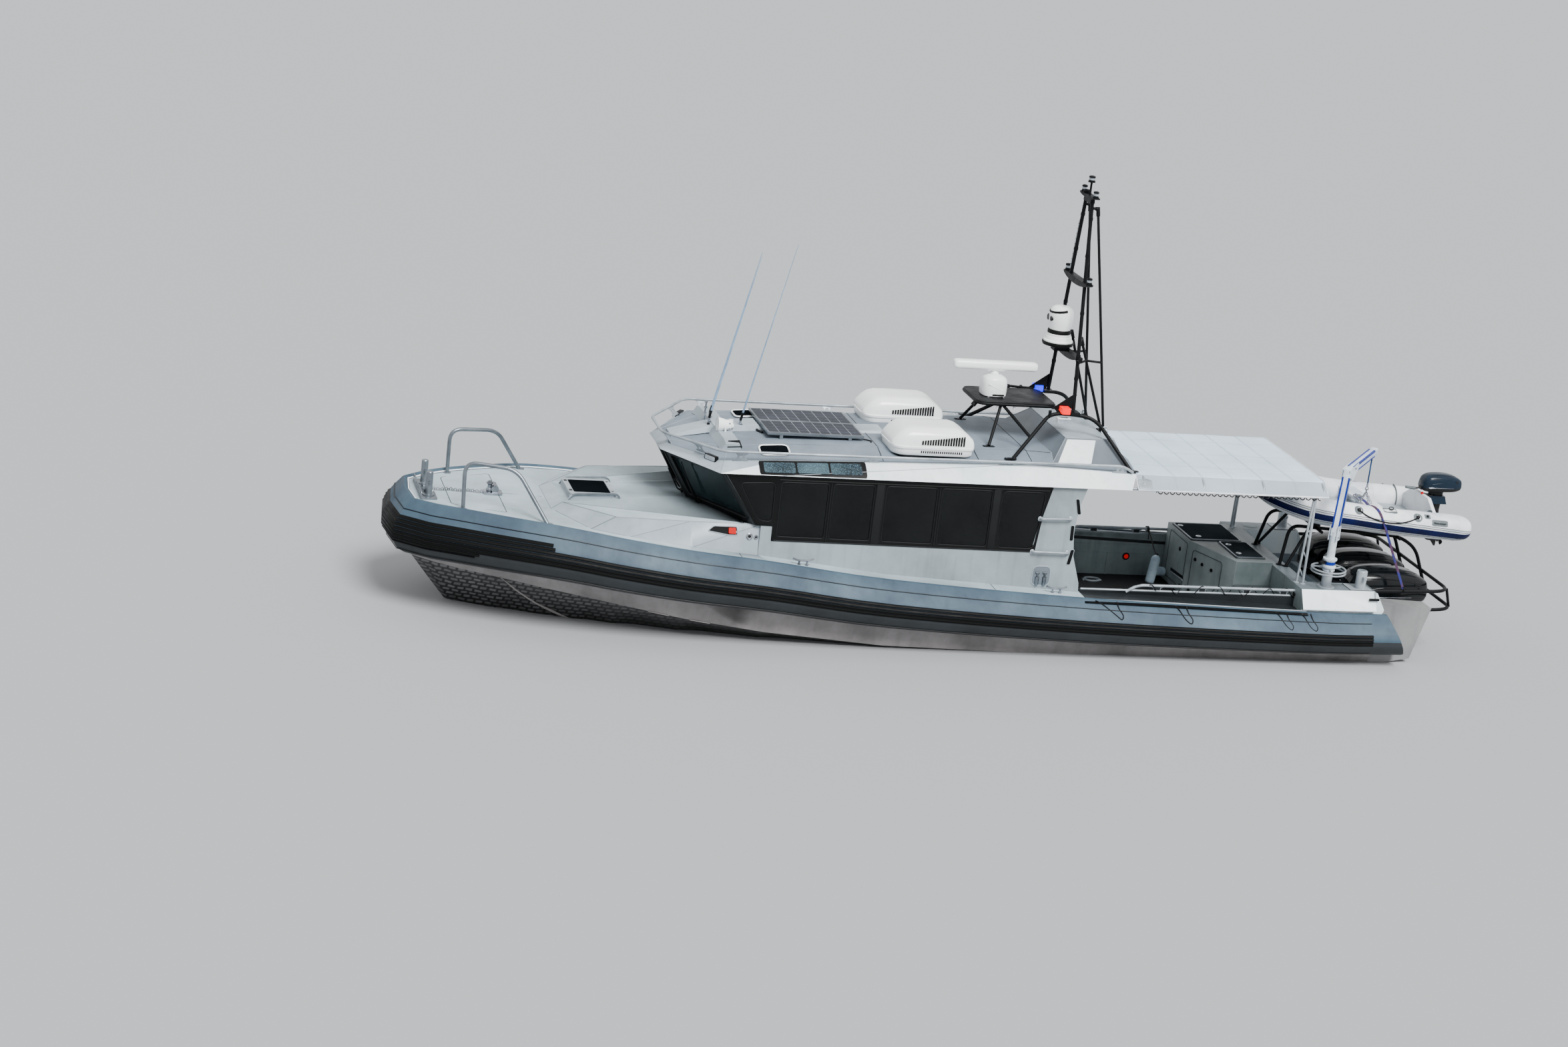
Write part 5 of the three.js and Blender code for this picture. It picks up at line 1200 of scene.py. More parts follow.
def shapeRoof():
    bm = cadShape("roof")

    def look(centre, normal):
        if normal.z < 0.1:
            return 1
        if centre.x > 3.09 or (centre.x > 2.3 and normal.z < 0.93):
            return 2
        # The aft hump's top keeps the grey paint; its other faces take the darker grey: painted shade
        if centre.x < -1.5 and centre.z > 2.36:
            return 2 if normal.z > 0.9 else 3
        return 1 if abs(centre.y) > 1.1 and centre.z < 2.315 else 0

    paintFaces(bm, look)
    piece("roofShell", bm, "boat", "roofGrip whitePaint greyPaint ridgePaint",
        replaced="roof", smooth=20, turnOut=False)
    fore, aft, foot, top, rise = roofGear["ridge"]
    bm = bmesh.new()
    rings = []
    for x, lift in ((fore, 0.02), (2.57, rise), (1.96, rise), (1.93, 0.03), (1.9, 0.03), (aft, 0.03)):
        z = onSlope(x, 0).z
        rings.append([(x, -foot, z - 0.004), (x, foot, z - 0.004), (x, top, z + lift), (x, -top, z + lift)])
    addRings(bm, rings)
    x0, x1, half, rise = roofGear["crossBox"]
    rings = []
    for y in (-half, -0.7, 0.7, half):
        z = onSlope(2.43, y).z
        rings.append([(x0, y, z - 0.03), (x1, y, z - 0.03), (x1 - 0.06, y, z + rise),
            (x0 + 0.04, y, z + rise)])
    addRings(bm, rings)
    for x in roofGear["seams"]:
        run = [onSlope(x, y, 0.001) for y in (1.08, 0.75, -0.75, -1.08)]
        addTube(bm, run, 0.004, 12, 2, section=oblong(-1, 1, -0.4, 0.4), up=(1, 0, 0))
    addWelds(bm, "roof", 0.004, lambda p: p.z > 2.14 and p.x > -2.5)
    for side in (-1, 1):
        addPatch(bm, [(x, side * (0.7 + (2.56 - z) * 1.2069 + 0.001), z + 0.001)
            for x, z in roofGear["panel"]], (0, side * 0.64, 0.77), 0.003, 1)
        lug = corners([(-0.045, 0), (0.045, 0), (0.03, 0.085), (-0.03, 0.085)], 0.02)
        addPlate(bm, lug, [circle(0, 0.05, 0.014, 14)], 0.012, (-2.42, side * 0.4, 2.558), (1, 0, 0),
            (0, 0, 1), (0, 1, 0), 1, 0.002)
    piece("roofRidge", bm, "boat", "greyPaint whitePaint blackTrim", bevel=0.004)


roofSkin = BVHTree.FromBMesh(cadShape("roof"))


# Flush panel on the fascia between two heights, which follows the roof's bend
def addFascia(bm, x0, x1, t0, t1, lift, thick, material):
    steps = max(2, round((x0 - x1) / 0.08))
    inner = [x0 - 0.012 + (x1 - x0 + 0.024) * k / steps for k in range(steps + 1)]
    rings = []
    for x in [x0, *inner, x1]:
        cut = 0.12 * (t1 - t0) if x in (x0, x1) else 0
        rows = [t0 + cut + (t1 - t0 - 2 * cut) * k / 4 for k in range(5)]
        outer = [landed(roofSkin, onFascia(x, t), (0, 0.6, 0.8), lift) for t in rows]
        rings.append([*outer, outer[-1] - Vector((0, 0.6, 0.8)) * thick,
            outer[0] - Vector((0, 0.6, 0.8)) * thick])
    addRings(bm, rings, material)


def shapeRoofWindows():
    fore, aft = roofGear["eyebrow"]
    bm = bmesh.new()
    addFascia(bm, fore, aft, 0.04, 0.97, 0.004, 0.012, 0)
    step = (fore - aft - 0.09) / 3
    for k in range(3):
        x0 = fore - 0.045 - k * step - 0.012
        addFascia(bm, x0, x0 - step + 0.024, 0.18, 0.85, 0.0075, 0.008, 1)
    piece("roofWindows", bm, "boat", "blackTrim paleGlass", mirror=True)
    bm = bmesh.new()
    for x0, x1, y0, y1 in roofGear["skylights"]:
        line = corners(oblong(x0, x1, y0, y1), 0.07)
        addPatch(bm, [onSlope(x, y) for x, y, _ in line], (0, 0, 1), 0.02, 1)
        addLoop(bm, [onSlope(x, y, 0.016) for x, y, _ in line], 0.011, 0, 8)
    piece("skylights", bm, "boat", "whitePlastic topGlass")


rail = {
    "run": [(-2.59, 1.12, 2.27), (-2.45, 1.13, 2.345), (2.61, 1.181, 2.328), (3.187, 0.346, 2.304)],
    "size": 0.0165, "bend": 0.12, "plates": [2.38, 0.75, -0.94], "hole": 0.02,
}


def addRailPlate(bm, low, high, along):
    low, high, along = Vector(low), Vector(high), Vector(along).normalized()
    upward = (high - low).normalized()
    outward = along.cross(upward).normalized()
    tall = (high - low).length
    half = [(0.095, 0), (0.09, 0.02), (0.05, 0.3 * tall), (0.044, 0.5 * tall), (0.05, 0.72 * tall),
        (0.075, tall - 0.012), (0.075, tall - 0.004)]
    outline = [*half, *[(-a, b) for a, b in reversed(half)]]
    addPlate(bm, outline, [circle(0, 0.52 * tall, rail["hole"], 16)], 0.007, low - outward * 0.0035, along,
        upward, outward, 0, 0.001)


def shapeRail():
    bm = bmesh.new()
    run = [Vector(p) for p in rail["run"]]
    addTube(bm, [*run, *flipped(reversed(run))], rail["size"], 16, bend=rail["bend"], steps=8)
    for side in (-1, 1):
        for x in rail["plates"]:
            top = run[1].lerp(run[2], (x - run[1].x) / (run[2].x - run[1].x))
            foot = onFascia(x, 0.98)
            addRailPlate(bm, (x, side * foot.y, foot.z), (x, side * top.y, top.z - 0.01), (1, 0, 0))
        along = (run[3] - run[2]).normalized()
        top = run[2].lerp(run[3], 0.42)
        addRailPlate(bm, (top.x - 0.075, side * (top.y - 0.02), 2.205), (top.x, side * top.y, top.z - 0.01),
            (along.x, side * along.y, 0))
        addRailPlate(bm, (3.06, side * 0.29, 2.165), (3.165, side * 0.29, 2.3), (0, 1, 0))
        addRailPlate(bm, (-2.42, side * 1.105, 2.25), (-2.42, side * 1.128, 2.335), (1, 0, 0))
    piece("roofRail", bm, "boat", "railPaint", replaced="roof_rail")


solar = {"x": (0.72, 1.925), "half": 0.545, "top": 2.418, "deep": 0.035, "columns": 9, "rows": 4,
    "rim": 0.017}


# Photovoltaic cells: squares set out by a grid of points
def shapeCells():
    x0, x1 = solar["x"]
    rim, middle = solar["rim"], 0.004
    wide = (x1 - x0 - 2 * rim) / solar["columns"]
    deep = (solar["half"] - middle - 2 * rim) / solar["rows"]
    spots = []
    for side in (-1, 1):
        for row in range(solar["rows"]):
            for column in range(solar["columns"]):
                y = side * (middle + rim + deep * (row + 0.5))
                spots.append((x0 + rim + wide * (column + 0.5), y, solar["top"] + 0.0004))
    mesh = bpy.data.meshes.new("solarCells")
    mesh.from_pydata(spots, [], [])
    obj = newObject("solarCells", mesh)
    tree, given = newTree("solarCells", [("cellSize", "Vector", (wide * 0.679, deep * 0.679, 1))])
    cell = addNode(tree, "GeometryNodeMeshCircle", {"Vertices": 4, "Radius": 1}, fill_type="NGON")
    turned = addNode(tree, "GeometryNodeTransform", {"Geometry": cell.outputs["Mesh"],
        "Rotation": (0, 0, math.radians(45))}).outputs["Geometry"]
    inputs = {"Points": given["Geometry"], "Instance": turned, "Scale": given["cellSize"]}
    copyPiece(obj, tree, inputs, "solarCell", "boat")


def shapeSolar():
    x0, x1 = solar["x"]
    top, low, rim, half = solar["top"], solar["top"] - solar["deep"], solar["rim"], solar["half"]
    bm = bmesh.new()
    for y0, y1 in ((-half, -0.003), (0.003, half)):
        outline = oblong(x0, x1, y0, y1)
        hole = oblong(x0 + rim, x1 - rim, y0 + rim, y1 - rim)
        addLevel(bm, outline, (0, 0, low), solar["deep"] + 0.002, 0.001, 0, [hole])
        addLevel(bm, hole, (0, 0, top - 0.0125), 0.012, 0, 1)
    for x in (x0 + 0.15, x1 - 0.19):
        addBox(bm, (x, -half, 2.31), (x + 0.04, half, low + 0.001), 0)
    addTube(bm, [(1.98, 0.13, 2.335), (1.96, 0.22, 2.335), (1.93, 0.29, 2.335)], 0.016, 10, 2)
    addTube(bm, [(0.74, 0.5, 2.37), (0.66, 0.52, 2.365), (0.62, 0.55, 2.362), (0.64, 0.6, 2.36)], 0.008, 8,
        2)
    piece("solarFrames", bm, "boat", "bareMetal solarBack blackTrim",
        replaced="solar_panels")
    shapeCells()


cooler = {
    "centre": (-0.033, 0.689), "lip": 2.448,
    # x, half breadth, height of the top, rounding
    "sections": [
        (0.482, 0.24, 2.475, 0.02), (0.46, 0.27, 2.515, 0.05), (0.40, 0.31, 2.585, 0.09),
        (0.33, 0.327, 2.638, 0.11), (0.25, 0.332, 2.661, 0.12), (0.1, 0.334, 2.665, 0.12),
        (-0.33, 0.334, 2.662, 0.12), (-0.4, 0.334, 2.645, 0.12), (-0.48, 0.332, 2.598, 0.1),
        (-0.535, 0.322, 2.55, 0.07), (-0.552, 0.3, 2.515, 0.04)],
    "plan": [(0.49, 0.2), (0.45, 0.29), (0.37, 0.344), (-0.5, 0.344), (-0.552, 0.3)],
}


def shapeCooler(side):
    cx, cy = cooler["centre"]
    bm = bmesh.new()
    rings = []
    for x, half, top, bend in cooler["sections"]:
        foot = cooler["lip"]
        arc = [(half, foot), (half * 0.995, max(top - bend - 0.03, foot + 0.005))]
        for k in range(1, 6):
            a = math.radians(18 * k)
            arc.append((half - 0.01 - bend * 1.1 * (1 - math.cos(a)),
                top - bend + bend * math.sin(a) - 0.004 * (5 - k) / 5))
        arc.append((half * 0.3, top))
        ring = [*arc, *[(-a, b) for a, b in reversed(arc)]]
        rings.append([(x, side * (cy + a), b) for a, b in ring])
    addRings(bm, rings, 0)
    plan = [*cooler["plan"], *[(x, -y) for x, y in reversed(cooler["plan"])]]
    plan = [(x, y) for x, y, _ in corners(plan, 0.05, 3)]

    def ringAt(z, grow):
        return [(cx + (x - cx) * (1 + grow * 0.65), side * (cy + y * (1 + grow)), z) for x, y in plan]

    # The lowest band of the base is black: painted shade in the gap under the unit
    for levels, material in ((((2.412, -0.04), (2.42, 0.0), (2.43, 0.008), (2.447, 0.006),
            (2.4525, -0.012)), 0), (((2.335, -0.09), (2.36, -0.035), (2.414, -0.03)), 0),
            (((2.3, -0.14), (2.337, -0.13)), 1)):
        addRings(bm, [ringAt(z, grow) for z, grow in levels], material)
    for face in (-1, 1):
        y = side * cy + face * 0.337
        for k in range(17):
            x = 0.115 - k * 0.0325
            top = 2.527 + (0.115 - x) / 0.53 * 0.072
            inner, outer = sorted((y, y + face * 0.0025))
            addBox(bm, (x - 0.0105, inner, 2.474), (x + 0.0105, outer, top), 1)
        y = side * cy + face * 0.3335
        inner, outer = sorted((y - face * 0.004, y + face * 0.003))
        for k in range(20):
            x = 0.12 - k * 0.0268
            addBox(bm, (x - 0.0075, inner, 2.372), (x + 0.0075, outer, 2.4), 1)
    label = "Port" if side > 0 else "Starboard"
    piece("airConditioner" + label, bm, "boat", "whitePlastic blackTrim",
        replaced="air_conditioner_" + label.lower(), smooth=42)


aerial = {
    "whips": [(2.56, 0.06, 2.2), (2.5, -0.18, 2.2), (2.18, 0.12, 2.4)], "lean": 0.2, "rise": 0.93,
}


def shapeRoofLamps():
    bm = bmesh.new()
    place = Vector((2.435, 0.33, 2.42))
    addTurned(bm, [(0, 0), (0.05, 0), (0.062, 0.012), (0.066, 0.07), (0.08, 0.125), (0.086, 0.165),
        (0.088, 0.175)], place - Vector((0.095, 0, 0)), 28, axis=(1, 0, 0.04))
    addTurned(bm, [(0.088, 0.175), (0.083, 0.178), (0.078, 0.168), (0, 0.163)],
        place - Vector((0.095, 0, 0)), 28, 1, axis=(1, 0, 0.04))
    for side in (-1, 1):
        addTube(bm, [(2.43, 0.33 + side * 0.03, 2.325), (2.43, 0.33 + side * 0.095, 2.34),
            (2.43, 0.33 + side * 0.095, 2.425)], 0.011, 10, bend=0.03)
    addTurned(bm, [(0, 0), (0.06, 0), (0.058, 0.03), (0.04, 0.05), (0, 0.052)], (2.43, 0.33, 2.275), 24)
    addTurned(bm, [(0, 0), (0.045, 0), (0.045, 0.03), (0.03, 0.05), (0.03, 0.09), (0, 0.095)],
        (2.31, 0.17, 2.36), 20)
    addBox(bm, (2.36, 0.34, 2.355), (2.385, 0.39, 2.465), 2, 0.002)
    piece("searchlight", bm, "boat", "whitePlastic clearLens steel",
        replaced="searchlight", smooth=40)
    bm = bmesh.new()
    for x, y, tall in aerial["whips"]:
        tip = (x - aerial["lean"] * tall, y, 2.42 + aerial["rise"] * tall)
        foot = Vector((x, y, 2.43))
        addTube(bm, [foot, foot.lerp(Vector(tip), 0.35)], 0.012, 10, taper=(1, 0.75))
        addTube(bm, [foot.lerp(Vector(tip), 0.35), tip], 0.009, 8, taper=(1, 0.35))
        addTube(bm, [foot, foot.lerp(Vector(tip), 0.045)], 0.016, 12, 2)
        addTurned(bm, [(0, 0), (0.036, 0), (0.034, 0.012), (0.018, 0.02), (0.018, 0.07), (0, 0.07)],
            (x, y, 2.3), 16, 2)
        addTube(bm, [(x, y, 2.36), (x, y, 2.44)], 0.015, 12, 1)
        addTube(bm, [(x - 0.02, y - 0.028, 2.385), (x - 0.02, y + 0.028, 2.385)], 0.01, 10, 1)
    for x0, x1, y0, y1 in ((2.47, 2.585, -0.2, 0.1), (2.14, 2.215, 0.07, 0.16)):
        addBox(bm, (x0, y0, 2.28), (x1, y1, 2.3), 1, 0.003)
    addTube(bm, [(2.545, -0.25, 2.3), (2.545, -0.25, 2.42), (2.54, -0.25, 2.56)], 0.011, 12, 1)
    for z in (2.4, 2.47, 2.54):
        addTurned(bm, oblong(0, 0.02, 0, 0.02), (2.542, -0.25, z), 14, 1)
    piece("whipAerials", bm, "boat", "whipBlue steel blackTrim", replaced="aerials")
    bm = bmesh.new()
    a, b = roofGear["floodlight"]
    for side in (1, -1):
        along = Vector((b[0] - a[0], side * (b[1] - a[1]), 0)).normalized()
        out = Vector((abs(along.y), side * abs(along.x), 0)).normalized()
        centre = Vector(((a[0] + b[0]) / 2, side * (a[1] + b[1]) / 2, 2.185))
        across = zenith.cross(out)
        for depth, wide, tall, material in ((0.05, 0.095, 0.034, 0), (0.053, 0.082, 0.025, 1)):
            outline = corners(oblong(-wide, wide, -tall, tall), 0.012, 3)
            addPlate(bm, outline, [], depth, centre - out * 0.005, across, zenith, out, material, 0.002)
        for step in (-0.05, 0.05):
            foot = centre - out * 0.01 + across * step + Vector((0, 0, -0.01))
            addTube(bm, [foot, foot - out * 0.05], 0.008, 8)
    addPatch(bm, [onSlope(2.49, 0.86, 0.03), onSlope(2.31, 0.86, 0.03), onSlope(2.33, 0.78, 0.07),
        onSlope(2.47, 0.78, 0.07)], (0, 0.6, 0.8), 0.012, 0, 0.03)
    piece("floodlights", bm, "boat", "blackTrim clearLens")


shapeRoof()
shapeRoofWindows()
shapeRail()
shapeSolar()
shapeCooler(1)
shapeCooler(-1)
shapeRoofLamps()
print("roof and its gear made")


radar = {
    "hoop": [(-1.03, 1.0, 2.3), (-1.6, 0.57, 2.8), (-1.76, 0.545, 2.828), (-2.2, 0.58, 2.8),
        (-2.61, 1.06, 2.24)],
    "brace": [(-1.06, 0.3, 2.855), (-1.33, 0.772, 2.56)], "rim": [
        (-1.74, 0.545, 2.828), (-1.74, 0.33, 2.865), (-1.3, 0.33, 2.852)],
    "shelf": (-1.76, -0.74, 0.38, 2.885), "axis": -1.02, "antenna": (0.545, 3.205),
}


def shapeRadarShelf():
    bm = bmesh.new()
    x0, x1, half, top = radar["shelf"]
    plate = corners(oblong(x0, x1, -half, half), 0.13, 6)
    addLevel(bm, plate, (0, 0, top - 0.02), 0.02, 0.003)
    rim = [(x * 0.996 - 0.005, y * 0.97, top - 0.028) for x, y, _ in plate]
    addLoop(bm, rim, 0.021, 0, 12)
    for side in (-1, 1):
        for run, size, bend in ((radar["hoop"], 0.024, 0.18), (radar["brace"], 0.02, 0),
                (radar["rim"], 0.02, 0.08)):
            addTube(bm, sided(run, side), size, 14, bend=bend, steps=7)
        addTube(bm, [(-1.06, side * 0.3, 2.852), (-0.86, side * 0.62, 2.395)], 0.02, 14)
        for x, y, z in ((-0.86, 0.62, 2.381), (-1.03, 1.0, 2.342), (-2.61, 1.055, 2.262)):
            foot = corners(oblong(-0.075, 0.075, -0.035, 0.035), 0.03)
            addLevel(bm, foot, (x, side * y, z), 0.008, 0.002)
            for step in (-0.05, 0.05):
                addTurned(bm, [(0, 0), (0.011, 0), (0.011, 0.008), (0, 0.01)],
                    (x + step, side * y, z + 0.008), 6, 1)
        fin = [(-1.9, 2.862), (-1.64, 2.862), (-1.93, 3.075), (-1.955, 3.06)]
        addPatch(bm, [(x, side * 0.492, z) for x, z in fin], (0, side, 0), 0.006, 0, 0.0)
        addBox(bm, (-2.0, side * 0.52 - 0.08, 2.82), (-1.87, side * 0.52 + 0.08, 2.853), 0, 0.006)
        addTube(bm, [(-1.6, side * 0.6, 2.79), (-1.6, side * 0.6, 2.87)], 0.02, 12)
        for x in (-1.22, -1.0):
            addTurned(bm, flange(0.016, 0.045, 0.01, 0.06, 0.06), (x, side * 0.34, 2.845), 12, 2,
                axis=(0, 0, -1))
    addTube(bm, [(-1.72, -0.46, 2.87), (-1.5, -0.47, 2.88), (-1.38, -0.475, 2.885)], 0.017, 12, bend=0.05)
    addTube(bm, [(-1.4, -0.475, 2.87), (-1.33, -0.475, 2.885)], 0.034, 14)
    addTube(bm, [(-0.745, 0.24, 2.84), (-0.71, 0.25, 2.8)], 0.032, 14)
    for x in (-1.13, -0.93):
        for y in (-0.1, 0.1):
            addTurned(bm, [(0, 0), (0.014, 0), (0.012, 0.01), (0, 0.011)], (x, y * 1.6, top), 8, 1)
    piece("radarShelf", bm, "boat", "blackCoat steel whitePlastic", replaced="radar_shelf")
    bm = bmesh.new()
    addBox(bm, (-1.88, 0.55, 2.715), (-1.7, 0.63, 2.783), 0, 0.006)
    addBox(bm, (-1.885, 0.632, 2.722), (-1.695, 0.645, 2.776), 1, 0.004)
    piece("hoopLamp", bm, "boat", "whitePlastic clearLens")


def shapeRadar():
    bm = bmesh.new()
    rings = []
    for z, front, back, half, power in ((2.886, 0.13, 0.15, 0.14, 3), (2.896, 0.15, 0.165, 0.155, 3),
            (2.95, 0.155, 0.17, 0.16, 3), (3.03, 0.15, 0.17, 0.158, 3), (3.095, 0.145, 0.16, 0.154, 2.8),
            (3.12, 0.13, 0.14, 0.14, 2.5), (3.134, 0.1, 0.11, 0.11, 2.2), (3.15, 0.085, 0.085, 0.085, 2)):
        ring = []
        for k in range(32):
            c, s = math.cos(2 * math.pi * k / 32), math.sin(2 * math.pi * k / 32)
            bulge = (abs(c) ** power + abs(s) ** power) ** (-1 / power)
            reach = front if c > 0 else back
            ring.append((radar["axis"] + reach * c * bulge, half * s * bulge, z))
        rings.append(ring)
    addRings(bm, rings)
    for side in (-1, 1):
        line = [(radar["axis"] + a, side * (0.159 - 0.06 * abs(a) ** 1.5 * 6), 2.955 + 0.4 * (a + 0.13))
            for a in (-0.1, -0.05, 0, 0.05, 0.1)]
        addTube(bm, line, 0.005, 8)
    addBox(bm, (-1.13, -0.158, 2.905), (-0.98, -0.15, 2.925), 1)
    addBox(bm, (-1.13, 0.15, 2.905), (-0.98, 0.159, 2.925), 1)
    addTurned(bm, oblong(0, 0.15, 0, 0.004), (radar["axis"], 0, 2.8845), 28, 1)
    piece("radarPedestal", bm, "boat", "whitePlastic blackTrim", replaced="radar_pedestal",
        smooth=45)
    half, foot = radar["antenna"]
    outline = [(-0.07, 0.028), (-0.052, 0.002), (0.052, 0.002), (0.07, 0.028), (0.068, 0.078),
        (0.046, 0.113), (-0.046, 0.113), (-0.068, 0.078)]
    profile = [(a, b) for a, b, _ in corners(outline, 0.02, 4)]
    bm = bmesh.new()
    rings = []
    for x, size in ((-half, 0.55), (-half + 0.008, 0.8), (-half + 0.03, 0.97), (-half + 0.06, 1),
            (half - 0.06, 1), (half - 0.03, 0.97), (half - 0.008, 0.8), (half, 0.55)):
        rings.append([(radar["axis"] + x, a * size, foot + 0.057 + (b - 0.057) * size) for a, b in profile])
    addRings(bm, rings)
    addTurned(bm, [(0, 0), (0.058, 0), (0.055, 0.02), (0.04, 0.04), (0.05, 0.062), (0, 0.062)],
        (radar["axis"], 0, 3.151), 24)
    addBox(bm, (radar["axis"] - 0.11, -0.05, foot - 0.004), (radar["axis"] + 0.11, 0.05, foot + 0.01), 0,
        0.004)
    piece("radarAntenna", bm, "radar_antenna", "whitePlastic", replaced="radar_antenna",
        smooth=40)


def shapeBeacons():
    for side, label, lens in ((1, "Port", "redLens"), (-1, "Starboard", "blueLens")):
        bm = bmesh.new()
        for half, z0, z1, inset, material in ((0.092, 2.819, 2.834, 0.002, 1),
                (0.09, 2.834, 2.872, 0.003, 0), (0.09, 2.874, 2.893, 0.004, 0),
                (0.084, 2.893, 2.91, 0.018, 0)):
            outline = corners(oblong(-0.057, 0.057, -half, half), 0.03)
            rings = [[(-1.805 + a * k, side * 0.545 + b * k, z) for a, b, _ in outline]
                for z, k in ((z0, 1), (z1 - 0.003, 1), (z1, 1 - inset * 4))]
            addRings(bm, rings, material)
        piece("beacon" + label, bm, "boat", lens + " blackTrim",
            replaced="beacon_" + label.lower())


mast = {
    "leg": [(-1.935, 0.5, 2.86), (-1.94, 0.12, 5.4)], "size": 0.0235,
    "rear": [(-1.945, 0.128, 5.33), (-2.015, 0.15, 5.33), (-2.425, 0.345, 2.568)],
    "lower": [(-1.94, 0.37, 3.7), (-2.025, 0.19, 3.7), (-2.42, 0.27, 2.568)], "strut": 0.0175,
    "plates": [(0.25, 5.475, 0.03), (0.44, 4.435, 0.07), (0.44, 3.51, 0.07)], "light": (4.5, 5.12),
}


def legAt(z, side):
    low, high = (Vector(p) for p in mast["leg"])
    spot = low.lerp(high, (z - low.z) / (high.z - low.z))
    return Vector((spot.x, side * spot.y, spot.z))


def addMastLamp(bm, y, z, tall=0.085, size=0.036):
    foot = [(0, 0), (size * 1.1, 0), (size * 1.1, 0.014), (size * 0.9, 0.018), (size * 0.9, 0.03),
        (0, 0.03)]
    lens = oblong(0, size * 0.86, 0.028, tall * 0.72)
    cap = [(0, tall * 0.7), (size, tall * 0.7), (size * 0.96, tall * 0.92), (size * 0.5, tall), (0, tall)]
    for profile, material in ((foot, 0), (lens, 1), (cap, 0)):
        addTurned(bm, profile, (-1.94, y, z), 20, material)


def shapeMast():
    bm = bmesh.new()
    for side in (-1, 1):
        addTube(bm, sided(mast["leg"], side), mast["size"], 16)
        for run in (sided(mast["rear"], side), sided(mast["lower"], side)):
            addTube(bm, run, mast["strut"], 14)
            knee, foot = Vector(run[1]), Vector(run[2])
            addTube(bm, [knee + Vector((0.03, 0, 0)), knee, knee + (foot - knee).normalized() * 0.09],
                0.025, 14)
            x, y, _ = run[2]
            addBox(bm, (x - 0.025, y - 0.055, 2.5605), (x + 0.045, y + 0.055, 2.574), 0, 0.003)
            addTube(bm, [(x + 0.004, y - 0.03, 2.6), (x + 0.004, y + 0.03, 2.6)], 0.012, 12)
        for run in ([(-2.105, 0.226, 3.434), (-2.3, 0.29, 3.434)],
                [(-1.935, 0.413, 3.434), (-2.112, 0.228, 3.434)]):
            addTube(bm, sided(run, side), 0.015, 12)
        for z in (3.25, 4.05, 4.75, 5.2):
            spot = legAt(z, side)
            addTube(bm, [spot - Vector((0, 0, 0.018)), spot + Vector((0, 0, 0.018))], 0.028, 14)
        addMastLamp(bm, side * 0.215, 5.472)
        addMastLamp(bm, side * 0.41, 4.434)
        addTube(bm, [(-1.94, side * 0.405, 3.49), (-1.94, side * 0.49, 3.49)], 0.026, 14)
        addTube(bm, [(-1.94, side * 0.395, 3.5), (-1.94, side * 0.395, 3.54)], 0.03, 14)
    addTurned(bm, flange(0.046, 0.025, 0.03, 0.04, 0.042), (-1.94, -0.12, 5.475), 16)
    for half, z, belly in mast["plates"]:
        turns = [math.radians(a) for a in range(0, 181, 15)]
        under = [(half * math.cos(a), z - 0.012 - belly * math.sin(a) ** 1.3) for a in turns]
        outline = [(half, z), *under, (-half, z)]
        addRings(bm, [[(x, a, b) for a, b in outline] for x in (-1.987, -1.893)])
    addBox(bm, (-1.97, -0.13, 5.385), (-1.91, 0.13, 5.46), 0, 0.004)
    addTube(bm, [(-1.94, 0, 5.47), (-1.94, 0, 5.64)], 0.014, 12)
    addMastLamp(bm, 0, 5.628, 0.082, 0.042)
    addBox(bm, (-1.94, -0.07, 3.5), (-1.73, 0.07, 3.562), 0, 0.01)
    addTurned(bm, [(0, 0), (0.15, 0), (0.19, 0.008), (0.19, 0.0195), (0, 0.0195)], (-1.79, 0, 3.56), 32)
    piece("mastFrame", bm, "boat", "blackCoat clearLens", replaced="mast")
    bm = bmesh.new()
    low, high = mast["light"]
    outward = Vector((0.25, -1, 0.1)).normalized()
    run = [legAt(z, -1) + outward * 0.026 for z in (low, high)]
    addTube(bm, run, 0.013, section=oblong(-1, 1, -1, 1), up=(0, 1, 0))
    for k in range(9):
        spot = legAt(low + 0.04 + k * 0.066, -1) + outward * 0.026
        addBox(bm, spot - Vector((0.015, 0.015, 0.003)), spot + Vector((0.015, 0.015, 0.003)), 1)
    piece("mastStripLight", bm, "boat", "clearLens blackTrim")


# Profiles of (radius, height) with their material numbers
camera = {
    "x": -1.79, "base": 3.58,
    "baseForms": [
        ([(0, 0), (0.19, 0), (0.2, 0.008), (0.2, 0.026), (0.192, 0.034), (0, 0.034)], 1),
        ([(0, 0.032), (0.186, 0.034), (0.184, 0.05), (0.168, 0.062), (0.162, 0.1), (0.158, 0.108),
            (0, 0.108)], 0)],
    "headForms": [
        ([(0, 0), (0.146, 0), (0.15, 0.006), (0.151, 0.022), (0.146, 0.028), (0, 0.028)], 0),
        ([(0, 0.026), (0.147, 0.026), (0.148, 0.058), (0.144, 0.07), (0.14, 0.08), (0, 0.08)], 1),
        ([(0, 0.078), (0.135, 0.08), (0.138, 0.1), (0.147, 0.14), (0.153, 0.19), (0.155, 0.24),
            (0.152, 0.285),
          (0.14, 0.325), (0.118, 0.352), (0.085, 0.369), (0.04, 0.3755), (0, 0.376)], 0)],
}


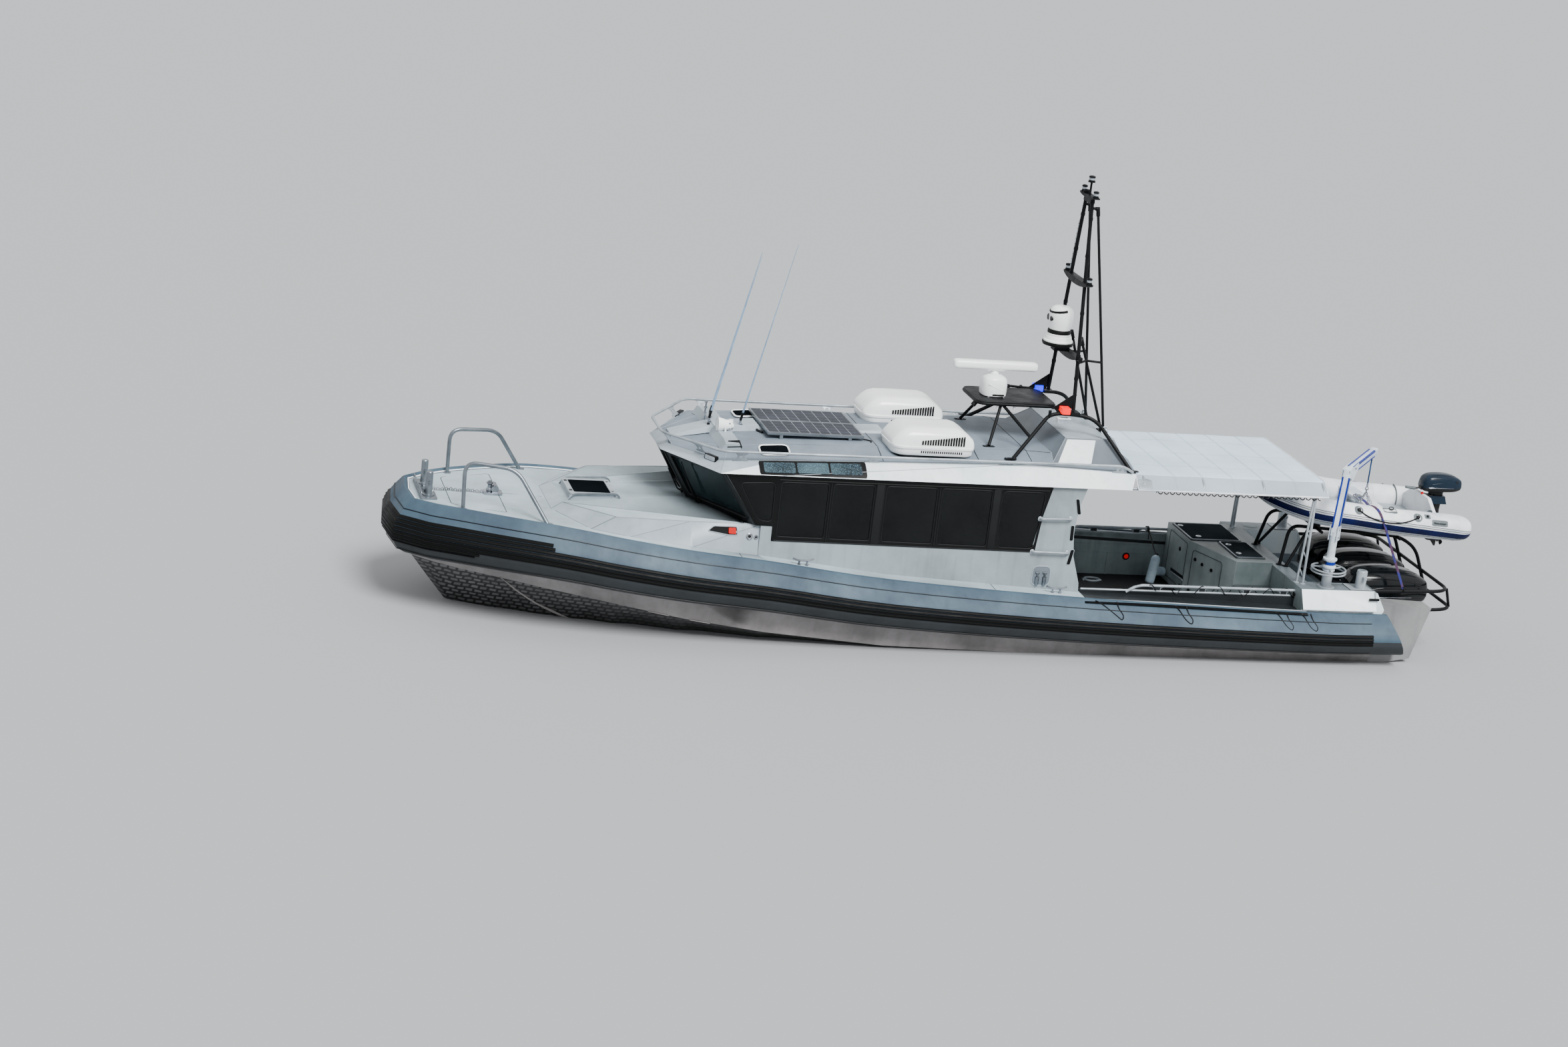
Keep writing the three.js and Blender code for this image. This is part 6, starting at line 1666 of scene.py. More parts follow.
def shapeCamera():
    x, z = camera["x"], camera["base"]
    bm = bmesh.new()
    for profile, material in camera["baseForms"]:
        addTurned(bm, profile, (x, 0, z), 40, material)
    piece("cameraBase", bm, "boat", "whitePlastic blackTrim", replaced="camera_base")
    z += 0.1088
    bm = bmesh.new()
    for profile, material in camera["headForms"]:
        addTurned(bm, profile, (x, 0, z), 40, material)
    for y in (-0.05, 0.055):
        addTube(bm, [(x + 0.08, y, z + 0.215), (x + 0.1545, y, z + 0.215)], 0.04 if y < 0 else 0.03, 24, 1)
        addTube(bm, [(x + 0.15, y, z + 0.215), (x + 0.1552, y, z + 0.215)], 0.028 if y < 0 else 0.02, 20, 2)
    turns = [math.radians(a) for a in range(-100, 101, 20)]
    visor = [(x + 0.157 * math.cos(a), 0.157 * math.sin(a), z + 0.325 - 0.03 * math.cos(a)) for a in turns]
    visor = [Vector((px - (px - x) * 0.1, py * 0.9, pz)) for px, py, pz in visor]
    addTube(bm, visor, 0.016, 10, 1)
    piece("cameraHead", bm, "camera_head", "whitePlastic blackTrim darkGlass",
        replaced="camera_head", smooth=40)


shapeRadarShelf()
shapeRadar()
shapeBeacons()
shapeMast()
shapeCamera()
print("radar, mast and camera made")


cockpit = {
    "rail": [(-2.69, 1.213, 0.755), (-2.84, 1.213, 0.845), (-4.97, 1.213, 0.845)], "railSize": 0.0188,
    "posts": [-3.1, -3.7, -4.3, -4.8], "bitt": (-5.79, 1.29), "pad": (-5.62, -5.93, 1.12, 1.4),
    "rings": [(-3.06, -0.93), (-2.62, 0.92)], "lamp": (-3.6, -1.2, 0.457),
    "strip": [(-2.02, 1.608, 0.738), (-3.0, 1.6, 0.716), (-4.0, 1.595, 0.686), (-5.0, 1.59, 0.66)],
    "loops": [(-2.16, -2.46), (-3.2, -3.38), (-4.55, -4.73), (-4.9, -5.06)],
}


def shapeSternDeck():
    bm = cadShape("stern_deck")

    def look(centre, normal):
        # The stern deck's forward face takes the dark panel tone: painted shade under the canopy
        if centre.x > -5.16 and abs(centre.y) < 1.12 and normal.z < 0.5 and abs(normal.x) > 0.5:
            return 4
        if centre.x > -4.97 and abs(centre.y) > 1.15:
            return 2 if abs(centre.y) < 1.205 else 3
        return 0 if normal.z > 0.93 else 1

    paintFaces(bm, look)
    for face in bm.faces:
        centre = face.calc_center_median()
        if abs(centre.x + 4.9505) < 0.003:
            face.material_index = 2
    piece("sternDeck", bm, "boat",
        "sternPaint whitePaint cockpitPaint gunwalePaint panelPaint", replaced="stern_deck", smooth=24,
        turnOut=False)
    bm = bmesh.new()
    addTube(bm, cockpit["rail"], cockpit["railSize"], 16, bend=0.1, steps=7)
    for x in cockpit["posts"]:
        addRailPlate(bm, (x, 1.213, 0.766), (x, 1.213, 0.835), (1, 0, 0))
    top = [(-2.09, 1.2125, 0.7765), (-4.95, 1.2125, 0.7765)]
    addTube(bm, top, 0.0135, 12)
    x, y = cockpit["bitt"]
    addTurned(bm, [(0, 0), (0.068, 0), (0.067, 0.225), (0.06, 0.236), (0, 0.2375)], (x, y, 0.9302), 32)
    addTube(bm, [(x, y - 0.12, 1.09), (x, y - 0.112, 1.09), (x, y + 0.112, 1.09), (x, y + 0.12, 1.09)],
        0.021, 14)
    x0, x1, y0, y1 = cockpit["pad"]
    pad = corners(oblong(x0, x1, y0, y1), 0.02)
    addLevel(bm, pad, (0, 0, 0.9302), 0.004, 0.001)
    addMirror(bm)
    addTurned(bm, flange(0.112, 0.007, 0.1, 0.012, 0.012), (-5.33, 1.27, 0.9302), 36)
    addTurned(bm, oblong(0.05, 0.0645, 0, 0.215), (-5.33, 1.27, 0.936), 36, loop=True)
    for k in range(8):
        a = math.radians(k * 45 + 22)
        addTurned(bm, [(0, 0), (0.009, 0), (0.009, 0.008), (0, 0.01)],
            (-5.33 + 0.09 * math.cos(a), 1.27 + 0.09 * math.sin(a), 0.942), 6)
    piece("cockpitRails", bm, "boat", "railPaint")
    bm = bmesh.new()
    addLoop(bm, [(a, b, 0.9345) for a, b, _ in pad], 0.0028, 0, 6)
    slopeOut = Vector((0, 0.84, 0.545))
    for step in (-0.045, 0.045):
        foot = Vector((-5.915 + step, 1.466, 0.83))
        addTube(bm, [foot, foot + slopeOut * 0.03], 0.013, 12)
    addTube(bm, [Vector((x, 1.466, 0.83)) + slopeOut * 0.034 for x in (-5.85, -5.865, -5.965, -5.98)],
        0.017, 12)
    addTube(bm, [(-4.9445, 1.24, 0.80), (-4.925, 1.24, 0.80)], 0.018, 14)
    addTube(bm, [(-4.925, 1.24, 0.765), (-4.925, 1.24, 0.835)], 0.009, 10)
    strip = smoothLine([Vector(p) for p in cockpit["strip"]], 6)
    addTube(bm, strip, 0.022, section=oblong(-1, 1, -0.2, 0.25), up=(0, 0.3, 1))
    addTube(bm, [p + Vector((0, -0.062, 0.022)) for p in strip], 0.008, 8, 1)
    addMirror(bm)
    for x0, x1 in cockpit["loops"]:
        hang = [(x0, 0.1), (x0 * 0.7 + x1 * 0.3, 0.13), (x1 + 0.05, 0.215), (x1 - 0.02, 0.25),
            (x1 - 0.045, 0.215), (x1, 0.16), (x1 + 0.02, 0.1)]
        cord = []
        for x, reach in hang:
            edge = 1.49 + (x + 5) * 0.0033
            cord.append((x, edge + reach, deckTop(x) + 0.066 - (reach - 0.06) * 1.18))
        addTube(bm, smoothLine([Vector(p) for p in cord], 4), 0.007, 8)
    run = []
    for k in range(90):
        x = -2.95 - 2.0 * k / 89
        run.append((x, 1.213 + 0.02 * math.sin(k * 0.45), 0.81 + 0.055 * math.sin(k * 0.62)))
    addTube(bm, run, 0.006, 6)
    piece("sternTrim", bm, "boat", "blackTrim railPaint")


def shapeSole():
    bm = bmesh.new()
    for x, y in cockpit["rings"]:
        turns = [math.radians(a) for a in range(0, 360, 15)]
        addLoop(bm, [(x + 0.105 * math.cos(a), y + 0.075 * math.sin(a), 0.2085) for a in turns], 0.014, 0,
            10)
        for low, high in ((-0.13, -0.085), (0.085, 0.13)):
            addBox(bm, (x + low, y - 0.028, 0.2005), (x + high, y + 0.028, 0.212), 0, 0.004)
    piece("soleRings", bm, "boat", "railPaint")
    bm = bmesh.new()
    x, y, z = cockpit["lamp"]
    addTurned(bm, flange(0.05, 0.008, 0.036, 0.012, 0.012), (x, y, z), 24, 0, axis=(0, 1, 0))
    addTurned(bm, [(0, 0), (0.035, 0), (0.03, 0.017), (0, 0.019)], (x, y, z), 24, 1, axis=(0, 1, 0))
    piece("cockpitLamp", bm, "boat", "blackTrim redLamp")
    bm = bmesh.new()
    for side in (-1, 1):
        for z, size in ((0.505, 0.004), (0.62, 0.0025)):
            addTube(bm, [(2.25, side * 1.1995, z), (-4.94, side * 1.1995, z)], size, 6)
        for x in (-2.4, -3.35, -4.05):
            addBox(bm, (x - 0.02, side * 1.1995 - 0.006, 0.2), (x + 0.02, side * 1.1995 + 0.006, 0.5), 0)
    piece("wallSeams", bm, "boat", "cockpitPaint")


locker = {
    "latches": [("locker_lid_large", -4.21, -0.98), ("locker_lid_large", -4.29, -0.52),
        ("locker_lid_small", -4.585, -0.2),
                ("locker_lid_small", -4.585, 0.16)],
    "lids": [("Large", "locker_lid_large", -4.84, -4.15, -1.1, -0.4),
        ("Small", "locker_lid_small", -4.89, -4.5, -0.34, 0.31)],
}


def addLatch(bm, place, axis, size):
    plate = [(0, 0), (size, 0), (size, 0.003), (size * 0.85, 0.006), (size * 0.8, 0.002), (0, 0.002)]
    addTurned(bm, plate, place, 20, 1, axis=axis)
    addTurned(bm, [(0, 0.002), (size * 0.4, 0.002), (size * 0.36, 0.006), (0, 0.0065)], place, 14, 1,
        axis=axis)


def shapeLocker():
    bm = cadShape("cockpit_locker")

    # Faces take tones by the way they turn: the forward face a lighter copy and the port face a darker copy
    # of the locker paint, painted light and shade; upward faces take the locker paint or the seat tone,
    # other faces the lid tone
    def look(centre, normal):
        if normal.z > 0.9:
            return 1 if centre.z > 0.9 else 2
        return 3 if normal.y > 0.9 else 4 if normal.x > 0.3 else 0

    paintFaces(bm, look)
    piece("locker", bm, "boat", "lidPaint lockerPaint seatTrim lockerFace lockerFront",
        replaced="cockpit_locker", smooth=24, bevel=0.006, turnOut=False)
    bm = bmesh.new()
    panel = corners(oblong(1.05, 0.43, 0.28, 0.9), 0.04)
    addLoop(bm, [(-4.1193, -a, b) for a, b, _ in panel], 0.004, 0, 6)
    slot = [(-0.87, 0.43), (-0.43, 0.455), (-0.4, 0.41), (-0.86, 0.38)]
    addPatch(bm, [(-4.12, y, z) for y, z in slot], (1, 0, 0), 0.004, 1)
    addTube(bm, [(-4.114, -0.87, 0.378), (-4.114, -0.41, 0.405)], 0.012, 10, 2)
    for y, z in ((-0.66, 0.755), (-0.5, 0.3)):
        addLatch(bm, (-4.12, y, z), (1, 0, 0), 0.03)
    a, b = Vector((-4.12, -0.4, 0)), Vector((-4.45, 0.45, 0))
    along = (b - a).normalized()
    out = Vector((along.y, -along.x, 0))

    def onFace(step, z, lift=0.0):
        spot = a + along * step + out * lift
        return Vector((spot.x, spot.y, z))

    door = corners(oblong(0.1, 0.66, 0.28, 0.86), 0.05)
    addLoop(bm, [onFace(s, z, 0.001) for s, z, _ in door], 0.004, 0, 6)
    for step, z in ((0.16, 0.745), (0.3, 0.72), (0.48, 0.7), (0.12, 0.32), (0.6, 0.34)):
        addLatch(bm, onFace(step, z), out, 0.024)
    for _, _, x0, x1, y0, y1 in locker["lids"]:
        edge = corners(oblong(x0 - 0.012, x1 + 0.012, y0 - 0.012, y1 + 0.012), 0.03)
        addLoop(bm, [(x, y, 0.9605) for x, y, _ in edge], 0.0045, 1, 6)
    piece("lockerTrim", bm, "boat", "lidPaint blackTrim railPaint")
    for label, name, x0, x1, y0, y1 in locker["lids"]:
        bm = bmesh.new()
        outline = corners(oblong(x0, x1, y0, y1), 0.035)
        addLevel(bm, outline, (0, 0, 0.9604), 0.0185, 0.003, 1)
        top = corners(oblong(x0 + 0.016, x1 - 0.016, y0 + 0.016, y1 - 0.016), 0.03)
        addLevel(bm, top, (0, 0, 0.9785), 0.003, 0.001)
        for body, lx, ly in locker["latches"]:
            if body == name:
                addTurned(bm, [(0, 0), (0.038, 0), (0.036, 0.003), (0.03, 0.0035), (0, 0.0035)],
                    (lx, ly, 0.9813), 24, 2)
                addTurned(bm, [(0, 0.003), (0.013, 0.003), (0.012, 0.006), (0, 0.006)], (lx, ly, 0.9813),
                    12, 1)
        piece("lockerLid" + label, bm, name, "lidPaint bareMetal steel", replaced=name)
    bm = bmesh.new()
    pad = corners([(-4.93, 0.462), (-4.45, 0.462), (-4.225, 0.765), (-4.225, 1.165), (-4.93, 1.165)], 0.04,
        3)
    rings = []
    for z, grow in ((0.6005, -0.006), (0.612, 0.004), (0.64, 0.006), (0.653, 0.0), (0.658, -0.016),
            (0.66, -0.04)):
        rings.append([(x + grow * (1 if x > -4.6 else -0.2), y + grow * (1 if y > 0.8 else -1), z)
            for x, y, _ in pad])
    addRings(bm, rings)
    cushion = piece("seatPad", bm, "boat", "seatTrim", smooth=60)


fender = {"run": [(-3.8, -0.76, 0.24), (-3.88, -0.83, 0.59)], "size": 0.062,
    "strap": [(-3.88, -0.83, 0.57), (-3.868, -1.1, 0.775), (-3.862, -1.19, 0.846)]}


def shapeFender():
    a, b = (Vector(p) for p in fender["run"])
    axis = (b - a).normalized()
    length = (b - a).length
    bm = bmesh.new()
    profile = [(0, 0.03), (0.03, 0.012), (0.045, 0.0), (0.056, 0.006), (0.0615, 0.03),
        (0.062, length * 0.5), (0.0615, length - 0.05), (0.054, length - 0.02), (0.035, length),
        (0.02, length + 0.012), (0.012, length + 0.014), (0, length + 0.014)]
    addTurned(bm, profile, a, 28, axis=axis)
    body = piece("fenderBody", bm, "boat", "fenderVinyl", replaced="fender", smooth=50)
    bm = bmesh.new()
    addTube(bm, fender["strap"], 0.009, 10, bend=0.05)
    knot = Vector((-3.862, -1.213, 0.845))
    addRing(bm, knot, (1, 0, 0), 0.03, 0.008, 20)
    addRing(bm, knot + Vector((0.02, 0, 0)), (1, 0.2, 0), 0.03, 0.008, 20)
    addTube(bm, [knot + Vector((0, 0.02, -0.03)), knot + Vector((0, 0.05, -0.06)),
        knot + Vector((-0.005, 0.045, -0.14))], 0.006, 8, bend=0.02)
    addTurned(bm, [(0, 0), (0.022, 0), (0.018, 0.02), (0.01, 0.03), (0, 0.03)], b + axis * 0.008, 14,
        axis=axis)
    piece("fenderStrap", bm, "boat", "strapWeb")
    bm = bmesh.new()
    addTurned(bm, [(r, h * 0.6) for r, h in profile], (-3.885, -1.0, 0.33), 24, axis=(-0.72, -0.04, -0.03))
    spare = piece("fenderSpare", bm, "boat", "fenderVinyl", smooth=50)


canopy = {
    "fore": -2.66, "aft": -5.2, "edge": 1.213, "top": 2.2345, "low": 2.076, "sag": 0.012,
    "bows": [-2.76, -3.55, -4.35, -5.16], "pipe": 0.0165,
}
canopyHalf = [(0.0, canopy["top"]), (0.3, canopy["top"]), (0.6, canopy["top"] - 0.001),
    (0.85, canopy["top"] - 0.002), (0.98, canopy["top"] - 0.006), (1.03, canopy["top"] - 0.018),
    (1.075, canopy["top"] - 0.05), (1.13, 2.145), (1.18, 2.098), (canopy["edge"], canopy["low"])]
canopyRow = [(-y, z) for y, z in reversed(canopyHalf[1:])] + canopyHalf


# Place on the cloth, which sags a little between its bows
def onCanopy(x, k, lift=0.0):
    y, z = canopyRow[k]
    drop = 0.0
    for fore, aft in zip(canopy["bows"], canopy["bows"][1:]):
        if aft <= x <= fore:
            drop = math.sin(math.pi * (fore - x) / (fore - aft)) ** 2
    flat = 1 - (abs(y) / 1.04) ** 4 if abs(y) < 1.04 else 0
    sag = canopy["sag"] * drop * (0.2 + 0.8 * flat if abs(y) < 1.1 else 0)
    pull = 0.0012 * math.sin(x * 23 + y * 9) * flat * drop
    return Vector((x, y, z - sag + pull + lift))


def shapeCanopy():
    bm = bmesh.new()
    long, count = canopy["aft"] - canopy["fore"], len(canopyRow)
    grid = [[bm.verts.new(onCanopy(canopy["fore"] + long * i / 60, k)) for k in range(count)]
        for i in range(61)]
    for a, b in zip(grid, grid[1:]):
        for k in range(count - 1):
            face = bm.faces.new((a[k], a[k + 1], b[k + 1], b[k]))
            # The rows near each edge, the canopy's sides, take a darker copy of the cloth: painted shade
            face.material_index = 1 if min(k, count - 2 - k) < 4 else 0
    return piece("canopyCloth", bm, "boat", "canopyCloth canopySide",
        replaced="canopy_cover", smooth=20)


shapeSternDeck()
shapeSole()
shapeLocker()
shapeFender()
canopyCloth = shapeCanopy()
print("cockpit made")


def shapeCanopyFrame():
    bm = bmesh.new()
    for x in canopy["bows"]:
        bow = [(x, 1.165, 2.076), (x, 1.128, 2.143), (x, 1.06, 2.196), (x, 0.96, 2.2065), (x, 0.5, 2.2068)]
        addTube(bm, [*(Vector(p) for p in bow), *flipped(reversed(bow))], canopy["pipe"], 14, bend=0.05)
    for side in (-1, 1):
        addTube(bm, [(-2.46, side * 1.165, 2.076), (-5.18, side * 1.165, 2.076)], 0.0168, 14)
        addTube(bm, [(-5.05, side * 1.19, 0.93), (-5.05, side * 1.165, 2.076)], 0.0175, 14)
        addTube(bm, [(-4.99, side * 1.13, 0.93), (-5.03, side * 1.165, 2.076)], 0.0155, 14)
        for z in (1.0, 1.25, 1.5, 1.75):
            addTube(bm, [(-5.05, side * 1.187, z), (-5.005, side * 1.142, z + 0.11)], 0.007, 10)
        for x in canopy["bows"]:
            addTube(bm, [(x - 0.03, side * 1.165, 2.076), (x + 0.03, side * 1.165, 2.076)], 0.0215, 14)
        for x, y in ((-5.05, 1.19), (-4.99, 1.13)):
            addTurned(bm, flange(0.038, 0.005, 0.02, 0.012, 0.012), (x, side * y, 0.9303), 18)
    piece("canopyPipes", bm, "boat", "railPaint", replaced="canopy_frame")


def shapeCanopyTrim():
    bm = bmesh.new()
    edge, low = canopy["edge"], canopy["low"]
    for side in (-1, 1):
        rope = []
        for k in range(168):
            a = 2 * math.pi * k / 6
            x = -2.9 - 2.2 * k / 167
            rope.append((x, side * (1.184 + 0.026 * math.cos(a)), 2.052 + 0.024 * math.sin(a)))
        addTube(bm, rope, 0.007, 6)
        addTube(bm, [(canopy["fore"], side * (edge - 0.001), low),
            (canopy["aft"], side * (edge - 0.001), low)], 0.0105, 10, 1)
        plate = corners([(-0.09, 0), (0.09, 0), (0.09, 0.13), (-0.02, 0.15), (-0.09, 0.13)], 0.02)
        holes = [circle(-0.045, 0.1, 0.012, 12), circle(0.045, 0.095, 0.012, 12)]
        addPlate(bm, plate, holes, 0.004, (-2.765, side * 1.196, 2.09), (1, 0, 0), (0, -side * 0.76, 0.65),
            (0, side * 0.65, 0.76), 2, 0.001)
    for x in (canopy["fore"] - 0.004, canopy["aft"] + 0.004):
        addTube(bm, [(x, y, z + 0.001) for y, z in canopyRow], 0.008, 8, 1)
    return piece("canopyHem", bm, "boat", "strapWeb tenderSkin railPaint")


def shapeCanopySeams():
    bm = bmesh.new()
    inner = range(1, len(canopyRow) - 1)
    # Seams are drawn in the darker copy of the cloth: painted shade along them
    for x in (-3.18, -3.55, -3.95, -4.35, -4.78):
        for gap in (-0.009, 0.009):
            addTube(bm, [onCanopy(x + gap, k, 0.0008) for k in inner], 0.0013, 4, 1)
    for k in (4, 7, len(canopyRow) // 2, len(canopyRow) - 8, len(canopyRow) - 5):
        addTube(bm, [onCanopy(canopy["fore"] - 2.54 * i / 60, k, 0.0006) for i in range(61)], 0.0018, 5, 1)
    return piece("canopySeams", bm, "boat", "canopyCloth canopySide")


shapeCanopyFrame()
canopyHem = shapeCanopyTrim()
canopySeams = shapeCanopySeams()


davit = {
    "foot": (-5.33, 1.27), "elbow": (-5.44, 1.12, 2.4), "tip": (-6.06, 0.5, 2.52), "fall": (-6.03, 0.53),
    "ring": 0.215, "stripe": 0.0095,
}


def squareBeam(bm, low, high, half, toward):
    addTube(bm, [low, high], half, section=corners(oblong(-1, 1, -1, 1), 0.35, 3), up=toward)


def shapeDavit():
    x, y = davit["foot"]
    elbow, tip = Vector(davit["elbow"]), Vector(davit["tip"])
    bm = bmesh.new()
    addTurned(bm, [(0, 0), (0.041, 0), (0.0405, 0.27), (0, 0.27)], (x, y, 0.9368), 28)
    addTurned(bm, [(0.0, 0), (0.078, 0), (0.078, 0.012), (0.064, 0.014), (0.062, 0.03), (0, 0.03)],
        (x, y, 1.1515), 28)
    addTube(bm, [(x, y, 1.18), (x, y, 1.66)], 0.05, 28)
    addTurned(bm, [(0, 0), (0.088, 0), (0.088, 0.02), (0.07, 0.026), (0.07, 0.094), (0.088, 0.1),
        (0.088, 0.12), (0, 0.12)], (x, y, 1.19), 28)
    addTurned(bm, oblong(0.07, 0.0725, 0.04, 0.08), (x, y, 1.19), 28, 1, loop=True)
    toward = (0.6, 1, 0)
    foot = Vector((x, y, 1.6))
    squareBeam(bm, foot, elbow + Vector((0, 0, 0.02)), 0.05, toward)
    low = elbow + (tip - elbow).normalized() * -0.03 + Vector((0, 0, -0.01))
    squareBeam(bm, low, tip, 0.046, (0, 0, 1))
    away = (tip - elbow).normalized()
    flat = away.cross(zenith).normalized()
    for side in (-1, 1):
        cheek = [elbow + away * a + zenith * b for a, b in (
            (-0.01, -0.2), (-0.06, 0.045), (0.22, 0.06), (0.24, -0.02))]
        addPatch(bm, [p + flat * side * 0.047 for p in cheek], flat * side, 0.006, 0, 0.0)
        low = foot + (elbow - foot).normalized() * 0.02
        foreAft = flat.cross(zenith)
        cheek = [low + foreAft * a + zenith * b for a, b in (
            (-0.06, -0.07), (0.06, -0.07), (0.045, 0.12), (-0.045, 0.12))]
        addPatch(bm, [p + flat * side * 0.05 for p in cheek], flat * side, 0.006, 0, 0.0)
        for spot in (elbow - zenith * 0.09, elbow + away * 0.12 + zenith * 0.02, low - zenith * 0.03,
                low + zenith * 0.07):
            addTurned(bm, [(0, 0), (0.013, 0), (0.012, 0.008), (0, 0.01)], spot + flat * side * 0.055, 8, 2,
                axis=flat * side)
    for start, end, half, toward in ((foot, elbow + Vector((0, 0, 0.02)), 0.05, toward),
            (elbow, tip, 0.046, (0, 0, 1))):
        axis = (end - start).normalized()
        level = Vector(toward).cross(axis).normalized()
        rise = axis.cross(level)
        for outward, other in ((level, rise), (-level, rise), (rise, level), (-rise, level)):
            for edge in (-0.76, 0.76):
                shift = outward * (half + 0.0006) + other * edge * half
                addTube(bm, [start + axis * 0.1 + shift, end - axis * 0.09 + shift], davit["stripe"], 12, 1,
                    section=oblong(-1, 1, -0.12, 0.12), up=outward)
    for z in (1.135, 1.172):
        addRing(bm, (x, y, z), (0, 0, 1), davit["ring"], 0.0115, 40, 3)
    for k in range(3):
        a = math.radians(120 * k + 200)
        addTube(bm, [(x + 0.06 * math.cos(a), y + 0.06 * math.sin(a), 1.165),
            (x + davit["ring"] * math.cos(a), y + davit["ring"] * math.sin(a), 1.165)], 0.009, 10, 3)
    addTube(bm, [(x + 0.07, y + 0.02, 1.255), (x + 0.16, y + 0.045, 1.262)], 0.021, 14, 4)
    fx, fy = davit["fall"]
    for side in (-1, 1):
        sheave = Vector((fx, fy, 2.52)) + flat * side * 0.014
        cheek = [sheave + away * a + zenith * b for a, b in (
            (-0.03, -0.02), (0.05, -0.02), (0.02, -0.1), (-0.02, -0.1))]
        addPatch(bm, cheek, flat * side, 0.004, 0, 0.0)
    addTurned(bm, [(0, -0.011), (0.028, -0.011), (0.02, 0), (0.028, 0.011), (0, 0.011)],
        Vector((fx, fy, 2.445)), 20, 2, axis=flat)
    piece("davitArm", bm, "davit", "davitSilver davitBlue steel railPaint blackTrim",
        replaced="davit")
    bm = bmesh.new()
    addTube(bm, [(fx, fy, 2.44), (fx, fy, 2.08)], 0.009, 10)
    addTurned(bm, [(0, 0), (0.011, 0.002), (0.014, 0.03), (0.009, 0.05), (0, 0.052)], (fx, fy, 2.045), 12,
        1)
    addRing(bm, (fx, fy, 2.025), (0.3, 1, 0), 0.02, 0.006, 16, 1)
    addRing(bm, (fx, fy, 1.995), (1, -0.3, 0), 0.022, 0.006, 16, 1)
    for dx, dy in ((0.1, 0.02), (-0.08, 0.05), (-0.02, 0.1), (0.03, -0.06)):
        top, low = Vector((fx, fy, 1.975)), Vector((fx + dx, fy + dy, 1.838))
        for k in range(6):
            spot = top.lerp(low, (k + 0.5) / 6)
            addRing(bm, spot, (1, 0.2, 0.1) if k % 2 else (0.1, 1, 0), 0.013, 0.0035, 10, 1)
    piece("davitFall", bm, "davit", "fallRope steel")


def shapeGuard():
    bm = bmesh.new()
    pipe = 0.0225
    for run in ([(-5.93, 1.19, 0.86), (-7.105, 1.19, 0.894)], [(-6.7, 1.19, 0.63), (-7.18, 1.19, 0.655)]):
        addTube(bm, [*(Vector(p) for p in run), *flipped(reversed(run))], pipe, 16, bend=0.24, steps=7)
    for side in (-1, 1):
        for run, size, bend in (([(-7.18, 0.34, 0.655), (-6.96, 0.34, 1.19), (-6.7, 0.34, 1.345),
                (-5.15, 0.34, 1.44), (-5.05, 0.42, 0.92)], pipe, 0.14),
                ([(-5.42, 0.34, 1.425), (-5.11, 0.48, 0.92)], 0.02, 0),
                ([(-7.175, 1.08, 0.655), (-7.105, 1.08, 0.894)], 0.018, 0)):
            addTube(bm, sided(run, side), size, 16, bend=bend, steps=7)
        addTube(bm, [(-7.085, side * 0.34, 0.86), (-7.115, side * 0.34, 0.9)], 0.027, 14)
        for x, low, rise in ((-6.6, 1.35, 1.505), (-5.5, 1.42, 1.578)):
            chock = corners(oblong(-0.055, 0.055, -0.038, 0.038), 0.012)
            addRings(bm, [[(x + a, side * (0.34 + b), z + slope * b) for a, b, _ in chock]
                for z, slope in ((low, 0), (rise, 0.3))])
        for x, y, z in ((-5.05, 0.42, 0.9305), (-5.11, 0.48, 0.9305)):
            addTurned(bm, flange(0.045, 0.006, 0.03, 0.012, 0.012), (x, side * y, z), 20)
    for x, z in ((-6.6, 1.375), (-5.5, 1.425)):
        addTube(bm, [(x, -0.56, z), (x, 0.56, z)], 0.02, 14)
    piece("engineGuard", bm, "boat", "blackCoat", replaced="stern_guard")


engine = {
    "tilt": (-6.09, 0.42), "names": [("port", 0.68, 0.0), ("centre", 0.0, 0.17), ("starboard", -0.68, 0.0)],
    # x aft of the tilt axis, half breadth, low and high edge
    "cowl": [
        (0.21, 0.15, 0.19, 0.43), (0.13, 0.235, 0.155, 0.54), (-0.03, 0.27, 0.15, 0.592),
        (-0.4, 0.27, 0.15, 0.6), (-0.69, 0.225, 0.16, 0.56), (-0.86, 0.165, 0.2, 0.48),
        (-0.89, 0.12, 0.24, 0.42)],
    "side": [
        (0.66, 0.0), (0.84, 0.05), (0.94, 0.14), (0.985, 0.24), (0.998, 0.34), (0.99, 0.48), (0.965, 0.62),
        (0.915, 0.74), (0.84, 0.84), (0.73, 0.92), (0.6, 0.965), (0.42, 0.985), (0.2, 0.997)],
    # leg rows: fore edge, half breadth, aft edge, then height, where the last two are below the bottom line
    "leg": [(-0.175, 0.058, -0.47, 0.16), (-0.18, 0.055, -0.45, -0.1), (-0.185, 0.052, -0.43, -0.36)],
    "blade": [(0.024, 0.5, 0.016), (0.08, 0.47, 0.022), (0.12, 0.42, 0.026), (0.17, 0.34, 0.024),
              (0.186, 0.22, 0.016), (0.19, 0.1, 0.012)],
}
cowlRows = smoothLine([Vector(row) for row in engine["cowl"]], 5)


def cowlPoint(x, t, side, lift=0.0):
    for fore, aft in zip(cowlRows, cowlRows[1:]):
        if aft[0] <= x <= fore[0]:
            row = fore.lerp(aft, (fore[0] - x) / (fore[0] - aft[0] + 1e-9))
            break
    for (wideA, upA), (wideB, upB) in zip(engine["side"], engine["side"][1:]):
        if upA <= t <= upB:
            wide = wideA + (wideB - wideA) * (t - upA) / (upB - upA)
    slope = max(0.0, t - 0.45) * 1.6
    return Vector((x, side * (row[1] * wide + lift * (1 - slope * 0.6)),
        row[2] + (row[3] - row[2]) * t + lift * slope))


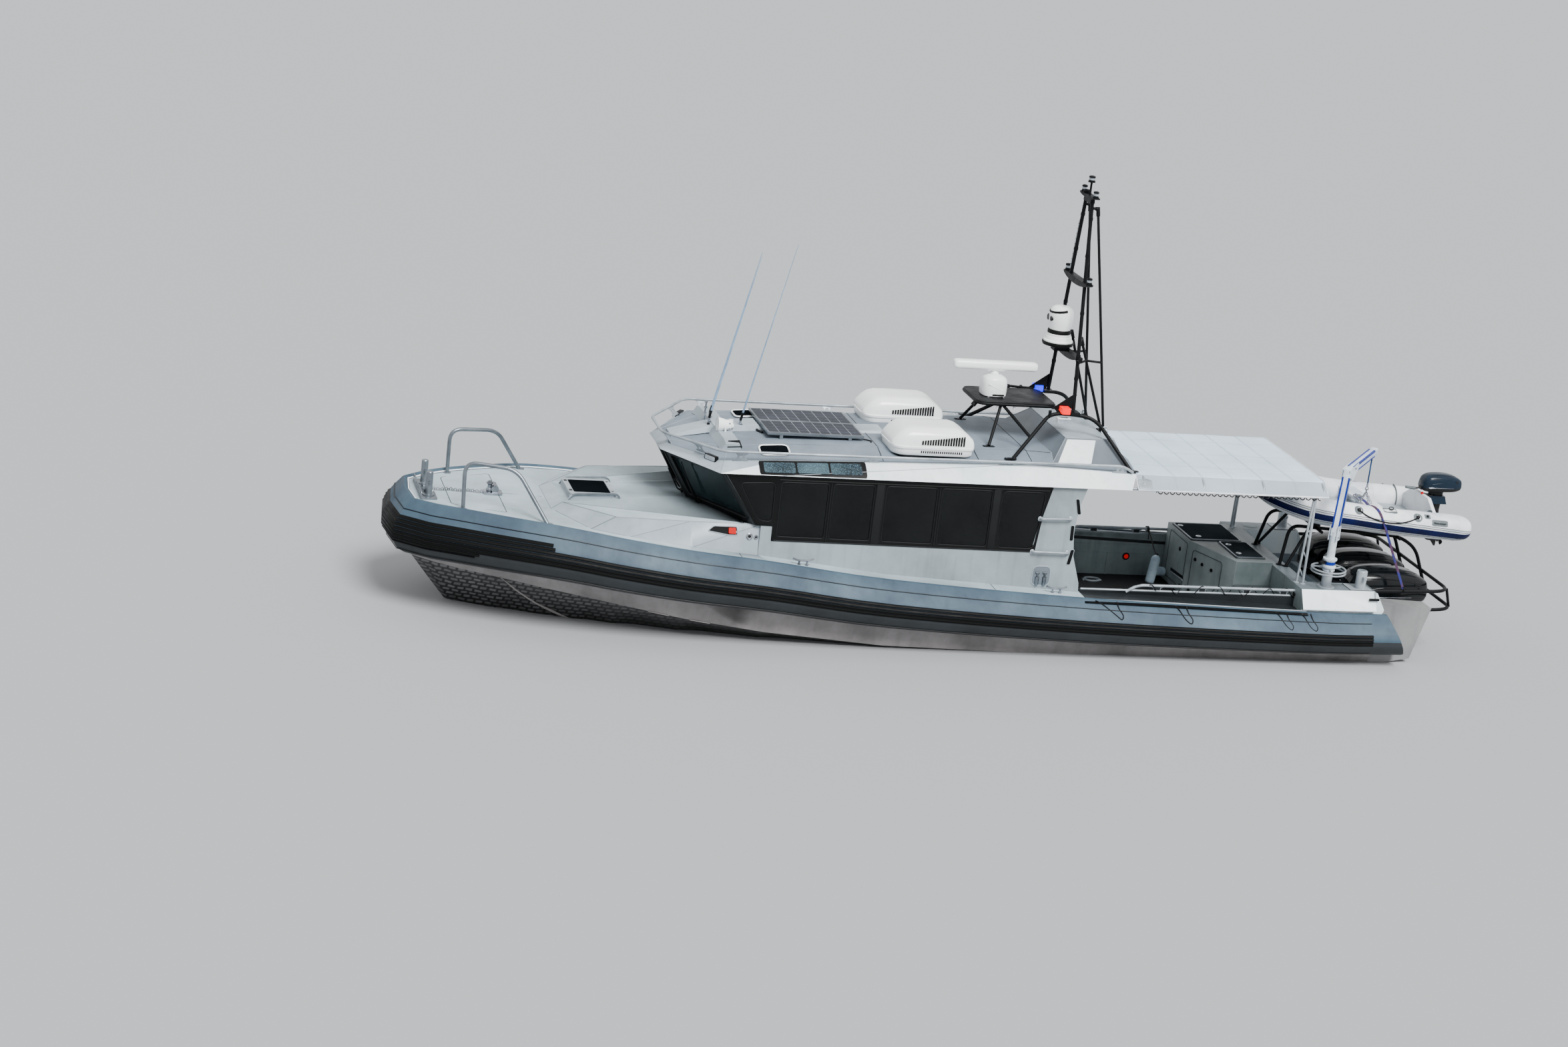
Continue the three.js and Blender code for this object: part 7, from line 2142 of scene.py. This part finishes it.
def addCowl(bm, place, size, low, high, swell, material):
    rings = []
    for x, half, foot, top in cowlRows:
        port = [(x, (half + swell) * wide, foot + (top - foot) * up) for wide, up in engine["side"]
            if low <= up <= high]
        ring = [*port, *[(a, -b, c) for a, b, c in reversed(port)]]
        rings.append([place + Vector(p) * size for p in ring])
    addRings(bm, rings, material)


def addOutboard(bm, place, size, extra):
    bottom = -0.82 - extra
    hub = bottom - 0.22

    def put(points):
        return [place + Vector(p) * size for p in points]

    addCowl(bm, place, size, 0.2, 1.0, 0.0, 0)
    addCowl(bm, place, size, 0.0, 0.3, -0.012, 1)
    stations = [0.15 - 0.065 * k for k in range(15)]
    for side in (-1, 1):
        addTube(bm, put([cowlPoint(x, 0.24, side, 0.001) for x in stations]), 0.008 * size, 8, 1)
        addTube(bm, put([cowlPoint(x, 0.84 - 0.1 * (k / 14) ** 2, side, -0.004)
            for k, x in enumerate(stations)]), 0.011 * size, 10)
        addTube(bm, put([cowlPoint(x, 0.5 + 0.1 * math.sin(math.pi * k / 14), side, -0.005)
            for k, x in enumerate(stations[2:])]), 0.009 * size, 10)
        addTube(bm, put([cowlPoint(x, 0.3, side, 0.001) for x in stations[1:13]]), 0.0035 * size, 6, 2)
        for t in (0.66, 0.72, 0.78):
            addTube(bm, put([cowlPoint(x, t, side, -0.001) for x in (-0.66, -0.71, -0.76)]), 0.009 * size,
                8, 1)
    rings = []
    for x, half, _, top in cowlRows:
        if -0.7 < x < 0.15:
            rise = 0.003 + 0.012 * math.sin(math.pi * (0.15 - x) / 0.86)
            rings.append(put([(x, y * half, top - (0.02 if abs(y) > 0.5 else 0) + rise)
                for y in (-0.56, -0.42, -0.1, 0.1, 0.42, 0.56)]))
    addRings(bm, rings, 0)
    legRows = [*engine["leg"], (-0.22, 0.04, -0.46, bottom * 0.75 - 0.09), (-0.25, 0.03, -0.49, bottom),
        (-0.33, 0.022, -0.49, bottom - 0.24)]
    rings = []
    for fore, half, aft, z in legRows:
        chord = fore - aft
        foil = [(0, 0.12), (0.03, 0.45), (0.1, 0.8), (0.25, 1), (0.5, 1), (0.75, 0.8), (0.92, 0.5),
            (1, 0.15)]
        port = [(fore - chord * a, half * b, z) for a, b in foil]
        rings.append(put([*port, *[(a, -b, c) for a, b, c in reversed(port)]]))
    addRings(bm, rings, 1)
    case = [(0, -0.17), (0.02, -0.178), (0.038, -0.205), (0.053, -0.26), (0.06, -0.33), (0.062, -0.42),
        (0.056, -0.48), (0.05, -0.52), (0, -0.52)]
    addTurned(bm, [(r * size, -x * size) for r, x in case], place + Vector((0, 0, hub)) * size, 28, 1,
        axis=(-1, 0, 0))
    plate = corners([(-0.23, -0.07), (-0.23, 0.07), (-0.62, 0.12), (-0.68, 0.06), (-0.68, -0.06),
        (-0.62, -0.12)], 0.05)
    addRings(bm, [put([(x, y, bottom + z) for x, y, _ in plate]) for z in (0, 0.012)], 1)
    skeg = [(-0.29, 0, 0.009), (-0.5, 0, 0.009), (-0.5, -0.19, 0.004), (-0.49, -0.2, 0.004),
        (-0.45, -0.2, 0.004), (-0.43, -0.17, 0.005)]
    addRings(bm, [put([(x, side * half, hub + z) for x, z, half in skeg]) for side in (-1, 1)], 1)
    yoke = [(-0.06, -0.05), (-0.06, 0.05), (-0.2, 0.062), (-0.26, 0.062), (-0.26, -0.062), (-0.2, -0.062)]
    for z0, z1 in ((0.056, 0.165), (-0.42, -0.366)):
        addRings(bm, [put([(x, y, z) for x, y, _ in corners(yoke, 0.02)]) for z in (z0, z1)], 1)
    addTurned(bm, oblong(0, 0.029 * size, -0.39 * size, 0.08 * size), place + Vector((-0.11, 0, 0)) * size,
        20, 2)
    for side in (-1, 1):
        addTube(bm, put([(-0.13, side * 0.052, -0.39), (-0.24, side * 0.062, -0.39),
            (-0.3, side * 0.05, -0.4)]), 0.012 * size, 8, 1)
        for z in (0.0, -0.2):
            addTurned(bm, [(0, 0), (0.012 * size, 0), (0.011 * size, 0.006 * size), (0, 0.007 * size)],
                place + Vector((-0.3, side * 0.053, z)) * size, 8, 2, axis=(0, side, 0))


def addPropeller(bm, place, size, extra):
    hub = -1.04 - extra
    centre = place + Vector((0, 0, hub)) * size
    profile = [(0, 0.5215), (0.046, 0.5215), (0.0455, 0.6), (0.04, 0.645), (0.036, 0.65), (0.03, 0.6495),
        (0.03, 0.63), (0, 0.63)]
    addTurned(bm, [(r * size, x * size) for r, x in profile], centre, 28, axis=(-1, 0, 0))
    rows = smoothLine([Vector(row) for row in engine["blade"]], 3)
    for blade in range(3):
        turn = blade * 2 * math.pi / 3
        rings = []
        for r, spread, twist in rows:
            thick = 0.0075 - 0.004 * r / 0.19
            ring = []
            for face in (1, -1):
                for k in range(9):
                    s = (k / 4 - 1) * face
                    angle = turn + spread * s
                    along = twist * s + 0.007 + face * thick * (1 - s * s) ** 0.5
                    ring.append(place + Vector((-0.59 + along, r * math.sin(angle),
                        hub + r * math.cos(angle))) * size)
            rings.append(ring[:-1])
        addRings(bm, rings, 0)


def shapeEngines():
    tiltX, tiltZ = engine["tilt"]
    for name, y, extra in engine["names"]:
        place = Vector((tiltX, y, tiltZ))
        bm = bmesh.new()
        addOutboard(bm, place, 1.0, extra)
        piece("outboard" + name.capitalize(), bm, "outboard_" + name,
            "engineGloss engineMatt steel", replaced="outboard_" + name, smooth=42)
        bm = bmesh.new()
        addPropeller(bm, place, 1.0, extra)
        piece("propeller" + name.capitalize(), bm, "propeller_" + name, "steel",
            replaced="propeller_" + name, smooth=50)


tender = {
    "line": [(-7.52, 0.6, 1.555), (-7.3, 0.6, 1.57), (-6.8, 0.6, 1.5975), (-6.3, 0.6, 1.625),
        (-5.85, 0.598, 1.672), (-5.4, 0.585, 1.72),
             (-5.12, 0.49, 1.775), (-4.93, 0.28, 1.825), (-4.885, 0.0, 1.845)],
    "radius": 0.17, "stripe": (0.02, -0.46), "lines": (0.16, 0.3, -0.6), "engine": (-7.15, 0, 1.815),
    "grabLine": [(-5.89, 0.7), (-5.98, 0.42), (-6.13, 0.22), (-6.26, 0.16), (-6.38, 0.17), (-6.52, 0.3),
        (-6.62, 0.5),
                 (-6.69, 0.68)],
}


# Rings round the tube: centre, outward and upward directions and radius
def tenderFrames():
    half = smoothLine([Vector(p) for p in tender["line"]], 6)
    whole = [*half, *flipped(reversed(half[:-1]))]
    made = []
    for i, p in enumerate(whole):
        ahead = (whole[min(i + 1, len(whole) - 1)] - whole[max(i - 1, 0)]).normalized()
        outward = ahead.cross(zenith).normalized() * -1
        fromEnd = min((p - whole[0]).length, (p - whole[-1]).length)
        radius = tender["radius"]
        if fromEnd < 0.26:
            radius *= 0.34 + 0.66 * math.sqrt(max(0, 1 - ((0.26 - fromEnd) / 0.26) ** 2.6))
        made.append((p, outward, outward.cross(ahead).normalized() * -1, radius))
    return made


tubeFrames = tenderFrames()


def onTender(place, angle, lift=0.0):
    if isinstance(place, (int, float)):
        port = tubeFrames[:len(tubeFrames) // 2 + 1]
        for aft, fore in zip(port, port[1:]):
            if aft[0].x <= place <= fore[0].x:
                t = (place - aft[0].x) / (fore[0].x - aft[0].x)
                place = tuple(a + (b - a) * t for a, b in zip(aft, fore))
                break
    centre, outward, upward, radius = place
    return centre + (outward * math.cos(angle) + upward * math.sin(angle)) * (radius + lift)


def addBand(bm, low, high, lift, material):
    rings = []
    for frame in tubeFrames:
        sway = math.radians(14) * max(0.0, min(1.0, (-6.3 - frame[0].x) / 1.1))
        a, b = low - sway, high - sway
        steps = [a + (b - a) * k / 4 for k in range(5)]
        rings.append([onTender(frame, steps[0], -0.003), *[onTender(frame, s, lift) for s in steps],
            onTender(frame, steps[-1], -0.003)])
    addRings(bm, rings, material)


def shapeTenderTubes():
    bm = bmesh.new()
    rings = [[onTender(frame, 2 * math.pi * k / 36) for k in range(36)] for frame in tubeFrames]
    addRings(bm, rings)
    piece("tenderTubes", bm, "boat", "tenderSkin", replaced="tender_tubes", smooth=50)
    bm = bmesh.new()
    low, high = tender["stripe"]
    addBand(bm, high, low, 0.006, 0)
    for angle in tender["lines"]:
        addBand(bm, angle - 0.022, angle + 0.022, 0.004, 1)
    for x in (-7.3, -6.62, -5.95, -5.3):
        ring = [onTender(x, 2 * math.pi * k / 36, 0.0005) for k in range(36)]
        for side in (ring, flipped(ring)):
            addTube(bm, side, 0.0022, 5, 2, loop=True)
    for side in (-1, 1):
        def flip(points):
            return [Vector((p[0], side * p[1], p[2])) for p in points]

        for x in (-5.87, -6.71):
            centre = onTender(x, 0.79)
            turns = [2 * math.pi * k / 20 for k in range(20)]
            rim = [onTender(x + 0.06 * math.cos(a), 0.79 + 0.36 * math.sin(a), 0.001) for a in turns]
            top = [p + (p - onTender(x, 0.79, -0.17)).normalized() * 0.004 for p in rim]
            addRings(bm, [flip(rim), flip(top)], 1)
            out = (centre - onTender(x, 0.79, -0.17)).normalized()
            out.y *= side
            addTurned(bm, [(0, 0), (0.026, 0), (0.024, 0.014), (0.014, 0.022), (0, 0.024)],
                flip([centre])[0], 14, 3, axis=out)
        line = [onTender(x, a, 0.008) for x, a in tender["grabLine"]]
        addTube(bm, smoothLine(flip(line), 4), 0.009, 8, 3)
        for x0, x1, a0, a1 in ((-6.81, -6.89, 0.75, 1.15), (-6.905, -7.13, 0.25, 0.72),
                (-6.23, -6.43, 0.95, 1.55)):
            rings = []
            for lift in (0.0005, 0.004):
                edge = [(x0 + (x1 - x0) * s, a0 + (a1 - a0) * t)
                    for s, t, _ in corners(oblong(0, 1, 0, 1), 0.18, 3)]
                rings.append(flip([onTender(x, a, lift) for x, a in edge]))
            addRings(bm, rings, 1)
        handle = [onTender(x, 0.5, lift) for x, lift in ((-6.94, 0.004), (-6.95, 0.022), (-7.09, 0.022),
            (-7.1, 0.004))]
        addTube(bm, flip(handle), 0.011, 8, 1, bend=0.015)
        addRing(bm, flip([onTender(-6.35, 1.35, 0.02)])[0], (0.2, side * 0.5, 1), 0.028, 0.006, 16, 3)
        addTube(bm, flip([onTender(-6.85, a, 0.008) for a in (0.86, 1.0)]), 0.014, 8, 3)
        band = [onTender(-6.95, a, 0.004) for a in [math.radians(d) for d in range(88, 215, 12)]]
        addTube(bm, flip(band), 0.022, 12, 1, section=oblong(-1, 1, -0.15, 0.12), up=(1, 0, 0))
        knob = flip([onTender(-5.05, 1.5, 0.0)])[0]
        addTurned(bm, flange(0.03, 0.006, 0.018, 0.012, 0.014), knob, 16, 1)
    piece("tenderTrim", bm, "boat", "tenderStripe tenderPatch tenderSkin blackTrim")


def shapeTenderHull():
    bm = cadShape("tender_hull")

    def look(centre, normal):
        if centre.x < -7.075 and centre.z > 1.55 and abs(centre.y) < 0.12:
            return 2
        level = normal.z > 0.8 and -7.0 < centre.x and centre.z < 1.85
        if level and not (-6.36 < centre.x < -6.11 and centre.z > 1.74):
            return 1
        return 0

    paintFaces(bm, look)
    piece("tenderHull", bm, "boat", "tenderSkin tenderFloor engineMatt",
        replaced="tender_hull", smooth=24, bevel=0.006, turnOut=False)
    place = Vector(tender["engine"])
    bm = bmesh.new()
    addOutboard(bm, place, 0.5, 0.12)
    # The short red knob at the engine's side takes the glowing red finish of the lamps: a painted glow, as
    # it is no lamp
    for run, size, sides, material, taper in ((((0.07, 0.03, 0.11), (0.14, 0.035, 0.11),
            (0.2, 0.035, 0.105)), 0.012, 12, 1, None), (((0.2, 0.035, 0.105), (0.33, 0.035, 0.115)), 0.021,
            14, 3, (1, 0.85)), (((0.085, 0.055, 0.045), (0.1, 0.06, 0.045)), 0.02, 14, 4, None)):
        addTube(bm, [place + Vector(p) for p in run], size, sides, material, taper=taper)
    addBox(bm, place + Vector((0.06, -0.03, 0.09)), place + Vector((0.12, 0.05, 0.13)), 1, 0.006)
    addBox(bm, place + Vector((-0.27, -0.075, -0.09)), place + Vector((0.07, 0.075, 0.01)), 0, 0.025)
    for v in bm.verts:
        v.co.x = max(-7.5948, v.co.x)
    piece("tenderEngine", bm, "tender_outboard",
        "tenderEngine engineMatt steel tenderPatch redLamp", replaced="tender_outboard", smooth=42)
    bm = bmesh.new()
    addPropeller(bm, place, 0.5, 0.12)
    piece("tenderPropeller", bm, "tender_propeller", "engineMatt",
        replaced="tender_propeller", smooth=50)


# Lashing strap over the near tube, from an eye on the thwart down to the guard rail
def shapeLashing():
    run = [Vector((-6.15, 0.0, 1.79)), Vector((-6.1, 0.43, 1.815))]
    for k in range(9):
        run.append(onTender(-6.07 - 0.022 * k, math.radians(112 - 14.5 * k), 0.004))
    run.append(Vector((-6.44, 1.19, 0.905)))
    bm = bmesh.new()
    addTube(bm, run, 0.025, section=oblong(-1, 1, -0.08, 0.08))
    buckle = Vector((-6.135, 0.14, 1.8))
    addBox(bm, buckle - Vector((0.03, 0.045, 0.006)), buckle + Vector((0.03, 0.045, 0.022)), 1, 0.004)
    addRing(bm, (-6.44, 1.19, 0.895), (1, 0, 0), 0.032, 0.006, 18, 2)
    addRing(bm, (-6.155, -0.02, 1.775), (0, 1, 0.4), 0.022, 0.005, 16, 1)
    piece("tenderLashing", bm, "boat", "lashingWeb steel blackTrim")


shapeDavit()
shapeGuard()
shapeEngines()
shapeTenderTubes()
shapeTenderHull()
shapeLashing()
print("davit, engines and tender made")


# Nodes that keep their own shape
kept = {
    "sidePaint": "cabin_side_port cabin_side_starboard", "frameDark": "windscreen_frame",
    "cockpitPaint": "cabin_bulkhead cabin_door", "blackCoat": "engine_brackets",
        "screenGlass": "cabin_glass",
    "engineMatt": "engine_swivel_port engine_swivel_centre engine_swivel_starboard helm_console",
    "seatTrim": "cabin_seats", "blackTrim": "helm_wheel",
}
for name, obj in nodes.items():
    look = next((look for look, names in kept.items() if name in names.split()), "greyPaint")
    obj.data.materials.clear()
    obj.data.materials.append(finish[look])
